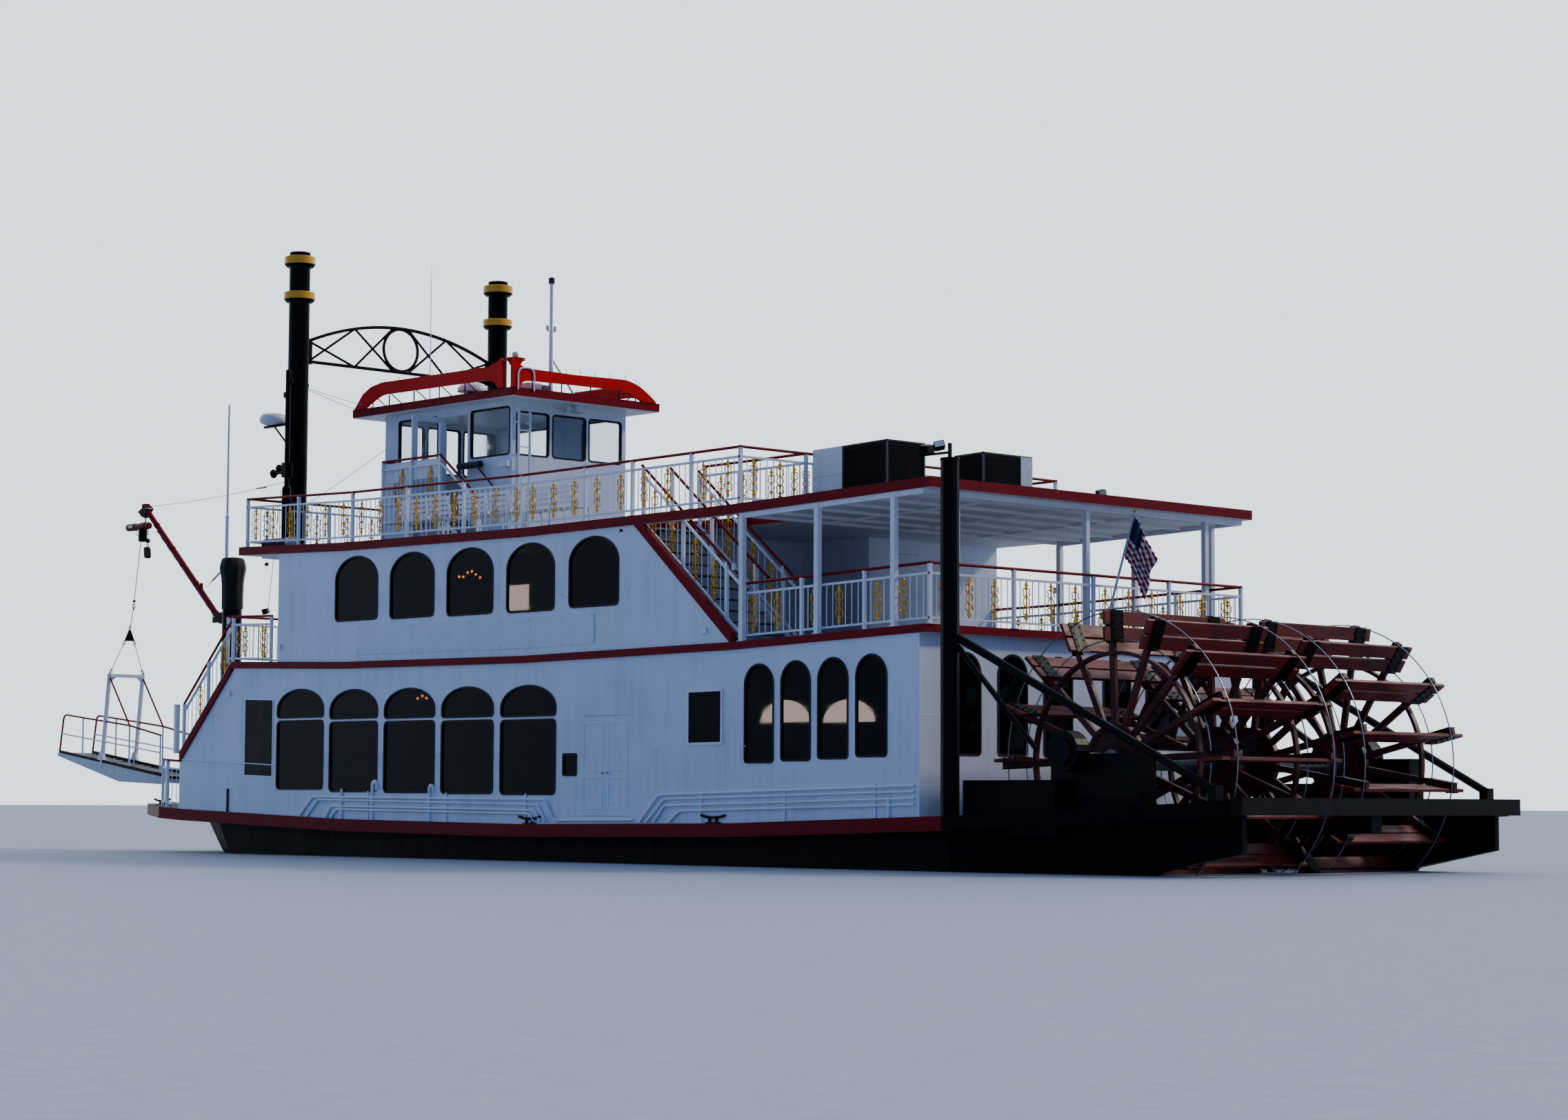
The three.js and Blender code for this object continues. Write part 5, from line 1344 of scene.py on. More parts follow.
@dataclass
class SignBoards:
    """The blank name boards under the second deck's windows: four flat sheets held by bolts."""

    x0: float = -1.130
    x1: float = 6.515
    low: float = 5.080
    high: float = 5.670
    sheets: int = 4
    proud: float = 0.014

    def build(self) -> None:
        """Each sheet is a thin block with a 3 mm joint to the next, and six bolt heads."""
        step = (self.x1 - self.x0) / self.sheets
        for side, sign in SIDES:
            boards = Shell(f"name_boards_{side}")
            inner, outer = sorted((sign * (WALL_OUT + 0.0004), sign * (WALL_OUT + self.proud)))
            heads = []
            for k in range(self.sheets):
                x0 = self.x0 + step * k + 0.002
                x1 = x0 + step - 0.004
                outline = np.array([(x0, self.low), (x1, self.low), (x1, self.high), (x0, self.high)])
                boards.prism(outline, Plane.SIDE, inner, outer, SIGN_WHITE, lift=True)
                rows = (self.low + 0.04, self.high - 0.04)
                heads += [(x, z) for x in (x0 + 0.05, (x0 + x1) / 2, x1 - 0.05) for z in rows]
            spots = np.array([(x, sign * (WALL_OUT + self.proud), z) for x, z in heads])
            out = spots + (0, sign * 0.006, 0)
            boards.sticks(spots, out, circle(0.010, 8), STEEL, (1, 0, 0), lift=True)
            boards.piece("boat")


# STAIRS AND LANDING OF THE UPPER DECKS


@dataclass
class AftStair:
    """The stair from the second deck up to the third: thin treads between two strings, with three handrails."""

    x0: float = -4.950
    x1: float = -2.310
    steps: int = 11
    y0: float = 2.790
    y1: float = 4.190
    hand_foot: Pair = (-5.040, 6.140)
    hand_head: Pair = (-2.300, 8.400)
    posts: tuple[float, ...] = (-2.357, -3.487, -4.683)
    rail_y: Triple = (4.201, 3.490, 2.779)

    def build(self) -> None:
        """Makes the flight, then the rails."""
        self.flight()
        runs = [self.stops(y) for y in self.rail_y]
        sink, reach = 0.110, (0.070, 0.450)
        bars = {"low": 0.020, "white": 0.900, "each": 3}
        Railing("aft_stair_rail", runs[::2], sink=sink, footed=False, reach=reach, **bars).build()
        Railing("aft_stair_middle_rail", [runs[1]], sink=sink, footed=False, barred=False, reach=reach).build()

    def stops(self, y: float) -> Points:
        """Feet of a rail's posts: on a line 1.05 m under the handrail, which runs straight from foot to head."""
        (fx, fz), (hx, hz) = self.hand_foot, self.hand_head
        x = np.array(self.posts)
        return np.column_stack([x, np.full(3, y), fz + (hz - fz) / (hx - fx) * (x - fx) - 1.050 + sheer(x)])

    def flight(self) -> None:
        """Ten treads with bright nosings and a ribbed top, and a deep string on each side."""
        stair = Shell("aft_stair_flight")
        rise = (THIRD_TOP - SECOND_TOP) / self.steps
        run = (self.x1 - self.x0) / self.steps
        for i in range(1, self.steps):
            x, high = self.x0 + run * i, SECOND_TOP + rise * i
            stair.block((x - 0.020, self.y0, high - 0.040), (x + run, self.y1, high), BLACK, lift=True)
            stair.block((x - 0.023, self.y0, high - 0.032), (x + 0.012, self.y1, high + 0.003), STEEL, lift=True)
            for k in range(3):
                rib = x + 0.05 + 0.055 * k
                stair.block((rib, self.y0 + 0.03, high), (rib + 0.02, self.y1 - 0.03, high + 0.004), RUBBER, lift=True)
        string = np.array(
            [
                (self.x0 - 0.120, SECOND_TOP + DECK_SEAT),
                (self.x0 + 0.150, SECOND_TOP + DECK_SEAT),
                (self.x1 + 0.060, THIRD_TOP - 0.360),
                (self.x1 + 0.060, THIRD_TOP - 0.060),
            ]
        )
        for y, finish in ((self.y0 - 0.040, TRIM_WHITE), (self.y1, BLACK)):
            stair.prism(string, Plane.SIDE, y, y + 0.040, finish, lift=True)
        stair.piece("boat", ("aft_stair",))


@dataclass
class PilotLanding:
    """Steps and landing beside the pilothouse door, with the rails round them."""

    x0: float = 6.200
    x1: float = 8.300
    y0: float = 1.5805
    y1: float = 2.500
    floor: float = 8.135
    steps_to: float = 5.350
    steps: int = 4
    hand: float = 9.430
    rail_to: float = 4.900

    def build(self) -> None:
        """Makes the frame, the landing's rails, the sloping handrails and the box beside the steps."""
        self.frame()
        feet = self.hand - 1.050
        y = self.y1 - 0.040
        along = sloped_stops((self.x0 + 0.040, y, feet), (self.x1 - 0.040, y, feet), 2)
        across = sloped_stops((self.x1 - 0.040, y, feet), (self.x1 - 0.040, self.y0 + 0.040, feet), 1)
        Railing("landing_rail", [along, across], sink=feet - self.floor, footed=False).build()
        self.slopes()

    def frame(self) -> None:
        """Floor, legs, treads and strings, cut level with the deck at their feet."""
        made = Shell("landing_frame")
        foot = THIRD_TOP + float(sheer(self.x0)) + 0.004
        made.block((self.x0, self.y0, self.floor - 0.06), (self.x1, self.y1, self.floor), TRIM_WHITE)
        made.block(
            (self.x0 + 0.02, self.y0 + 0.02, self.floor), (self.x1 - 0.02, self.y1 - 0.02, self.floor + 0.004), RUBBER
        )
        for x in (self.x0 + 0.04, self.x1 - 0.04):
            for y in (self.y0 + 0.04, self.y1 - 0.04):
                made.block((x - 0.03, y - 0.03, foot), (x + 0.03, y + 0.03, self.floor - 0.06), TRIM_WHITE)
        run = (self.x0 - self.steps_to) / self.steps
        for i in range(self.steps - 1):
            x = self.x0 - run * (i + 1)
            high = self.floor - (self.floor - THIRD_TOP) / self.steps * (i + 1)
            made.block((x, self.y0, high - 0.04), (x + run + 0.005, self.y1, high), TRIM_WHITE)
            made.block((x - 0.004, self.y0, high - 0.03), (x + 0.03, self.y1, high + 0.003), BLACK)
        string = np.array(
            [
                (self.x0 + 0.06, self.floor),
                (self.x0 + 0.06, self.floor - 0.26),
                (self.steps_to + 0.25, foot),
                (self.steps_to - 0.06, foot),
                (self.steps_to - 0.06, THIRD_TOP + 0.12),
            ]
        )
        for y in (self.y0, self.y1 - 0.04):
            made.prism(string, Plane.SIDE, y, y + 0.04, TRIM_WHITE)
        # Closed boards behind the outer rail, under the handrail.
        for a, b in ((self.x0 + 0.08, 7.20), (7.28, self.x1 - 0.08)):
            low, high = (a, self.y1 - 0.075, 8.97), (b, self.y1 - 0.063, 9.38)
            made.block(low, high, TRIM_WHITE)
        made.block((4.94, self.y0 - 0.001, 9.16), (5.22, self.y0 + 0.14, 9.29), TRIM_WHITE, ease=0.02)
        made.piece("boat", ("pilot_landing",))
        roll = Shell("landing_awning_roll")
        turns = np.linspace(5.75, 6.60, 18)
        width = 0.075 + 0.004 * np.sin(np.arange(18) * 2.4)
        width[[0, -1]] = 0.03
        roll.turned(np.column_stack([width, turns]), (0, 1.72, 9.26), 0, CANVAS, 16)
        roll.piece("boat")

    def slopes(self) -> None:
        """The outer handrail down the steps with its lower bar and posts, and the one on the wall."""
        bars = Shell("landing_slope_bars")
        hand = Shell("landing_slope_handrails")
        y = self.y1 - 0.040
        start, end = np.array([self.x0, y, self.hand - 0.02]), np.array([self.rail_to, y, 8.43])
        slope = (start[2] - end[2]) / (start[0] - end[0])
        hand.tube(np.array([start, (start + end) / 2, end - (0.10, 0, 0.08)]), circle(0.027, 12), RAIL_RED)
        drop = np.array([0, 0, 0.15])
        bars.sticks([start - drop], [end - drop], oblong(0.04, 0.04), TRIM_WHITE)
        deck = THIRD_TOP + float(sheer(5.0)) + 0.004
        for x, foot in ((5.38, 7.76), (self.rail_to + 0.03, deck)):
            top = end[2] + slope * (x - end[0]) - 0.02
            bars.block((x - 0.025, y - 0.025, foot), (x + 0.025, y + 0.025, top), TRIM_WHITE)
        y, off = self.y0, self.y0 + 0.07
        wall = [(6.09, y, 9.25), (6.07, off, 9.28), (5.17, off, 8.53), (5.15, y, 8.50)]
        hand.tube(rounded(np.array(wall), 0.05, 5), circle(0.018, 10), RAIL_RED, (0.3, 1, 0.2))
        bars.piece("boat")
        hand.piece("boat")


# PILOTHOUSE ROOF


@dataclass
class PilothouseRoof:
    """The flat roof with its scrolled fin boards, the light mast, the searchlight and the deck boxes."""

    aft: float = 4.320
    front: float = 10.020
    half: float = 2.040
    under: float = 10.570
    top: float = 10.750
    thick: float = 0.070
    # Each board's outline is [distance from the corner, height over the roof].
    side_fin: tuple[Pair, ...] = (
        (0.330, -0.010),
        (0.345, 0.120),
        (0.360, 0.420),
        (0.400, 0.668),
        (0.510, 0.600),
        (0.640, 0.555),
        (0.976, 0.470),
        (2.400, 0.478),
        (4.668, 0.494),
        (5.060, 0.430),
        (5.338, 0.304),
        (5.648, -0.010),
        (5.290, -0.010),
        (5.107, 0.084),
        (4.662, 0.258),
        (2.396, 0.242),
        (0.976, 0.225),
        (0.640, 0.180),
        (0.520, -0.010),
    )
    end_fin: tuple[Pair, ...] = (
        (0.000, -0.010),
        (0.000, 0.640),
        (0.060, 0.580),
        (0.150, 0.490),
        (0.400, 0.425),
        (1.710, 0.412),
        (3.134, 0.445),
        (3.480, 0.350),
        (3.760, 0.188),
        (4.040, -0.010),
        (3.640, -0.010),
        (3.553, 0.030),
        (3.068, 0.202),
        (1.713, 0.194),
        (0.400, 0.170),
        (0.230, 0.110),
        (0.190, -0.010),
    )
    # The starboard board is low at its aft end: a line caps it, here as two distances and two heights.
    far_cap: tuple[Pair, Pair] = ((0.330, 0.976), (0.020, 0.470))
    side_spikes: tuple[float, ...] = (5.07, 5.56, 6.09, 6.63, 7.12, 7.77, 8.33, 8.88)
    end_spikes: tuple[float, ...] = (0.95, 0.57, 0.19, -0.21, -0.64, -1.08, -1.49, -1.80)
    mast: Triple = (4.700, 0.720, 13.100)

    def build(self) -> None:
        """Makes the slab and fins, then what stands on them."""
        self.slab()
        self.boards()
        self.light_mast()
        self.furniture()

    def slab(self) -> None:
        """A roof whose edge board is dark red, with a white soffit and a drip edge."""
        roof = Shell("pilothouse_roof_slab")
        a, f, h = self.aft, self.front, self.half
        roof.block((a, -h, self.under + 0.014), (f, h, self.top - 0.012), MAROON, ease=0.012)
        roof.block((a + 0.03, -h + 0.03, self.top - 0.012), (f - 0.03, h - 0.03, self.top), UPPER_DECK)
        roof.block((a + 0.02, -h + 0.02, self.under), (f - 0.02, h - 0.02, self.under + 0.014), TRIM_WHITE)
        outer = oblong(f - a, 2 * h) + ((a + f) / 2, 0)
        inner = oblong(f - a - 0.08, 2 * h - 0.08) + ((a + f) / 2, 0)
        roof.frame(inner, outer, Plane.PLAN, self.top - 0.018, self.top + 0.006, MAROON)
        roof.piece("boat", ("pilothouse_roof",))

    def boards(self) -> None:
        """The fins, with a raised red edge along them, their spikes and the props behind them."""
        fins = Shell("pilothouse_fins")
        props = Shell("pilothouse_fin_props")
        side = rounded(np.array(self.side_fin + self.side_fin[:1]), 0.16, 4)[:-1] + (self.aft, self.top)
        fins.prism(side, Plane.SIDE, self.half - self.thick, self.half, FIN_RED)
        far = [(x, min(z, float(np.interp(x, *self.far_cap)))) for x, z in self.side_fin]
        fins.prism(np.array(far) + (self.aft, self.top), Plane.SIDE, -self.half, -self.half + self.thick, FIN_RED)
        end = rounded(np.array(self.end_fin + self.end_fin[:1]), 0.14, 4)[:-1] * (-1, 1) + (self.half, self.top)
        fins.prism(end, Plane.CROSS, self.aft, self.aft + self.thick, FIN_RED)
        edge = np.array(self.side_fin[6:12]) + (self.aft, self.top)
        inboard = self.half - self.thick / 2
        for y in (inboard, -inboard):
            middle = np.array([(x, y, self.edge_height(self.side_fin, x - self.aft)) for x in self.side_spikes])
            self.spikes(fins, middle)
            path = np.column_stack([edge[:, 0], np.full(len(edge), y), edge[:, 1]])
            fins.tube(path, eased(0.086, 0.018, 0.004), FIN_RED, (0, 1, 0))
        x = self.aft + self.thick / 2
        self.spikes(fins, np.array([(x, y, self.edge_height(self.end_fin, self.half - y)) for y in self.end_spikes]))
        fins.piece("boat")
        for y in (inboard, -inboard):
            x = np.array([5.1, 6.0, 6.9, 7.8, 8.7, 9.3])
            low = np.column_stack([x, np.full(6, y), np.full(6, self.top)])
            props.sticks(low, low + (0, 0, 0.24), circle(0.014, 8), BLACK, (1, 0, 0))
            back = low + (0, -0.45 * np.sign(y), 0.0)
            props.sticks(back, low + (0, 0, 0.30), circle(0.012, 8), BLACK, (1, 0, 0))
        y = np.array([1.5, 0.7, -0.1, -0.9, -1.5])
        low = np.column_stack([np.full(5, self.aft + self.thick / 2), y, np.full(5, self.top)])
        props.sticks(low, low + (0, 0, 0.20), circle(0.014, 8), BLACK, (0, 1, 0))
        props.piece("boat")

    def edge_height(self, outline: tuple[Pair, ...], at: float) -> float:
        """Height of a fin's upper edge at a distance from the corner."""
        upper = np.array(outline)
        upper = upper[: int(np.argmax(upper[:, 0])) + 1]
        return self.top + float(np.interp(at, upper[:, 0], upper[:, 1]))

    @staticmethod
    def spikes(shell: Shell, feet: Points) -> None:
        """A thin wire hook on each foot, for strings of lamps."""
        hook = np.array([(0.0, 0, -0.02), (0.0, 0, 0.075), (0.006, 0, 0.090), (0.030, 0, 0.094)])
        shape = sweep(hook, circle(0.006, 6), (0, 1, 0))
        axes = [np.tile(axis, (len(feet), 1)) for axis in np.eye(3)]
        shell.add(repeat(shape, feet, *axes), BLACK)

    def light_mast(self) -> None:
        """A white pole with a base, a brace, steps, a crosstree and the lamp at its head."""
        mast = Shell("light_mast")
        x, y, head = self.mast
        profile = [
            (0.15, self.top),
            (0.15, self.top + 0.02),
            (0.07, self.top + 0.03),
            (0.046, self.top + 0.12),
            (0.042, 12.0),
            (0.036, 12.05),
            (0.036, head),
            (0.060, head),
            (0.060, head + 0.02),
        ]
        mast.turned(np.array(profile), (x, y, 0), 2, TRIM_WHITE, 20)
        lamp = np.array([(0.05, 0.02), (0.068, 0.03), (0.068, 0.13), (0.05, 0.15), (0.01, 0.17)]) + (0, head)
        mast.turned(lamp, (x, y, 0), 2, RED_LENS, 20)
        mast.turned(np.array([(0.072, head + 0.125), (0.072, head + 0.14)]), (x, y, 0), 2, BLACK, 20)
        mast.tube(
            np.array([(x, y - 0.03, self.top + 0.74), (x, y - 0.34, self.top + 0.40), (x, y - 0.65, self.top + 0.04)]),
            circle(0.022, 8),
            TRIM_WHITE,
            (1, 0, 0),
        )
        mast.block((x - 0.06, y - 0.72, self.top), (x + 0.06, y - 0.58, self.top + 0.05), TRIM_WHITE, ease=0.01)
        mast.sticks([(x, y - 0.11, 12.10)], [(x, y + 0.11, 12.10)], circle(0.018, 8), TRIM_WHITE, (1, 0, 0))
        for side in (-0.10, 0.10):
            lens = [(0.02, 12.11), (0.034, 12.12), (0.034, 12.20), (0.02, 12.215)]
            mast.turned(np.array(lens), (x, y + side, 0), 2, LENS, 12)
        mast.piece("boat")

    def furniture(self) -> None:
        """The corner finial and its globe, ladder hoop, searchlight, deck boxes with a louvre, and loudspeaker."""
        made = Shell("pilothouse_roof_fittings")
        cx, cy = self.aft + 0.26, self.half - 0.26
        pedestal = [(0.10, self.top), (0.10, 11.25), (0.13, 11.28), (0.13, 11.30)]
        pedestal += [(0.16, 11.34), (0.21, 11.36), (0.21, 11.40)]
        made.turned(np.array(pedestal), (cx, cy, 0), 2, FIN_RED, 28)
        rise = np.linspace(0.1, np.pi - 0.15, 9)
        globe = np.column_stack([0.075 * np.sin(rise), 11.475 - 0.075 * np.cos(rise)])
        made.turned(globe, (cx, cy, 0), 2, LENS, 20)
        x, foot = self.aft - 0.020, self.top - 0.045
        hoop = [(x, 1.490, foot), (x, 1.490, 11.190), (x, 1.920, 11.170), (x, 1.920, foot)]
        made.tube(rounded(np.array(hoop), 0.17, 8), circle(0.018, 10), TRIM_WHITE, (1, 0, 0))
        lamp = (6.40, 1.50, 0)
        stand = [(0.13, self.top), (0.13, self.top + 0.02), (0.05, self.top + 0.04)]
        stand += [(0.05, 10.84), (0.11, 10.85), (0.11, 10.875)]
        made.turned(np.array(stand), lamp, 2, BLACK, 20)
        rise = np.linspace(0.0, np.pi / 2 - 0.02, 8)
        dome = [(0.30, 10.875), (0.325, 10.885), (0.325, 10.93)]
        dome += np.column_stack([0.32 * np.cos(rise), 10.93 + 0.17 * np.sin(rise)]).tolist()
        made.turned(np.array(dome), lamp, 2, RADOME, 32)
        made.block((4.58, 1.05, self.top), (5.00, 1.41, 10.93), TRIM_WHITE, ease=0.012)
        made.block((4.60, 0.80, self.top), (4.98, 1.05, 10.91), BLACK, ease=0.012)
        for k in range(4):
            z = 10.775 + 0.032 * k
            made.block((4.588, 0.82, z), (4.605, 1.03, z + 0.012), STAGE_GREY)
        made.block((4.50, -0.11, 10.40), (4.72, 0.16, self.under), STAGE_GREY, ease=0.015)
        horn = [(0.03, 0.0), (0.035, 0.10), (0.055, 0.18), (0.10, 0.25), (0.105, 0.256), (0.09, 0.24), (0.02, 0.12)]
        flat = np.array(horn) + (0, 0.17)
        made.turned(flat, (4.61, 0, 10.475), 1, STAGE_GREY, 24)
        made.piece("boat")


# MASTS, RIGGING AND BOW GEAR


@dataclass
class RadarMast:
    """The dark mast inside the forward rail, with its arm, radome, horns and dark lamps."""

    x: float = 10.400
    y: float = 3.500
    head: float = 11.560

    def build(self) -> None:
        """Turns the pole and the dome, then adds what is clamped to the pole."""
        mast = Shell("radar_mast_shell")
        foot = THIRD_TOP + float(sheer(self.x)) + DECK_SEAT
        centre = (self.x, self.y, 0)
        mast.block((self.x - 0.15, self.y - 0.15, foot), (self.x + 0.15, self.y + 0.15, foot + 0.02), BLACK, ease=0.02)
        pole = [(0.10, foot + 0.02), (0.10, 8.94), (0.055, 9.00), (0.055, self.head - 0.02), (0.04, self.head)]
        mast.turned(np.array(pole), centre, 2, BLACK, 20)
        for z in (8.05, 8.62):
            band = np.array([(0.10, z), (0.118, z + 0.01), (0.118, z + 0.05), (0.10, z + 0.06)])
            mast.turned(band, centre, 2, BLACK, 20)
        mast.block((self.x, self.y - 0.03, 10.33), (self.x + 0.88, self.y + 0.03, 10.38), BLACK)
        low, high = (self.x + 0.04, self.y, 9.95), (self.x + 0.50, self.y, 10.34)
        mast.sticks([low], [high], oblong(0.03, 0.03), BLACK, (0, 1, 0))
        rise = np.linspace(0.35, np.pi - 0.35, 9)
        dome = np.column_stack([0.308 * np.sin(rise) ** 0.45, 10.505 - 0.124 * np.cos(rise) / math.cos(0.35)])
        mast.turned(dome, (self.x + 0.55, self.y, 0), 2, RADOME, 36)
        for dy, z in ((-0.075, 9.40), (0.075, 9.28)):
            bell = [(0.03, 0.06), (0.03, 0.24), (0.045, 0.32), (0.095, 0.39)]
            bell += [(0.10, 0.395), (0.085, 0.38), (0.02, 0.26)]
            mast.turned(np.array(bell), (self.x, self.y + dy, z), 0, BLACK, 20)
        mast.block((self.x - 0.10, self.y - 0.09, 9.18), (self.x + 0.10, self.y + 0.09, 9.50), BLACK, ease=0.02)
        for z, side in ((10.95, 0.10), (11.25, -0.10)):
            mast.block((self.x - 0.01, self.y - 0.02, z - 0.03), (self.x + side, self.y + 0.02, z - 0.01), BLACK)
            lamp = [(0.03, z), (0.045, z + 0.01), (0.045, z + 0.11), (0.03, z + 0.12), (0.01, z + 0.13)]
            mast.turned(np.array(lamp), (self.x + side, self.y, 0), 2, BLACK, 14)
        mast.piece("boat", ("radar_mast",))


Wire = tuple[Triple, Triple, float]


@dataclass
class Rigging:
    """Taut wires with their turnbuckles, and the whip aerials on the pilothouse roof."""

    # Each wire is [start, end, share along it where a turnbuckle sits, or 0].
    wires: tuple[Wire, ...] = (
        ((11.150, 2.620, 11.340), (9.900, 1.960, 10.740), 0.0),
        ((11.100, 2.600, 11.330), (9.300, 1.900, 10.740), 0.0),
        ((11.150, -2.620, 11.340), (9.900, -1.960, 10.740), 0.0),
        ((10.500, 3.420, 8.300), (9.440, 1.540, 9.880), 0.12),
        ((10.520, 3.560, 8.900), (11.450, 3.350, 5.150), 0.0),
    )
    # The two stays from the boat to the boom, which ride on no body.
    stays: tuple[Wire, ...] = (
        ((10.480, 3.500, 9.080), (16.750, 3.000, 8.990), 0.16),
        ((13.440, 3.000, 7.450), (14.320, 3.000, 6.950), 0.5),
    )
    # Each whip is [x, y, foot, head].
    whips: tuple[Four, ...] = (
        (8.300, 1.200, 10.750, 13.900),
        (6.900, -1.100, 10.750, 13.300),
    )

    def build(self) -> None:
        """Makes the fixed wires with the whips, which taper, then each stay."""
        made = Shell("rigging_wires")
        for wire in self.wires:
            self.wire(made, wire)
        for x, y, foot, head in self.whips:
            whip = [(0.035, foot), (0.035, foot + 0.05), (0.012, foot + 0.08), (0.012, foot + 0.9), (0.005, head)]
            made.turned(np.array(whip), (x, y, 0), 2, TRIM_WHITE, 8)
        made.piece("boat")
        for name, wire in zip(("upper", "lower"), self.stays):
            stay = Shell(f"boom_stay_{name}")
            self.wire(stay, wire)
            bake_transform(stay.piece(""))

    @staticmethod
    def wire(made: Shell, wire: Wire) -> None:
        """A wire that sags by a hundredth of its span, by a parabola, with its turnbuckle."""
        a, b, screw = np.array(wire[0]), np.array(wire[1]), wire[2]
        share = np.linspace(0, 1, 12)[:, None]
        drop = 0.04 * np.linalg.norm(b - a)
        path = a * (1 - share) + b * share
        path[:, 2] -= drop * (share * (1 - share))[:, 0]
        made.tube(path, circle(0.007, 6), STEEL, (0.2, 1, 0.1))
        if not screw:
            return
        middle, way = a * (1 - screw) + b * screw, unit(b - a)
        middle[2] -= drop * screw * (1 - screw)
        made.sticks([middle - way * 0.16], [middle + way * 0.16], circle(0.022, 8), STEEL, (0.2, 1, 0.1))
        for sign in (-1, 1):
            inner, outer = middle + way * 0.16 * sign, middle + way * 0.26 * sign
            made.sticks([inner], [outer], circle(0.012, 6), BLACK, (0.2, 1, 0.1))


@dataclass
class BowPost:
    """The gear's post under its canvas hood, with the boom's seat and the pale signal staff."""

    x: float = 13.200
    y: float = 3.000
    r: float = 0.225
    top: float = 7.600
    boom_foot: Pair = (13.750, 6.270)

    def build(self) -> None:
        """Turns the post, lofts the hood in soft folds, and clamps the staff to it."""
        post = Shell("bow_post_shell")
        foot = MAIN_TOP + float(sheer(self.x)) + DECK_SEAT
        centre = (self.x, self.y, 0)
        post.block((self.x - 0.33, self.y - 0.33, foot), (self.x + 0.33, self.y + 0.33, foot + 0.03), BLACK, ease=0.03)
        pole = [(self.r + 0.03, foot + 0.03), (self.r, foot + 0.10), (self.r - 0.002, 6.20), (self.r - 0.03, 7.3)]
        post.turned(np.array(pole), centre, 2, BLACK, 28)
        bx, bz = self.boom_foot
        post.block((self.x, self.y - 0.078, bz - 0.16), (bx - 0.12, self.y + 0.078, bz + 0.09), BLACK)
        for low, high in ((-0.110, -0.081), (0.081, 0.110)):
            post.block((self.x, self.y + low, bz - 0.14), (bx + 0.09, self.y + high, bz + 0.09), BLACK, ease=0.008)
        post.sticks([(bx, self.y - 0.125, bz)], [(bx, self.y + 0.125, bz)], circle(0.03, 12), STEEL, (1, 0, 0))
        post.piece("boat", ("bow_post",))
        self.hood()
        staff = Shell("bow_staff")
        pole = [(0.040, 7.02), (0.040, 8.50), (0.045, 8.505), (0.045, 8.56)]
        pole += [(0.028, 8.57), (0.022, 11.09), (0.01, 11.10)]
        staff.turned(np.array(pole), (self.x + 0.26, self.y, 0), 2, TRIM_WHITE, 14)
        for z in (7.08, 7.50):
            staff.block((self.x + 0.15, self.y - 0.03, z), (self.x + 0.22, self.y + 0.03, z + 0.06), STEEL)
        staff.piece("boat")

    def hood(self) -> None:
        """A canvas tube that hugs the post and swells over the winch at its top.

        Its radius at a height is read from the profile, and upright folds swell it by two sines
        of the turn, one with eleven waves and one with five, deepest where the cloth is slack.
        """
        hood = Shell("bow_post_hood")
        z = np.array([6.42, 6.44, 6.70, 6.98, 7.16, 7.28, 7.36, 7.44, 7.53, 7.575, 7.595])
        r = np.array([0.235, 0.242, 0.240, 0.245, 0.262, 0.286, 0.292, 0.282, 0.258, 0.232, 0.120])
        slack = np.array([0.0, 0.003, 0.005, 0.006, 0.008, 0.010, 0.010, 0.008, 0.006, 0.004, 0.0])
        sides = 44
        turns = np.arange(sides) * 2 * np.pi / sides
        swell = np.sin(11 * turns)[None, :] + 0.6 * np.sin(5 * turns + 1.3)[None, :]
        radius = r[:, None] + slack[:, None] * swell
        points = np.stack(
            [
                self.x + radius * np.cos(turns)[None, :],
                self.y + radius * np.sin(turns)[None, :],
                np.repeat(z[:, None], sides, axis=1),
            ],
            axis=-1,
        )
        skin = (points.reshape(-1, 3), grid_faces(len(z), sides, wrap_columns=True))
        hood.add(skin, CANVAS, False, Shell.end_caps(len(z) * sides, sides))
        hood.piece("boat")


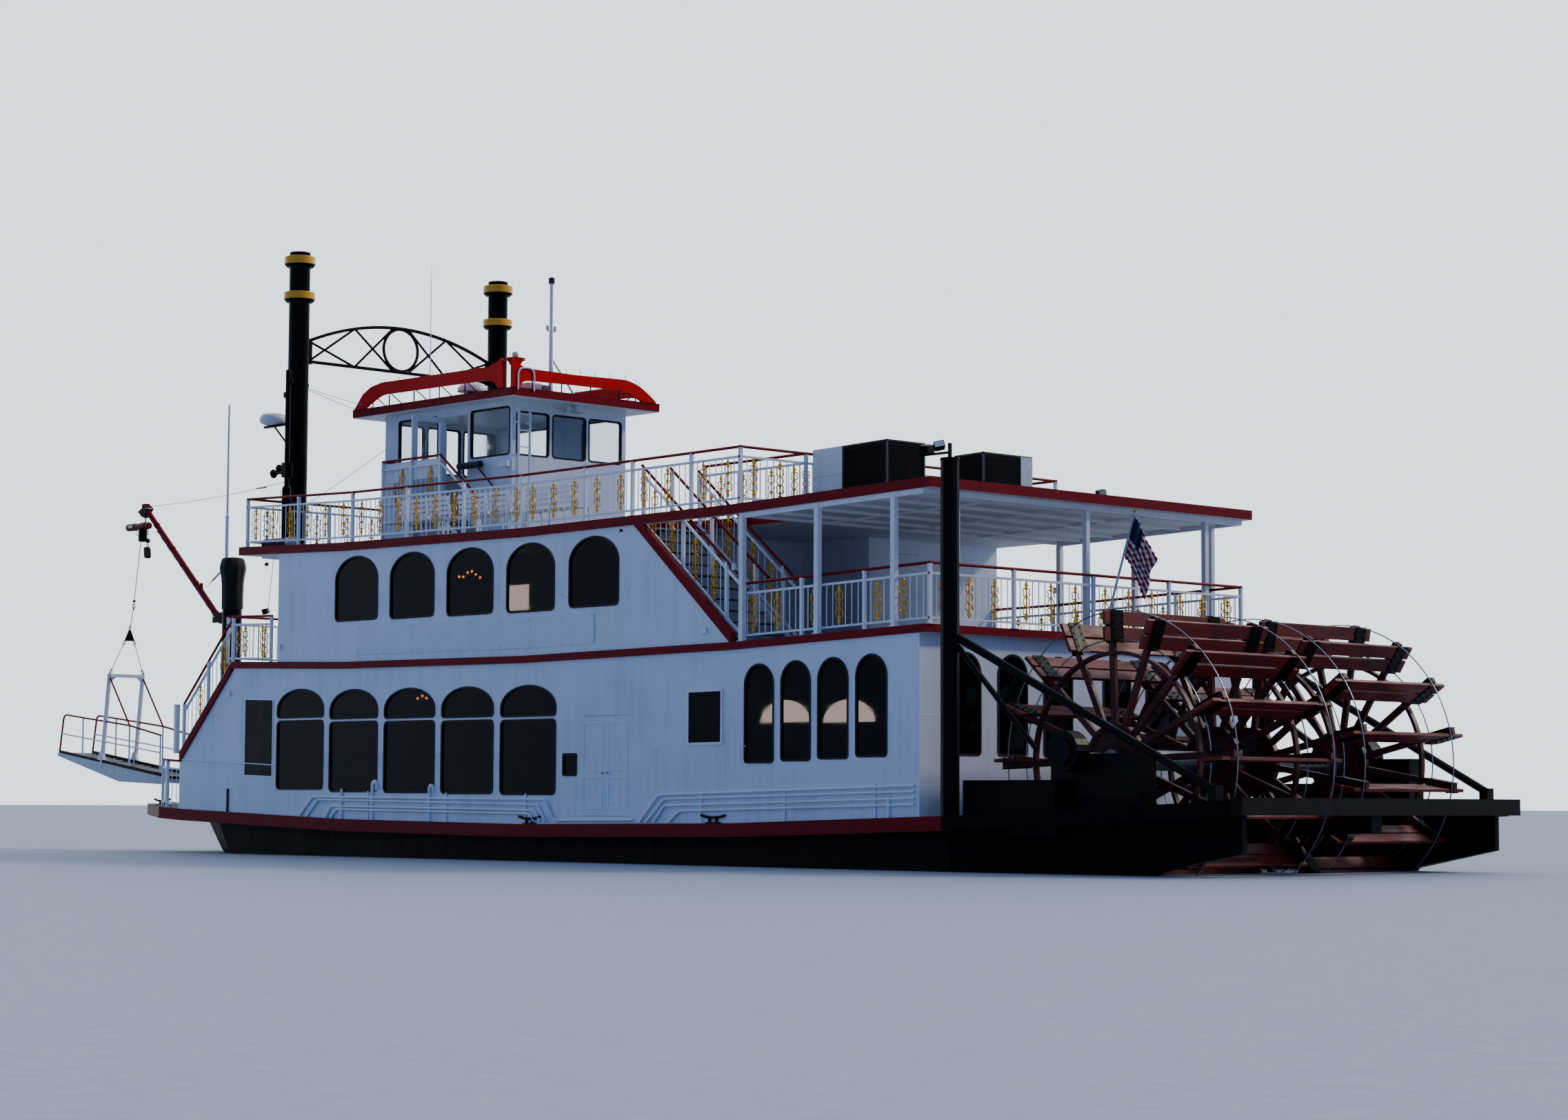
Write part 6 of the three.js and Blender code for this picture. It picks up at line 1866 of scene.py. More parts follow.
@dataclass
class BoomGear:
    """The boom's collars, hose and tip plates, and the hoist that hangs under the tip.

    Attributes:
        foot: X and Z of the boom's foot.
        tip: X and Z of its tip.
        pin: X and Z of the pin that the hoist hangs on.
        y: The gear's middle plane.
        bore: Radius of the eye's bore.
        motor_x: Middle of the motor.
        hook_x: Middle of the hook block.
        bridle: X of the bridle plate and of the portal's lugs.
        portal_top: Height of the portal.
        links: The wire's rings, each [x, height, radius, turn about the vertical].
    """

    foot: Pair = (13.750, 6.270)
    tip: Pair = (16.900, 8.950)
    pin: Pair = (16.900, 8.770)
    y: float = 3.000
    bore: float = 0.0206
    motor_x: float = 17.010
    hook_x: float = 16.790
    bridle: Pair = (17.500, 17.600)
    portal_top: float = 5.070
    links: tuple[Four, ...] = (
        (17.345, 6.675, 0.036, 0.9),
        (17.350, 6.610, 0.026, 0.25),
        (17.484, 6.185, 0.026, 0.9),
        (17.494, 6.125, 0.036, 0.25),
    )

    def build(self) -> None:
        """Adds the boom's fittings on its body, then the hoist on the hanging one."""
        boom = Shell("boom_fittings")
        a, b = np.array([self.foot[0], self.y, self.foot[1]]), np.array([self.tip[0], self.y, self.tip[1]])
        way = unit(b - a)
        up = np.array([-way[2], 0, way[0]])
        for share in (0.03, 0.30, 0.62, 0.84):
            at = a * (1 - share) + b * share
            boom.sticks([at - way * 0.03], [at + way * 0.03], circle(0.074, 16), MAROON, (0, 1, 0))
        share = np.linspace(0.05, 0.82, 20)[:, None]
        hose = a * (1 - share) + b * share - up * (0.085 + 0.02 * np.sin(share * 40) ** 2)
        boom.tube(hose, circle(0.012, 6), BLACK, (0, 1, 0))
        plate = [(17.115, 8.885), (16.930, 8.960), (16.840, 9.030), (16.700, 8.940)]
        plate += [(16.800, 8.830), (16.870, 8.745), (16.930, 8.745)]
        for low in (0.075, -0.090):
            boom.prism(np.array(plate), Plane.SIDE, self.y + low, self.y + low + 0.015, BLACK)
        for x, z in ((16.750, 8.940), (17.040, 8.885)):
            boom.sticks([(x, self.y - 0.092, z)], [(x, self.y + 0.092, z)], circle(0.016, 10), STEEL, (1, 0, 0))
        boom.piece("boom_body")
        self.hoist()

    def hoist(self) -> None:
        """Eye and strap, the barrel with its pale cap, the motor, the wire to the bridle and the hook block."""
        made = Shell("hoist_shell")
        (px, pz), y = self.pin, self.y
        eye = [(self.bore, -0.010), (0.042, -0.010), (0.042, 0.010), (self.bore, 0.010)]
        made.turned(np.array(eye), (px, y, pz), 1, STEEL, 20, loop=True)
        made.block((px - 0.018, y - 0.009, pz - 0.150), (px + 0.018, y + 0.009, pz - 0.036), STEEL)
        z = pz - 0.230
        barrel = [(0.078, 17.610), (0.090, 17.600), (0.090, 17.300), (0.080, 17.290), (0.080, 17.060), (0.094, 17.050)]
        barrel += [(0.094, 16.860), (0.080, 16.850), (0.080, 16.735), (0.020, 16.725)]
        made.turned(np.array(barrel), (0, y, z), 0, HOIST_RED, 24)
        cap = np.array([(0.02, 17.685), (0.070, 17.680), (0.084, 17.660), (0.084, 17.605)])
        made.turned(cap, (0, y, z), 0, STAGE_GREY, 24)
        made.block((17.335, y + 0.088, z - 0.02), (17.520, y + 0.093, z + 0.03), SIGN_WHITE)
        motor = [(0.020, pz - 0.600), (0.085, pz - 0.595), (0.100, pz - 0.570)]
        motor += [(0.100, pz - 0.300), (0.050, pz - 0.290)]
        made.turned(np.array(motor), (self.motor_x, y, 0), 2, BLACK, 20)
        for up in (0.56, 0.50, 0.44, 0.38):
            fin = [(0.098, pz - up), (0.110, pz - up), (0.110, pz - up + 0.016), (0.098, pz - up + 0.016)]
            made.turned(np.array(fin), (self.motor_x, y, 0), 2, BLACK, 20)
        loop = [(17.300, y, z - 0.07), (17.300, y, z - 0.16), (17.220, y, z - 0.22), (17.090, y, z - 0.20)]
        made.tube(rounded(np.array(loop), 0.06, 4), circle(0.009, 6), BLACK, (0, 1, 0))
        self.wire(made)
        for k in range(4):
            self.ring(made, (self.hook_x, y, z - 0.105 - 0.045 * k), 0.024, 0.8 if k % 2 else 0.25)
        turns = np.linspace(0.05, np.pi - 0.05, 9)
        ball = np.column_stack([0.058 * np.sin(turns), pz - 0.585 - 0.058 * np.cos(turns)])
        made.turned(ball, (self.hook_x, y, 0), 2, BLACK, 18)
        turns = np.linspace(0.3, 1.7 * np.pi, 12)
        hook = np.column_stack([0.040 * np.sin(turns), 0 * turns, 0.040 * np.cos(turns)])
        made.tube(hook + (self.hook_x, y, pz - 0.690), circle(0.012, 8), STEEL, (0, 1, 0))
        case = eased(0.135, 0.265, 0.04) @ np.array([[0.985, -0.17], [0.17, 0.985]]) + (16.800, pz - 0.865)
        made.prism(case, Plane.SIDE, y - 0.055, y + 0.055, BLACK)
        made.piece("stage_body", ("hoist",))

    def wire(self, made: Shell) -> None:
        """The lifting wire with its ball and rings, the bridle plate and the bridle's two legs."""
        y, (plate_x, top_x) = self.y, self.bridle
        knots = [(17.090, 8.180), (17.330, 6.785), (17.352, 6.610), (17.490, 6.140)]
        path = np.array([(x, y, z) for x, z in knots])
        made.sticks(path[:-1], path[1:], circle(0.010, 8), STEEL, (0, 1, 0))
        made.sticks([path[0]], [path[0] + (-0.01, 0, 0.06)], circle(0.02, 8), BLACK, (0, 1, 0))
        turns = np.linspace(0.05, np.pi - 0.05, 8)
        ball_x, ball_z = knots[1]
        ball = np.column_stack([0.034 * np.sin(turns), ball_z - 0.034 * np.cos(turns)])
        made.turned(ball, (ball_x, y, 0), 2, BLACK, 14)
        for x, z, r, turn in self.links:
            self.ring(made, (x, y, z), r, turn)
        plate = [(y - 0.135, 5.850), (y + 0.135, 5.850), (y + 0.022, 6.115), (y - 0.022, 6.115)]
        made.prism(np.array(plate), Plane.CROSS, plate_x - 0.014, plate_x + 0.014, BLACK)
        for sign in (-1, 1):
            low = np.array((top_x, y + sign * 0.440, self.portal_top + 0.03))
            high = np.array((plate_x, y + sign * 0.120, 5.845))
            made.sticks([low], [high], circle(0.009, 8), STEEL, (1, 0, 0))
            for share, r in ((0.03, 0.030), (0.09, 0.022), (0.90, 0.022), (0.96, 0.030)):
                self.ring(made, tuple(low + (high - low) * share), r, 0.9 if r > 0.025 else 0.3)

    @staticmethod
    def ring(made: Shell, at: Triple, r: float, turn: float) -> None:
        """A ring or a link: a closed tube taller than wide, turned about the vertical by turn radians."""
        round_ = circle(r, 12)
        path = np.column_stack([round_[:, 0] * np.cos(turn), round_[:, 0] * np.sin(turn), round_[:, 1] * 1.35])
        made.tube(path + at, circle(r * 0.28, 6), STEEL, (0.3, 0.2, 0.9), closed=True)


@dataclass
class LandingStage:
    """The gangway: two deep side beams, a ribbed walkway, rails and the lifting portal with its braces."""

    x0: float = 15.300
    z0: float = 2.430
    x1: float = 19.850
    z1: float = 3.180
    y: float = 3.000
    half: float = 0.450
    portal_foot: float = 17.885
    portal_head: float = 17.610
    portal_top: float = 5.070

    def up_at(self, x: float | Points) -> float | Points:
        """Height of the walkway's underside at x, on a straight line from end to end."""
        return self.z0 + (self.z1 - self.z0) * (x - self.x0) / (self.x1 - self.x0)

    def build(self) -> None:
        """Makes the beams and the floor, the rails and the portal."""
        stage = Shell("landing_stage_shell")
        y0, y1 = self.y - self.half, self.y + self.half
        x0, x1 = self.x0, self.x1
        floor = [(x0, self.z0 + 0.17), (x0, self.z0 + 0.23), (x1, self.z1 + 0.06), (x1, self.z1)]
        stage.prism(np.array(floor), Plane.SIDE, y0 + 0.012, y1 - 0.012, BLACK)
        beam = np.array(
            [
                (x0, self.z0 + 0.04),
                (x0, self.z0 + 0.22),
                (x1 - 0.10, self.z1 + 0.05),
                (x1, self.z1 + 0.03),
                (x1, self.z1 - 0.02),
                (x0 + 1.8, self.up_at(x0 + 1.8) - 0.19),
            ]
        )
        toe = [(x0, self.z0 + 0.22), (x0, self.z0 + 0.30), (x1 - 0.10, self.z1 + 0.11), (x1 - 0.10, self.z1 + 0.05)]
        for y in (y0 - 0.022, y1 - 0.038):
            stage.prism(beam, Plane.SIDE, y, y + 0.060, STAGE_GREY)
            stage.prism(np.array(toe), Plane.SIDE, y - 0.003, y + 0.063, BLACK)
        x = np.arange(x0 + 0.3, x1 - 0.2, 0.3)
        cleat = np.column_stack([x, np.full(len(x), y0 + 0.02), self.floor_at(x)])
        stage.sticks(cleat, cleat + (0, 2 * self.half - 0.04, 0), oblong(0.03, 0.016), STAGE_GREY)
        stage.piece("stage_body", ("landing_stage",))
        self.rails(y0, y1)

    def floor_at(self, x: float | Points) -> float | Points:
        """Height of the walkway's upper face at x."""
        return self.z0 + 0.236 + (self.z1 + 0.066 - self.z0 - 0.236) * (x - self.x0) / (self.x1 - self.x0)

    def rails(self, y0: float, y1: float) -> None:
        """Red handrails bent down to the beam's end, a white bar and posts, and the leaning portal."""
        white = Shell("landing_stage_rails")
        red = Shell("landing_stage_handrails")
        head = np.array([(15.340, 3.590), (16.695, 3.836), (19.620, 4.145), (19.800, 3.210)])
        bar = np.array([(15.340, 3.190), (16.695, 3.350), (19.715, 3.690)])
        posts = np.array([15.360, 16.690, 18.750])
        tops = np.interp(posts, head[:3, 0], head[:3, 1])
        for y in (y0, y1):
            path = np.array([(x, y, z) for x, z in head])
            red.tube(rounded(path, 0.14, 6), circle(0.022, 10), RAIL_RED, (0, 1, 0))
            middle = np.array([(x, y, z) for x, z in bar])
            white.sticks(middle[:-1], middle[1:], circle(0.017, 8), TRIM_WHITE, (0, 1, 0))
            feet = np.column_stack([posts, np.full(3, y), self.up_at(posts) + 0.05])
            ends = np.column_stack([posts, np.full(3, y), tops - 0.01])
            white.sticks(feet, ends, circle(0.021, 10), TRIM_WHITE, (1, 0, 0))
            foot = (self.portal_foot, y, float(self.up_at(self.portal_foot)) + 0.02)
            crown = (self.portal_head, y, self.portal_top - 0.003)
            white.sticks([foot], [crown], eased(0.090, 0.072, 0.014), TRIM_WHITE, (1, 0, 0))
            shoe = np.array([(-0.13, 0.0), (0.13, 0.0), (0.045, 0.20), (-0.05, 0.20)]) + (foot[0], foot[2] + 0.17)
            white.prism(shoe, Plane.SIDE, y - 0.040, y + 0.040, TRIM_WHITE)
            brace = (crown[0] - 0.03, y, crown[2] - 0.11), (16.700, y, 3.850)
            red.sticks([brace[0]], [brace[1]], circle(0.020, 10), RAIL_RED, (0, 1, 0))
            lug = np.array([(-0.03, 0.0), (0.03, 0.0), (0.02, 0.06), (-0.02, 0.06)])
            white.prism(lug + (crown[0] - 0.01, crown[2]), Plane.SIDE, y - 0.012, y + 0.012, STAGE_GREY)
        x, top = self.portal_head, self.portal_top
        white.block((x - 0.040, y0, top - 0.085), (x + 0.034, y1, top - 0.005), TRIM_WHITE, ease=0.01)
        for y, sign in ((y0, 1), (y1, -1)):
            knee = np.array([(y, top - 0.24), (y + sign * 0.16, top - 0.08), (y, top - 0.08)])
            white.prism(knee, Plane.CROSS, x - 0.020, x + 0.014, TRIM_WHITE)
        white.piece("stage_body")
        red.piece("stage_body")


@dataclass
class FunnelTruss:
    """The arched truss between the funnels: two chords, four crosses and a ring at its middle."""

    x: float = 11.020
    half: float = 2.5797
    low: float = 11.900
    end: float = 12.350
    crown: float = 12.910
    ring: Pair = (12.410, 0.480)

    def top_at(self, y: float | Points) -> float | Points:
        """Height of the upper chord at y, a parabola that is highest between the funnels."""
        return self.end + (self.crown - self.end) * (1 - (y / self.half) ** 2)

    def build(self) -> None:
        """The ring touches both chords, and each inner cross ends beside it."""
        made = Shell("funnel_truss_shell")
        y = np.linspace(-self.half, self.half, 33)
        over = np.column_stack([np.full(33, self.x), y, self.top_at(y)])
        made.tube(over, eased(0.070, 0.066, 0.010), BLACK, (1, 0, 0))
        under = over * (1, 1, 0) + (0, 0, self.low)
        made.tube(under[[0, -1]], eased(0.070, 0.060, 0.010), BLACK, (1, 0, 0))
        outer, inner = self.half, 0.210
        node = self.half / 2
        for sign in (1, -1):
            for a, b in ((outer - 0.03, node), (node, inner)):
                for start, end in ((self.low, float(self.top_at(b))), (float(self.top_at(a)), self.low)):
                    near, far = (self.x, sign * a, start), (self.x, sign * b, end)
                    made.sticks([near], [far], circle(0.027, 8), BLACK, (1, 0, 0))
            low, high = sorted((sign * outer, sign * (outer - 0.100)))
            near, far = (self.x - 0.060, low, self.low - 0.060), (self.x + 0.060, high, self.end + 0.060)
            made.block(near, far, BLACK, ease=0.006)
        centre, r = self.ring
        around = circle(r, 48)
        hoop = np.column_stack([np.full(48, self.x), around[:, 0], around[:, 1] + centre])
        made.tube(hoop, eased(0.060, 0.050, 0.008), BLACK, (1, 0, 0), closed=True)
        made.piece("boat", ("funnel_truss",))


# ROOF AND CANOPY


@dataclass
class RoofUnits:
    """The two air handling units on the canopy: casings, louvres, frames and a blank data plate."""

    forward: Four = (-7.100, -5.170, 1.500, 2.500)
    rear: Four = (-9.470, -8.770, 1.220, 2.500)
    forward_high: float = 1.120
    rear_high: float = 0.628
    white_from: float = -5.940

    def build(self) -> None:
        """Makes each unit as one piece."""
        x0, x1, y0, y1 = self.forward
        unit_a = Shell("roof_unit_forward_shell")
        deck, top = THIRD_TOP + DECK_SEAT, THIRD_TOP + self.forward_high
        unit_a.block((self.white_from, y0, deck), (x1, y1, top), TRIM_WHITE, lift=True)
        low, high = (self.white_from + 0.01, y0 - 0.002, deck + 0.60), (x1, y1 + 0.004, deck + 0.612)
        unit_a.block(low, high, STAGE_GREY, lift=True)
        unit_a.block((x0 + 0.02, y0 + 0.02, deck), (self.white_from, y1 - 0.02, top - 0.02), BLACK, lift=True)
        self.cage(unit_a, (x0, self.white_from, y0, y1), deck, top)
        unit_a.piece("boat", ("roof_unit_forward",))
        x0, x1, y0, y1 = self.rear
        unit_b = Shell("roof_unit_aft_shell")
        top = THIRD_TOP + self.rear_high
        unit_b.block((x0 + 0.02, y0 + 0.02, deck), (x1 - 0.02, y1 - 0.02, top - 0.02), BLACK, lift=True)
        self.cage(unit_b, (x0, x1, y0, y1), deck, top)
        unit_b.block((x0 - 0.004, y0, deck + 0.02), (x0 + 0.02, y0 + 0.30, top - 0.02), STAGE_GREY, lift=True)
        unit_b.block((x0 - 0.007, y0 + 0.05, top - 0.20), (x0 - 0.003, y0 + 0.16, top - 0.13), SIGN_WHITE, lift=True)
        unit_b.piece("boat", ("roof_unit_aft",))

    @staticmethod
    def cage(made: Shell, plan: Four, deck: float, top: float) -> None:
        """Corner angles, top edges and slats every 40 mm on all four sides."""
        x0, x1, y0, y1 = plan
        for x in (x0, x1 - 0.035):
            for y in (y0, y1 - 0.035):
                made.block((x, y, deck), (x + 0.035, y + 0.035, top), HOUSING, lift=True)
        made.block((x0, y0, top - 0.03), (x1, y1, top), HOUSING, lift=True)
        z = np.arange(deck + 0.06, top - 0.06, 0.040)
        for y in (y0 + 0.012, y1 - 0.012):
            slats = np.column_stack([np.full(len(z), x0 + 0.035), np.full(len(z), y), z])
            made.sticks(slats, slats + (x1 - x0 - 0.07, 0, 0), oblong(0.016, 0.012), BLACK, lift=True)
        for x in (x0 + 0.012, x1 - 0.012):
            slats = np.column_stack([np.full(len(z), x), np.full(len(z), y0 + 0.035), z])
            made.sticks(slats, slats + (0, y1 - y0 - 0.07, 0), oblong(0.016, 0.012), BLACK, lift=True)


@dataclass
class Canopy:
    """The soffit of the aft canopy, with its cross ribs and light strips, and its posts' foot plates."""

    x0: float = -9.760
    x1: float = -5.060
    half: float = 4.270
    ribs: tuple[float, ...] = (-9.20, -8.35, -7.50, -6.65, -5.80, -5.15)

    def build(self) -> None:
        """Cross ribs under the plating, three light strips along it, and a plate at each post's foot."""
        made = Shell("canopy_ribs")
        under = THIRD_TOP - 0.180
        for x in self.ribs:
            for half, deep in ((0.025, 0.055), (0.050, 0.008)):
                low, high = (x - half, -self.half, under - deep), (x + half, self.half, under - 0.001)
                made.block(low, high, TRIM_WHITE, lift=True)
        for y in (-2.1, 0.0, 2.1):
            bar = np.array([(x, y, under - 0.03) for x in (self.x0, *self.ribs, self.x1)])
            made.sticks(bar[:-1], bar[1:], oblong(0.03, 0.03), TRIM_WHITE, (0, 1, 0), lift=True)
        edge = 4.385
        for x, y in ((-5.23, 4.32), (-7.18, 4.32), (-9.07, 4.32), (-9.74, 3.49), (-9.74, 0.08), (-9.74, -3.30)):
            for middle in (y, -y) if x > -9.7 else (y,):
                low, high = max(middle - 0.085, -edge), min(middle + 0.085, edge)
                made.block((x - 0.085, low, SECOND_TOP), (x + 0.085, high, SECOND_TOP + 0.014), TRIM_WHITE, lift=True)
        made.piece("boat")


# FLAG, FITTINGS AND INSIDE


@dataclass
class Ensign:
    """The striped ensign that hangs limp from its leaning staff on the aft rail."""

    foot: Triple = (-9.838, -0.310, 5.225)
    head: Triple = (-10.300, -0.620, 7.390)
    hoist: float = 0.760
    fly: float = 1.270
    # The pleats swing by this angle to each side of a heading, both in radians, once in each pleat's length.
    heading: float = 3.95
    swing: float = 1.70
    pleat: float = 0.30
    off_staff: float = 0.024

    def build(self) -> None:
        """Makes the staff with its truck and sockets, then the cloth."""
        a, b = np.array(self.foot), np.array(self.head)
        way = unit(b - a)
        staff = Shell("ensign_staff")
        staff.sticks([a], [b - way * 0.02], circle(0.022, 14), STAGE_GREY, (0, 1, 0))
        staff.sticks([b - way * 0.05], [b], circle(0.027, 14), GILT, (0, 1, 0))
        for share in (0.02, 0.16):
            at = a + (b - a) * share
            staff.sticks([at], [at + way * 0.06], circle(0.034, 14), TRIM_WHITE, (0, 1, 0))
        staff.piece("boat")
        self.cloth(b - way * 0.10, -way)

    def cloth(self, top: Points, down: Points) -> None:
        """Each thread of the fly leaves the staff and falls in pleats.

        A point is the staff's own point plus the fall. The fall's slope has length one: a share
        drop of it points down, and the rest swings about the heading by a sine, so the cloth keeps
        its size. Small ripples grow towards the fly.
        """
        rows, columns = 36, 90
        u = np.linspace(0, self.fly, columns)
        drop = 0.42 + 0.28 * np.minimum(u / 0.5, 1.0)
        flat = np.sqrt(1 - drop**2)
        turn = self.heading + self.swing * np.sin(2 * np.pi * u / self.pleat + 0.4)
        step = np.stack([flat * np.cos(turn), flat * np.sin(turn), -drop], axis=1)
        step /= np.linalg.norm(step, axis=1)[:, None]
        gap = u[1] - u[0]
        fall = np.concatenate([np.zeros((1, 3)), np.cumsum((step[1:] + step[:-1]) / 2 * gap, axis=0)])
        v = np.linspace(0, 1, rows)[:, None]
        share = (u / self.fly)[None, :]
        edge = top[None] + down[None] * self.hoist * v
        points = edge[:, None] + fall[None]
        ripple = 0.035 * share * np.sin(9.0 * v + 5.0 * share)
        points[..., 0] += ripple
        points[..., 1] += 0.8 * ripple * np.cos(4.0 * v)
        points[..., 0] -= self.off_staff
        flag = Shell("ensign_cloth")
        flag.add((points.reshape(-1, 3), grid_faces(rows, columns)), ENSIGN)
        made = flag.piece("boat", turn_out=False, smooth=80.0)
        layer = made.data.uv_layers.new(name="UVMap")
        corner = np.zeros(len(made.data.loops), dtype=np.int32)
        made.data.loops.foreach_get("vertex_index", corner)
        spots = np.stack([(corner % columns) / (columns - 1), 1 - (corner // columns) / (rows - 1)], axis=1)
        layer.data.foreach_set("uv", spots.astype(np.float32).ravel())


@dataclass
class Floodlight:
    """A boxy floodlight on a bracket: where its bracket is fixed, and which way it looks."""

    at: Triple
    look: Triple
    size: float = 0.11

    def add(self, shell: Shell) -> None:
        """A tapered black body with cooling ribs, a stirrup and a pale lens."""
        middle, way = np.array(self.at), unit(np.array(self.look, float))
        s = self.size
        ref = (0.1, 0.2, 1.0)
        shell.sticks([middle], [middle + way * s * 0.7], eased(1.7 * s, 1.2 * s, 0.1 * s), BLACK, ref)
        shell.sticks([middle - way * s * 0.5], [middle], eased(1.3 * s, 0.9 * s, 0.2 * s), BLACK, ref)
        back = middle - way * s * np.array([[0.1], [0.22], [0.34], [0.46]])
        shell.sticks(back, back + way * 0.012, eased(1.6 * s, 1.1 * s, 0.1 * s), BLACK, ref)
        shell.sticks([middle + way * s * 0.7], [middle + way * s * 0.73], eased(1.5 * s, s, 0.1 * s), LENS, ref)
        low, high = middle - (0, 0, 0.75 * s), middle + (0, 0, 0.1 * s)
        shell.sticks([low], [high], oblong(0.3 * s, 0.12 * s), BLACK, (1, 0, 0))


@dataclass
class Fittings:
    """Small fittings on the walls and decks.

    They are floodlights, cleats, a louvre, a blank panel, lamp shades, door mouldings and a rolled cover.
    """

    floods: tuple[Floodlight, ...] = (
        Floodlight((-9.75, 4.20, 8.13), (0.95, 0.15, 0.1), 0.14),
        Floodlight((-10.02, 4.20, 8.17), (-0.4, 0.4, 0.3), 0.11),
        Floodlight((11.400, 3.300, 6.290), (0.8, 0.5, -0.3), 0.10),
        Floodlight((-1.890, 4.330, 7.215), (-0.2, 0.2, -0.8), 0.050),
        Floodlight((-9.700, -0.370, 7.716), (-0.7, 0.2, -0.2), 0.10),
        Floodlight((9.900, 4.320, 7.200), (0.6, 0.2, -0.7), 0.050),
    )
    # Each lamp shade is [x, foot, head, how far it stands out].
    shades: tuple[Four, ...] = (
        (11.215, 4.37, 4.50, 0.040),
        (9.300, 5.33, 5.44, 0.045),
        (-4.260, 5.18, 5.30, 0.040),
    )

    def build(self) -> None:
        """Makes the black pieces, the white pieces and the soft cover."""
        black = Shell("small_black_fittings")
        white = Shell("small_white_fittings")
        for flood in self.floods:
            flood.add(black)
        self.cleats(black)
        self.pole_head(black)
        self.walls(black, white)
        black.piece("boat")
        white.piece("boat")
        self.cover()

    def pole_head(self, black: Shell) -> None:
        """A cap on the aft pole, with the bracket of its floodlights."""
        cap = [(0.1655, 7.90), (0.1690, 7.91), (0.1690, 7.945), (0.10, 7.955)]
        black.turned(np.array(cap), (-10.3, 4.230, 0), 2, BLACK, 24)
        black.block((-10.32, 4.20, 7.95), (-10.28, 4.26, 8.20), BLACK)
        black.block((-10.30, 4.21, 8.02), (-9.70, 4.25, 8.06), BLACK)

    def cleats(self, black: Shell) -> None:
        """Cast mooring cleats: a base, two legs and a horned bar whose ends rise."""
        for x, y in ((0.75, 4.10), (-4.53, 4.10), (14.52, 3.90), (0.75, -4.10), (-4.53, -4.10), (14.52, -3.90)):
            inboard = abs(y) < 4.0
            z = MAIN_TOP + float(sheer(x)) - (0.010 if inboard else 0.0)
            y = y if inboard else math.copysign(4.374, y)
            half = 0.10 if inboard else 0.024
            black.block((x - 0.20, y - half, z + DECK_SEAT), (x + 0.20, y + half, z + 0.02), BLACK, ease=0.01)
            for dx in (-0.09, 0.09):
                low, high = (x + dx - 0.03, y - 0.018, z + 0.02), (x + dx + 0.03, y + 0.018, z + 0.10)
                black.block(low, high, BLACK, ease=0.008)
            bar = [(-0.32, 0, 0.145), (-0.18, 0, 0.115), (0, 0, 0.105), (0.18, 0, 0.115), (0.32, 0, 0.145)]
            black.tube(np.array(bar) + (x, y, z), circle(0.024, 10), BLACK, (0, 1, 0))

    def walls(self, black: Shell, white: Shell) -> None:
        """What is fixed to the side walls, the same on both sides."""
        for sign in (1, -1):
            def wall(low: float, high: float) -> Pair:
                """Two depths outside the wall, in rising order."""
                return tuple(sorted((sign * (WALL_OUT + low), sign * (WALL_OUT + high))))

            inner, outer = wall(0.0003, 0.030)
            black.block((11.165, inner, MAIN_TOP), (11.215, outer, 2.175), BLACK, lift=True)
            louvre = [(-4.71, 3.14), (-3.84, 3.14), (-3.84, 4.06), (-4.71, 4.06)]
            inner, outer = wall(0.0003, 0.004)
            black.prism(np.array(louvre), Plane.SIDE, inner, outer, BLACK, lift=True)
            inside, edge = (oblong(0.87 + rim, 0.92 + rim) + (-4.275, 3.60) for rim in (0.0, 0.10))
            inner, outer = wall(0.0003, 0.020)
            white.frame(inside, edge, Plane.SIDE, inner, outer, TRIM_WHITE, lift=True)
            z = np.arange(3.18, 4.04, 0.055)
            slats = np.column_stack([np.full(len(z), -4.70), np.full(len(z), sign * (WALL_OUT + 0.010)), z])
            black.sticks(slats, slats + (0.85, 0, 0), oblong(0.018, 0.022), BLACK, lift=True)
            panel, edge = (oblong(1.03 + rim, 1.62 + rim) + (10.05, 3.30) for rim in (0.0, 0.07))
            inner, outer = wall(0.0003, 0.010)
            black.prism(panel, Plane.SIDE, inner, outer, RUBBER, lift=True)
            white.frame(panel, edge, Plane.SIDE, inner, outer, TRIM_WHITE, lift=True)
            ledge = np.array([(13.120, sign * (WALL_OUT + 0.010), 2.767), (9.400, sign * (WALL_OUT + 0.010), 2.728)])
            white.sticks(ledge[:1], ledge[1:], oblong(0.020, 0.030), TRIM_WHITE, (0, 1, 0), lift=True)
            for x, z0, z1, deep in self.shades:
                shade = np.array([(x - 0.045, z1), (x + 0.045, z1), (x + 0.075, z0), (x - 0.075, z0)])
                inner, outer = wall(0.0003, deep)
                white.prism(shade, Plane.SIDE, inner, outer, TRIM_WHITE)
            inner, outer = wall(-0.10, 0.0)
            white.block((13.30, inner, 3.15), (13.41, outer, 4.24), TRIM_WHITE, ease=0.01)
            inner, outer = wall(0.0003, 0.048)
            white.block((-5.10, inner, 6.30), (-5.02, outer, 6.42), STAGE_GREY)
            for x0, x1 in ((-2.203, -1.484), (-1.478, -0.759)):
                self.door_mould(x0, x1, sign)

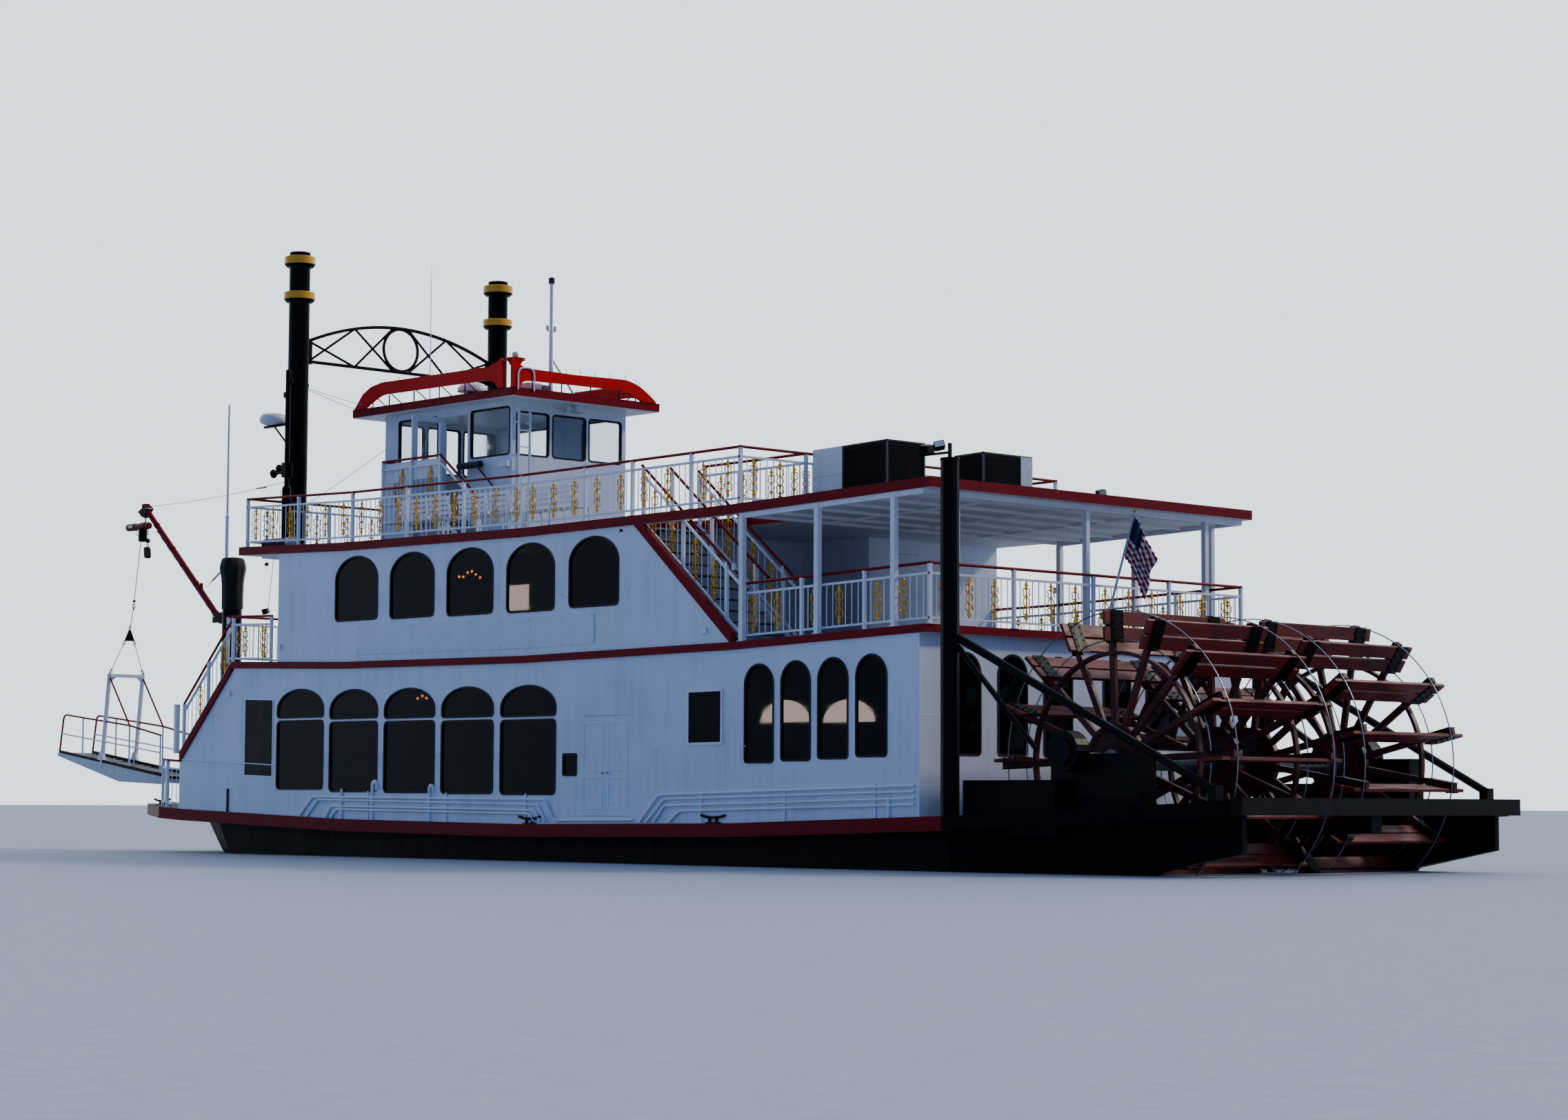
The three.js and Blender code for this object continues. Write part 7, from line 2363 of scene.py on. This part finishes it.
    def door_mould(self, x0: float, x1: float, sign: int) -> None:
        """Two raised frames and a knob on a side door's leaf, on the leaf's own body."""
        is_aft = x1 < -1.48
        name = f"{'aft' if is_aft else 'fore'}_{'port' if sign > 0 else 'starboard'}"
        leaf = Shell(f"door_mould_{name}")
        middle, wide = (x0 + x1) / 2, x1 - x0
        lift = float(sheer(middle))
        inner, outer = sorted((sign * (WALL_OUT - 0.004), sign * (WALL_OUT + 0.006)))
        for low, high in ((1.95, 2.55), (2.68, 3.58)):
            at = (middle, (low + high) / 2 + lift)
            frame = [oblong(wide - cut, high - low - cut + 0.16) + at for cut in (0.20, 0.16)]
            leaf.frame(*frame, Plane.SIDE, inner, outer, TRIM_WHITE)
        knob = [(0.010, 0.0), (0.010, 0.012), (0.022, 0.018), (0.022, 0.030), (0.008, 0.036)]
        x = x1 - 0.07 if is_aft else x0 + 0.07
        profile = np.array(knob) * (1, sign)
        leaf.turned(profile, (x, sign * (WALL_OUT + 0.001), 2.628 + lift), 1, STEEL, 12)
        leaf.piece(f"door_{name}_body")

    def cover(self) -> None:
        """The rolled cover on the third deck's bow edge, black with a pale end, lying in soft folds."""
        roll = Shell("bow_edge_roll")
        x = np.linspace(9.54, 10.66, 20)
        deck = THIRD_TOP + float(sheer(10.0))
        radius = 0.100 + 0.006 * np.sin(np.arange(20) * 1.9)
        radius[[0, -1]] = 0.05
        roll.turned(np.column_stack([radius, x])[3:], (0, 3.90, deck + 0.108), 0, CANVAS, 18)
        roll.turned(np.column_stack([radius * 1.02, x])[:4], (0, 3.90, deck + 0.108), 0, LINEN, 18)
        roll.piece("boat")


@dataclass
class Benches:
    """White slatted benches behind the third deck's side rails, with cast frames."""

    places: tuple[float, ...] = (0.35, 2.35, 4.35)
    long: float = 1.700
    y: float = 3.560

    def build(self) -> None:
        """Copies one bench along each side: seat and back slats on three bent frames."""
        for side, sign in SIDES:
            made = Shell(f"benches_{side}")
            for x0 in self.places:
                deck = THIRD_TOP + float(sheer(x0 + self.long / 2)) + 0.006
                slats = [(0.02 + 0.085 * k, 0.440, False) for k in range(5)]
                slats += [(-0.03 - 0.025 * k, 0.53 + 0.10 * k, True) for k in range(4)]
                for out, up, back in slats:
                    y, z = sign * (self.y - out), deck + up
                    section = oblong(0.020, 0.075) if back else oblong(0.070, 0.020)
                    made.sticks([(x0, y, z)], [(x0 + self.long, y, z)], section, TRIM_WHITE)
                for x in (x0 + 0.12, x0 + self.long / 2, x0 + self.long - 0.12):
                    leg = [(0.42, 0.0), (0.38, 0.42), (0.02, 0.425), (-0.06, 0.86)]
                    path = np.array([(x, sign * (self.y - a), deck + b) for a, b in leg])
                    made.tube(rounded(path, 0.05, 4), oblong(0.030, 0.030), TRIM_WHITE, (1, 0, 0))
                    low, high = (x, sign * (self.y + 0.02), deck), (x, sign * (self.y + 0.03), deck + 0.44)
                    made.sticks([low], [high], oblong(0.03, 0.03), TRIM_WHITE, (1, 0, 0))
            made.piece("boat")


@dataclass
class Inside:
    """Near-black linings behind the windows, painted shade of the unlit saloons: panelled middle walls, ceilings and
    carpets, with lights.

    A glowing patch and two glowing arches on the port panelling are painted daylight, not lamps: they stand for
    daylight seen through the far side's windows.

    Attributes:
        wall: Depths of the middle walls' two faces.
        lit: Depths of the glowing shapes' two faces.
        doorway: Aft and forward edge, foot and head of the glowing patch of painted daylight.
        arches: Aft edge, forward edge and foot of each glowing arch of painted daylight.
        arch_rise: Height of an arch.
        bulb_y: How far the bulbs hang from the centre plane.
    """

    wall: Pair = (1.45, 1.50)
    lit: Pair = (1.502, 1.520)
    doorway: Four = (4.39, 5.06, 6.11, 6.64)
    arches: tuple[Triple, ...] = ((-4.090, -2.740, 3.630), (-5.820, -4.460, 3.607))
    arch_rise: float = 0.425
    bulb_y: float = 3.60

    def build(self) -> None:
        """Makes the near-black linings of both decks, which are painted shade, with the glowing shapes of painted
        daylight, then the bulbs on their wires.
        """
        lining = Shell("saloon_panelling")
        # Middle walls, ceilings and carpets in near-black: painted shade of the unlit saloons.
        for x0, x1, low, high in ((-9.50, 9.30, MAIN_TOP, 4.770), (-1.50, 9.20, SECOND_TOP, 7.235)):
            marks = np.concatenate([[x0], STATIONS[(STATIONS > x0) & (STATIONS < x1)], [x1]])
            for a, b in zip(marks[:-1], marks[1:]):
                for sign in (1, -1):
                    y0, y1 = sorted(sign * y for y in self.wall)
                    lining.block((a, y0, low + 0.01), (b, y1, high - 0.01), PAINTED_SHADE_PANELLING, lift=True)
                    inner, outer = sorted((sign * self.wall[1], sign * (WALL_IN - 0.02)))
                    lining.block((a, inner, high - 0.02), (b, outer, high - 0.005), PAINTED_SHADE_PANELLING, lift=True)
                    lining.block((a, inner, low + 0.005), (b, outer, low + 0.015), PAINTED_SHADE_CARPET, lift=True)
        # Painted daylight: glowing shapes, not lamps, behind the port windows, where daylight through the far side's
        # windows shows.
        x0, x1, low, high = self.doorway
        lining.block((x0, self.lit[0], low), (x1, self.lit[1], high), PAINTED_DAYLIGHT_GLOW)
        turns = np.linspace(0, np.pi, 17)
        for x0, x1, foot in self.arches:
            along = (x0 + x1) / 2 + (x1 - x0) / 2 * np.cos(turns)
            arch = np.column_stack([along, foot + self.arch_rise * np.sin(turns)])
            lining.prism(arch, Plane.SIDE, *self.lit, PAINTED_DAYLIGHT_GLOW)
        lining.piece("boat")
        bulbs = Shell("saloon_bulbs")
        # Each bulb is [x, height], on the second deck and then on the main deck.
        spots = [(3.36, 6.62), (3.50, 6.69), (3.63, 6.76), (3.77, 6.74), (3.91, 6.66), (4.05, 6.67)]
        spots += [(5.10, 4.22), (5.24, 4.27), (5.40, 4.22), (-8.55, 4.20)]
        shape = lathe(np.array([(0.006, -0.024), (0.020, -0.008), (0.020, 0.010), (0.008, 0.026)]), (0, 0, 0), 2, 8)
        for sign in (1, -1):
            feet = np.array([(x, sign * self.bulb_y, z) for x, z in spots])
            bulbs.add(repeat(shape, feet, *[np.tile(axis, (len(feet), 1)) for axis in np.eye(3)]), BULB)
            heads = np.column_stack([feet[:, :2], np.where(feet[:, 2] > 5, 7.21, 4.75)])
            bulbs.sticks(feet + (0, 0, 0.02), heads, circle(0.004, 4), BLACK, (1, 0, 0))
        bulbs.piece("boat")


# PADDLEWHEELS


@dataclass
class Paddlewheel:
    """One wheel: two sets of arms on hub discs, an iron hoop in each, and a pair of boards on each arm.

    Attributes:
        side: port or starboard.
        sign: 1 for port, -1 for starboard.
        phase: Angle of the first arm from straight up, towards the stern, in degrees.
    """

    side: str
    sign: int
    phase: float
    axle: Pair = (-12.950, 2.830)
    radius: float = 2.500
    arms: int = 16
    planes: Pair = (0.500, 3.050)
    arm_wide: float = 0.110
    arm_thick: float = 0.090
    hub_r: float = 0.600
    ring_r: float = 1.765
    board_in: float = 1.950
    board_out: float = 2.455
    slit: float = 0.018
    board_thick: float = 0.058
    overhang: float = 0.300
    bore: float = 0.172

    def axes(self) -> tuple[Points, Points, Points]:
        """Outward, sideways and across directions of each arm: a turn about the axle by equal steps."""
        turns = np.radians(self.phase + 360 / self.arms * np.arange(self.arms))
        out = np.stack([-np.sin(turns), 0 * turns, np.cos(turns)], axis=1)
        ahead = np.stack([np.cos(turns), 0 * turns, np.sin(turns)], axis=1)
        across = np.tile((0, float(self.sign), 0), (self.arms, 1))
        return out, ahead, across

    def build(self) -> None:
        """Makes the timber and the iron of the wheel as two pieces."""
        timber = Shell(f"wheel_boards_{self.side}")
        iron = Shell(f"wheel_iron_{self.side}")
        self.boards(timber)
        self.arm_bars(timber)
        self.fittings(iron)
        self.rings(iron)
        self.hubs(iron)
        timber.piece(f"wheel_{self.side}", (f"paddlewheel_{self.side}",))
        iron.piece(f"wheel_{self.side}")

    def spread(self, shape: Shape, caps: Faces | None, shell: Shell, finish: Finish) -> None:
        """Copies a shape drawn on ahead, out and across axes to every arm."""
        out, ahead, across = self.axes()
        centre = np.tile((self.axle[0], 0, self.axle[1]), (self.arms, 1))
        made = repeat(shape, centre, ahead, out, across)
        base = np.arange(self.arms)[:, None, None] * len(shape[0])
        ends = None if caps is None else (caps[None] + base).reshape(-1, caps.shape[1])
        shell.add(made, finish, False, ends)

    def boards(self, timber: Shell) -> None:
        """Two boards behind each pair of arms, with a slit between them."""
        face = -(self.arm_wide / 2 - 0.010) - self.board_thick / 2
        middle = (self.board_in + self.board_out) / 2
        y0, y1 = self.planes[0] - self.overhang, self.planes[1] + self.overhang
        for low, high in ((self.board_in, middle - self.slit), (middle + self.slit, self.board_out)):
            section = eased(self.board_thick, high - low, 0.006)
            shape = sticks([(face, (low + high) / 2, y0)], [(face, (low + high) / 2, y1)], section, (0, 1, 0))
            self.spread(shape, stick_ends(1, len(section)), timber, WHEEL_TIMBER)

    def arm_bars(self, timber: Shell) -> None:
        """Two arms at each step, from the hub to the rim."""
        section = eased(self.arm_wide, self.arm_thick, 0.008)
        for y in self.planes:
            shape = sticks([(0, 0.45, y)], [(0, self.radius - 0.012, y)], section, (0, 0, 1))
            self.spread(shape, stick_ends(1, len(section)), timber, WHEEL_IRON)

    def fittings(self, iron: Shell) -> None:
        """On each arm a black palm plate with its bolts, which clamps the boards."""
        face = -(self.arm_wide / 2 - 0.010) - self.board_thick
        for y in self.planes:
            for depth, wide in ((face - 0.008, 0.30), (self.arm_wide / 2 + 0.006, 0.20)):
                shape = sticks([(depth, 1.93, y)], [(depth, 2.47, y)], eased(0.012, wide, 0.003), (0, 0, 1))
                self.spread(shape, stick_ends(1, 8), iron, BLACK)
            spots = np.array([(face - 0.014, r, y + s) for r in (2.03, 2.15, 2.27, 2.39) for s in (-0.10, 0.10)])
            shape = sticks(spots, spots - (0.016, 0, 0), circle(0.016, 6), (0, 1, 0))
            self.spread(shape, stick_ends(len(spots), 6), iron, BLACK)

    def rings(self, iron: Shell) -> None:
        """A flat hoop through each set of arms and a thin round rod near their tips."""
        turns = np.linspace(0, 2 * np.pi, 97)[:-1]
        round_path = np.stack([np.sin(turns), 0 * turns, np.cos(turns)], axis=1)
        centre = np.array([self.axle[0], 0, self.axle[1]])
        for y in self.planes:
            middle = centre + (0, self.sign * y, 0)
            hoop = round_path * self.ring_r + middle
            iron.tube(hoop, eased(0.060, 0.110, 0.006), WHEEL_IRON, (0, 1, 0), closed=True)
            for r, across in ((2.468, -0.075), (1.985, 0.0)):
                rod = round_path * r + middle + (0, self.sign * across, 0)
                iron.tube(rod, circle(0.011, 6), STEEL, (0, 1, 0), closed=True)

    def hubs(self, iron: Shell) -> None:
        """A dished cast disc in each plane, with a rim, a boss and a ring of bolt heads."""
        for y in self.planes:
            centre = (self.axle[0], self.sign * y, self.axle[1])
            profile = [
                (self.bore, -0.130),
                (0.250, -0.130),
                (0.270, -0.070),
                (0.540, -0.045),
                (0.575, -0.060),
                (self.hub_r, -0.055),
                (self.hub_r, 0.055),
                (0.575, 0.060),
                (0.540, 0.045),
                (0.270, 0.070),
                (0.250, 0.130),
                (self.bore, 0.130),
            ]
            iron.turned(np.array(profile), centre, 1, WHEEL_IRON, 48, loop=True)
            ring = circle(0.500, 2 * self.arms)
            spots = np.stack([ring[:, 0], 0 * ring[:, 0], ring[:, 1]], axis=1) + centre
            iron.sticks(spots - (0, 0.072, 0), spots + (0, 0.072, 0), circle(0.020, 6), BLACK, (1, 0, 0))


# FUNNELS


@dataclass
class Funnel:
    """One funnel: a plated tube with rolled seams, two yellow bands with black hoops, a cap with an eye and a collar
    for its stays.

    Attributes:
        side: port or starboard.
        sign: 1 for port, -1 for starboard.
    """

    side: str
    sign: int
    x: float = 11.020
    y: float = 2.810
    r: float = 0.230
    top: float = 14.370
    band_r: float = 0.345
    bands: tuple[Pair, ...] = ((13.990, 14.220), (13.200, 13.420))

    def build(self) -> None:
        """Turns the tube and its bands, then adds the foot, the seams and the collar."""
        funnel = Shell(f"funnel_{self.side}_shell")
        centre = (self.x, self.sign * self.y, 0)
        base = THIRD_TOP + float(sheer(self.x)) + DECK_SEAT
        low_cap = self.top - 0.075
        profile = [
            (self.r + 0.10, base),
            (self.r + 0.10, base + 0.020),
            (self.r + 0.012, base + 0.030),
            (self.r, base + 0.10),
            (self.r, low_cap - 0.010),
            (self.r + 0.006, low_cap),
            (self.r + 0.006, low_cap + 0.012),
            (self.r - 0.010, low_cap + 0.030),
            (self.r * 0.55, self.top - 0.030),
            (0.010, self.top - 0.024),
        ]
        funnel.turned(np.array(profile), centre, 2, BLACK, 40)
        seams = np.arange(base + 1.2, 13.0, 1.2)
        for z in seams:
            weld = [(self.r - 0.004, z - 0.010), (self.r + 0.004, z), (self.r - 0.004, z + 0.010)]
            funnel.turned(np.array(weld), centre, 2, BLACK, 40)
        for low, high in self.bands:
            self.band(funnel, centre, low, high)
        eye = circle(0.020, 10)
        loop = np.column_stack([eye[:, 0], 0 * eye[:, 0], eye[:, 1]]) + (self.x, self.sign * self.y, self.top - 0.026)
        funnel.tube(loop, circle(0.006, 6), STEEL, (0, 1, 0), closed=True)
        collar = [(self.r - 0.004, 11.30), (self.r + 0.014, 11.31), (self.r + 0.014, 11.37), (self.r - 0.004, 11.38)]
        funnel.turned(np.array(collar), centre, 2, BLACK, 32)
        foot_plate = ((self.x - 0.31, self.sign * self.y - 0.31), (self.x + 0.31, self.sign * self.y + 0.31))
        funnel.block((*foot_plate[0], base), (*foot_plate[1], base + 0.016), BLACK, ease=0.05)
        gussets = np.array([(1, 0), (-1, 0), (0, 1), (0, -1)])
        for gx, gy in gussets:
            corner = np.array([(0.22, 0.0), (0.30, 0.0), (0.22, 0.24)])
            way = Plane.SIDE if gx else Plane.CROSS
            origin = self.x if gx else self.sign * self.y
            other = self.sign * self.y if gx else self.x
            flat = corner * (np.sign(gx + gy), 1) + (origin, base + 0.016)
            funnel.prism(flat, way, other - 0.008, other + 0.008, BLACK)
        funnel.piece("boat", (f"funnel_{self.side}",))

    def band(self, funnel: Shell, centre: Triple, low: float, high: float) -> None:
        """A yellow drum with a closed floor, black hoops below it and a short skirt."""
        drum = [
            (self.r - 0.01, low + 0.050),
            (self.band_r - 0.012, low + 0.055),
            (self.band_r, low + 0.065),
            (self.band_r, high - 0.012),
            (self.band_r - 0.012, high),
            (self.r - 0.01, high - 0.004),
        ]
        funnel.turned(np.array(drum), centre, 2, YELLOW, 40)
        skirt = [
            (self.r - 0.01, low),
            (self.band_r - 0.055, low),
            (self.band_r - 0.018, low + 0.036),
            (self.band_r - 0.004, low + 0.060),
            (self.r - 0.01, low + 0.062),
        ]
        funnel.turned(np.array(skirt), centre, 2, BLACK, 40)


# PILOTHOUSE


@dataclass
class PilothouseGlazing:
    """Panes of the pilothouse in its four walls, with their gaskets."""

    aft: float = 4.920
    front: float = 9.400
    half: float = 1.580
    low: float = 9.430
    high: float = 10.440
    aft_high: float = 10.340
    sides: tuple[Pair, ...] = ((5.000, 6.330), (7.500, 8.900))
    aft_bays: tuple[Pair, ...] = ((0.580, 1.450), (-0.440, 0.470), (-1.450, -0.540))
    front_bays: tuple[Pair, ...] = ((0.560, 1.450), (-0.450, 0.450), (-1.450, -0.560))
    wall: float = 0.060

    def build(self) -> None:
        """Each pane stands in the middle of its wall, in a gasket that laps both faces."""
        glass = Shell("pilothouse_glass")
        rubber = Shell("pilothouse_gaskets")
        for sign in (1, -1):
            middle = sign * (self.half - self.wall / 2)
            for x0, x1 in self.sides:
                self.pane(glass, rubber, Plane.SIDE, (x0, x1, self.low, self.high), middle)
        for y0, y1 in self.aft_bays:
            self.pane(glass, rubber, Plane.CROSS, (y0, y1, self.low, self.aft_high), self.aft + self.wall / 2)
        for y0, y1 in self.front_bays:
            self.pane(glass, rubber, Plane.CROSS, (y0, y1, self.low, self.high), self.front - self.wall / 2)
        glass.piece("boat")
        rubber.piece("boat")

    def pane(
        self, glass: Shell, rubber: Shell, plane: Plane, bay: Four, middle: float
    ) -> None:
        """Adds one pane and its gasket: bay is its two edges, its sill and its head."""
        a, b, low, high = bay

        def outline(grow: float) -> Points:
            """The bay's outline, grown by a margin."""
            return window_outline(a - grow, b + grow, low - grow, high + grow, 0.0, 0.07 + grow)

        glass.prism(outline(0.003), plane, middle - 0.004, middle + 0.004, CLEAR_GLASS)
        half = self.wall / 2 + 0.006
        rubber.frame(outline(-0.018), outline(0.020), plane, middle - half, middle + half, RUBBER)


# GUARD


@dataclass
class GuardPipes:
    """White vent and fender pipes that run along the house side above the guard.

    Attributes:
        reach: How far the pipes' middle stands from the centre plane.
    """

    reach: float = 4.374
    r: float = 0.024
    # Each pipe is its bends in [x, height before the sheer].
    runs: tuple[tuple[Pair, ...], ...] = (
        ((8.44, 1.69), (7.99, 2.10), (2.20, 2.144), (0.28, 2.144), (0.00, 1.74), (-2.30, 1.74)),
        ((8.18, 1.69), (7.78, 2.05), (0.49, 2.044), (0.26, 1.72)),
        ((7.50, 1.69), (7.32, 1.93), (0.60, 1.94), (0.42, 1.72)),
        ((7.31, 1.69), (7.11, 1.87), (0.75, 1.872), (0.60, 1.72)),
        ((-2.50, 1.70), (-3.03, 2.20), (-9.60, 2.20)),
        ((-2.70, 1.70), (-3.19, 2.12), (-9.60, 2.10)),
        ((-2.91, 1.70), (-3.19, 2.00), (-9.60, 1.985)),
        ((-3.33, 1.70), (-3.61, 1.90), (-9.60, 1.88)),
    )
    brackets: tuple[float, ...] = (6.03, 3.40, 0.88, -4.20, -6.40, -8.65)
    # Standing pipes: x, top height, radius, and whether the head bends over.
    standpipes: tuple[tuple[float, float, float, bool], ...] = (
        (5.88, 2.476, 0.045, True),
        (3.95, 2.410, 0.036, True),
        (6.95, 2.300, 0.030, False),
        (-8.99, 2.050, 0.030, False),
    )

    def build(self) -> None:
        """Sweeps each pipe along its bends, with the corners rounded, and clamps it to the wall."""
        for side, sign in SIDES:
            pipes = Shell(f"guard_pipes_{side}")
            y = sign * self.reach
            for bends in self.runs:
                flat = rounded(np.array(bends), 0.09, 5)
                path = np.stack([flat[:, 0], np.full(len(flat), y), flat[:, 1]], axis=1)
                pipes.tube(path, circle(self.r, 10), TRIM_WHITE, (0, 1, 0), lift=True)
            for x in self.brackets:
                low, high = sorted((sign * (WALL_OUT - 0.002), sign * (self.reach + 0.001)))
                pipes.block((x - 0.02, low, MAIN_TOP), (x + 0.02, high, 2.26), TRIM_WHITE, lift=True)
            for x, top, r, bent in self.standpipes:
                self.standpipe(pipes, x, top, r, bent, y)
            pipes.piece("boat")

    def standpipe(self, pipes: Shell, x: float, top: float, r: float, bent: bool, y: float) -> None:
        """An upright pipe, its head bent over in a half circle or closed by a cap."""
        stand = np.sign(y) * (HALF_BEAM - r - 0.001)
        bends = [(x, MAIN_TOP + DECK_SEAT), (x, top - 2.2 * r)]
        if bent:
            turns = np.linspace(0, np.pi, 9)
            over = np.stack([x - 1.7 * r * (1 - np.cos(turns)), top - 2.2 * r + 1.7 * r * np.sin(turns)], axis=1)
            bends += over[1:].tolist() + [(x - 3.4 * r, top - 4.5 * r)]
        else:
            bends.append((x, top))
        flat = np.array(bends)
        path = np.stack([flat[:, 0], np.full(len(flat), stand), flat[:, 1]], axis=1)
        pipes.tube(path, circle(r, 12), TRIM_WHITE, (0, 1, 0), lift=True)


# STAGE, CAMERA AND LIGHTS


@dataclass
class Studio:
    """Pale floor at the waterline, soft lights and the camera at the photograph's place."""

    camera_at: Triple = (-46.5497, 42.5491, 2.1)
    right: Triple = (-0.68905736, -0.72469633, 0.00389692)
    up: Triple = (-0.05352302, 0.05625196, 0.99698094)
    ahead: Triple = (0.72272764, -0.68676848, 0.07754876)
    lens: float = 71.68
    film: float = 36.0
    # The dim sky behind the camera and the bright one ahead: colour and strength.
    skies: tuple[tuple[str, float], tuple[str, float]] = (("#6288d4", 0.62), ("#e9f3fc", 2.1))

    def build(self) -> None:
        """Makes the camera, the floor, the sky and the lamps."""
        self.camera()
        self.floor()
        self.sky()
        self.lamps()

    def camera(self) -> None:
        """The camera's axes are the columns of its matrix, with its back against the view."""
        lens = bpy.data.cameras.new("camera")
        lens.lens = self.lens
        lens.sensor_width = self.film
        lens.clip_end = 2000
        made = bpy.data.objects.new("camera", lens)
        back = [-c for c in self.ahead]
        turn = Matrix((self.right, self.up, back)).transposed()
        made.matrix_world = Matrix.Translation(self.camera_at) @ turn.to_4x4()
        bpy.context.scene.collection.objects.link(made)
        bpy.context.scene.camera = made

    def floor(self) -> None:
        """A square plane at the waterline, with a pale matt finish."""
        half = 600.0
        mesh = bpy.data.meshes.new("floor")
        corners = [(-half, -half, WATER_Z), (half, -half, WATER_Z), (half, half, WATER_Z), (-half, half, WATER_Z)]
        mesh.from_pydata(corners, [], [(0, 1, 2, 3)])
        mesh.materials.append(Enamel("studio_floor", "#949eac", 0.75, streak="#8b95a4").material())
        made = bpy.data.objects.new("floor", mesh)
        bpy.context.scene.collection.objects.link(made)

    def sky(self) -> None:
        """A bright hazy sky ahead of the camera that falls to a dim blue one behind it.

        The share of each is read from how far a direction points ahead.
        """
        world = bpy.data.worlds.new("sky")
        world.use_nodes = True
        tree = world.node_tree
        back = tree.nodes["Background"]
        coords = add_node(tree, "ShaderNodeTexCoord")
        ahead = add_node(
            tree, "ShaderNodeVectorMath", {"operation": "DOT_PRODUCT"}, {0: coords.outputs["Generated"], 1: self.ahead}
        )
        share = add_node(
            tree,
            "ShaderNodeMapRange",
            inputs={"Value": ahead.outputs["Value"], "From Min": -0.1, "From Max": 0.85, "To Min": 0.0, "To Max": 1.0},
        )
        dim, bright = (tuple(c * s for c in linear(h)[:3]) + (1.0,) for h, s in self.skies)
        mixed = add_node(tree, "ShaderNodeMix", {"data_type": "RGBA"}, {0: share.outputs[0], 6: dim, 7: bright})
        tree.links.new(mixed.outputs[2], back.inputs["Color"])
        back.inputs["Strength"].default_value = 1.0
        bpy.context.scene.world = world

    def lamps(self) -> None:
        """A soft low sun behind the boat's far quarter, and a weak blue fill from the camera's side."""
        for name, strength, colour, heading, height, size in (
            ("key", 1.8, "#fff1dc", 240.0, 36.0, 8.0),
            ("fill", 0.15, "#9fbdf0", 110.0, 30.0, 60.0),
        ):
            sun = bpy.data.lights.new(name, "SUN")
            sun.energy = strength
            sun.color = linear(colour)[:3]
            sun.angle = math.radians(size)
            made = bpy.data.objects.new(name, sun)
            turn = Matrix.Rotation(math.radians(heading), 4, "Z") @ Matrix.Rotation(math.radians(90 - height), 4, "Y")
            made.matrix_world = turn
            bpy.context.scene.collection.objects.link(made)


# CARRIED-OVER NODES
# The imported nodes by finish, also those that a piece replaces.

NODES_BY_FINISH: dict[Finish, tuple[str, ...]] = {
    HULL_BLACK: ("hull", "rudder_port", "rudder_starboard", "sponson_port", "sponson_starboard"),
    MAIN_DECK: ("main_deck",),
    UPPER_DECK: ("second_deck", "third_deck"),
    BLACK: (
        "aft_beam", "centre_arm", "drive_port", "drive_starboard", "aft_stair", "funnel_truss", "hog_post_port",
        "hog_post_starboard", "roof_unit_forward", "roof_unit_aft", "radar_mast",
    ),
    STEEL: ("wheel_shaft_port", "wheel_shaft_starboard"),
    WHITE: (
        "main_side_port", "main_side_starboard", "main_aft_wall", "main_front_wall", "side_door_aft_port",
        "side_door_fore_port", "side_door_aft_starboard", "side_door_fore_starboard", "second_side_port",
        "second_side_starboard", "second_front_wall", "second_aft_wall", "deck_door", "pilothouse_walls",
        "pilothouse_door",
    ),
    MAROON: ("aft_stair_band", "boom", "stair_rail_port", "stair_rail_starboard"),
    STAGE_GREY: ("fore_stair_port", "fore_stair_starboard", "pilothouse_floor", "landing_stage"),
    TRIM_WHITE: ("canopy_frame", "pilot_landing"),
    FIN_RED: ("pilothouse_roof",),
    CANVAS: ("bow_post",),
    HOIST_RED: ("hoist",),
}


def dress_nodes(frame: dict[str, object]) -> None:
    """Gives every carried-over node its finish.

    Args:
        frame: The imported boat, whose nodes are its solids by name.
    """
    finish_of = {name: finish for finish, names in NODES_BY_FINISH.items() for name in names}
    for name, node in frame["nodes"].items():
        if name in finish_of:
            node.data.materials.clear()
            node.data.materials.append(finish_of[name].material())


def main() -> None:
    """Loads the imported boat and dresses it."""
    logging.basicConfig(level=logging.INFO, format="%(message)s")
    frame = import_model()
    Studio().build()
    dress_nodes(frame)
    wheels = (Paddlewheel("port", 1, -1.8), Paddlewheel("starboard", -1, 9.45))
    house = (Railings(), Stringer(), SideWindows(), CrossWindows(), SignBoards(), *wheels)
    funnels = tuple(Funnel(side, sign) for side, sign in SIDES)
    upper = (*funnels, PilothouseGlazing(), PilothouseRoof(), AftStair(), PilotLanding(), GuardPipes())
    bow = (RadarMast(), BowPost(), BoomGear(), FunnelTruss(), LandingStage(), Rigging())
    rest = (RoofUnits(), Canopy(), Ensign(), Fittings(), Benches(), Inside())
    for part in house + upper + bow + rest:
        log.info("Building %s", type(part).__name__)
        part.build()


if __name__ == "__main__":
    main()
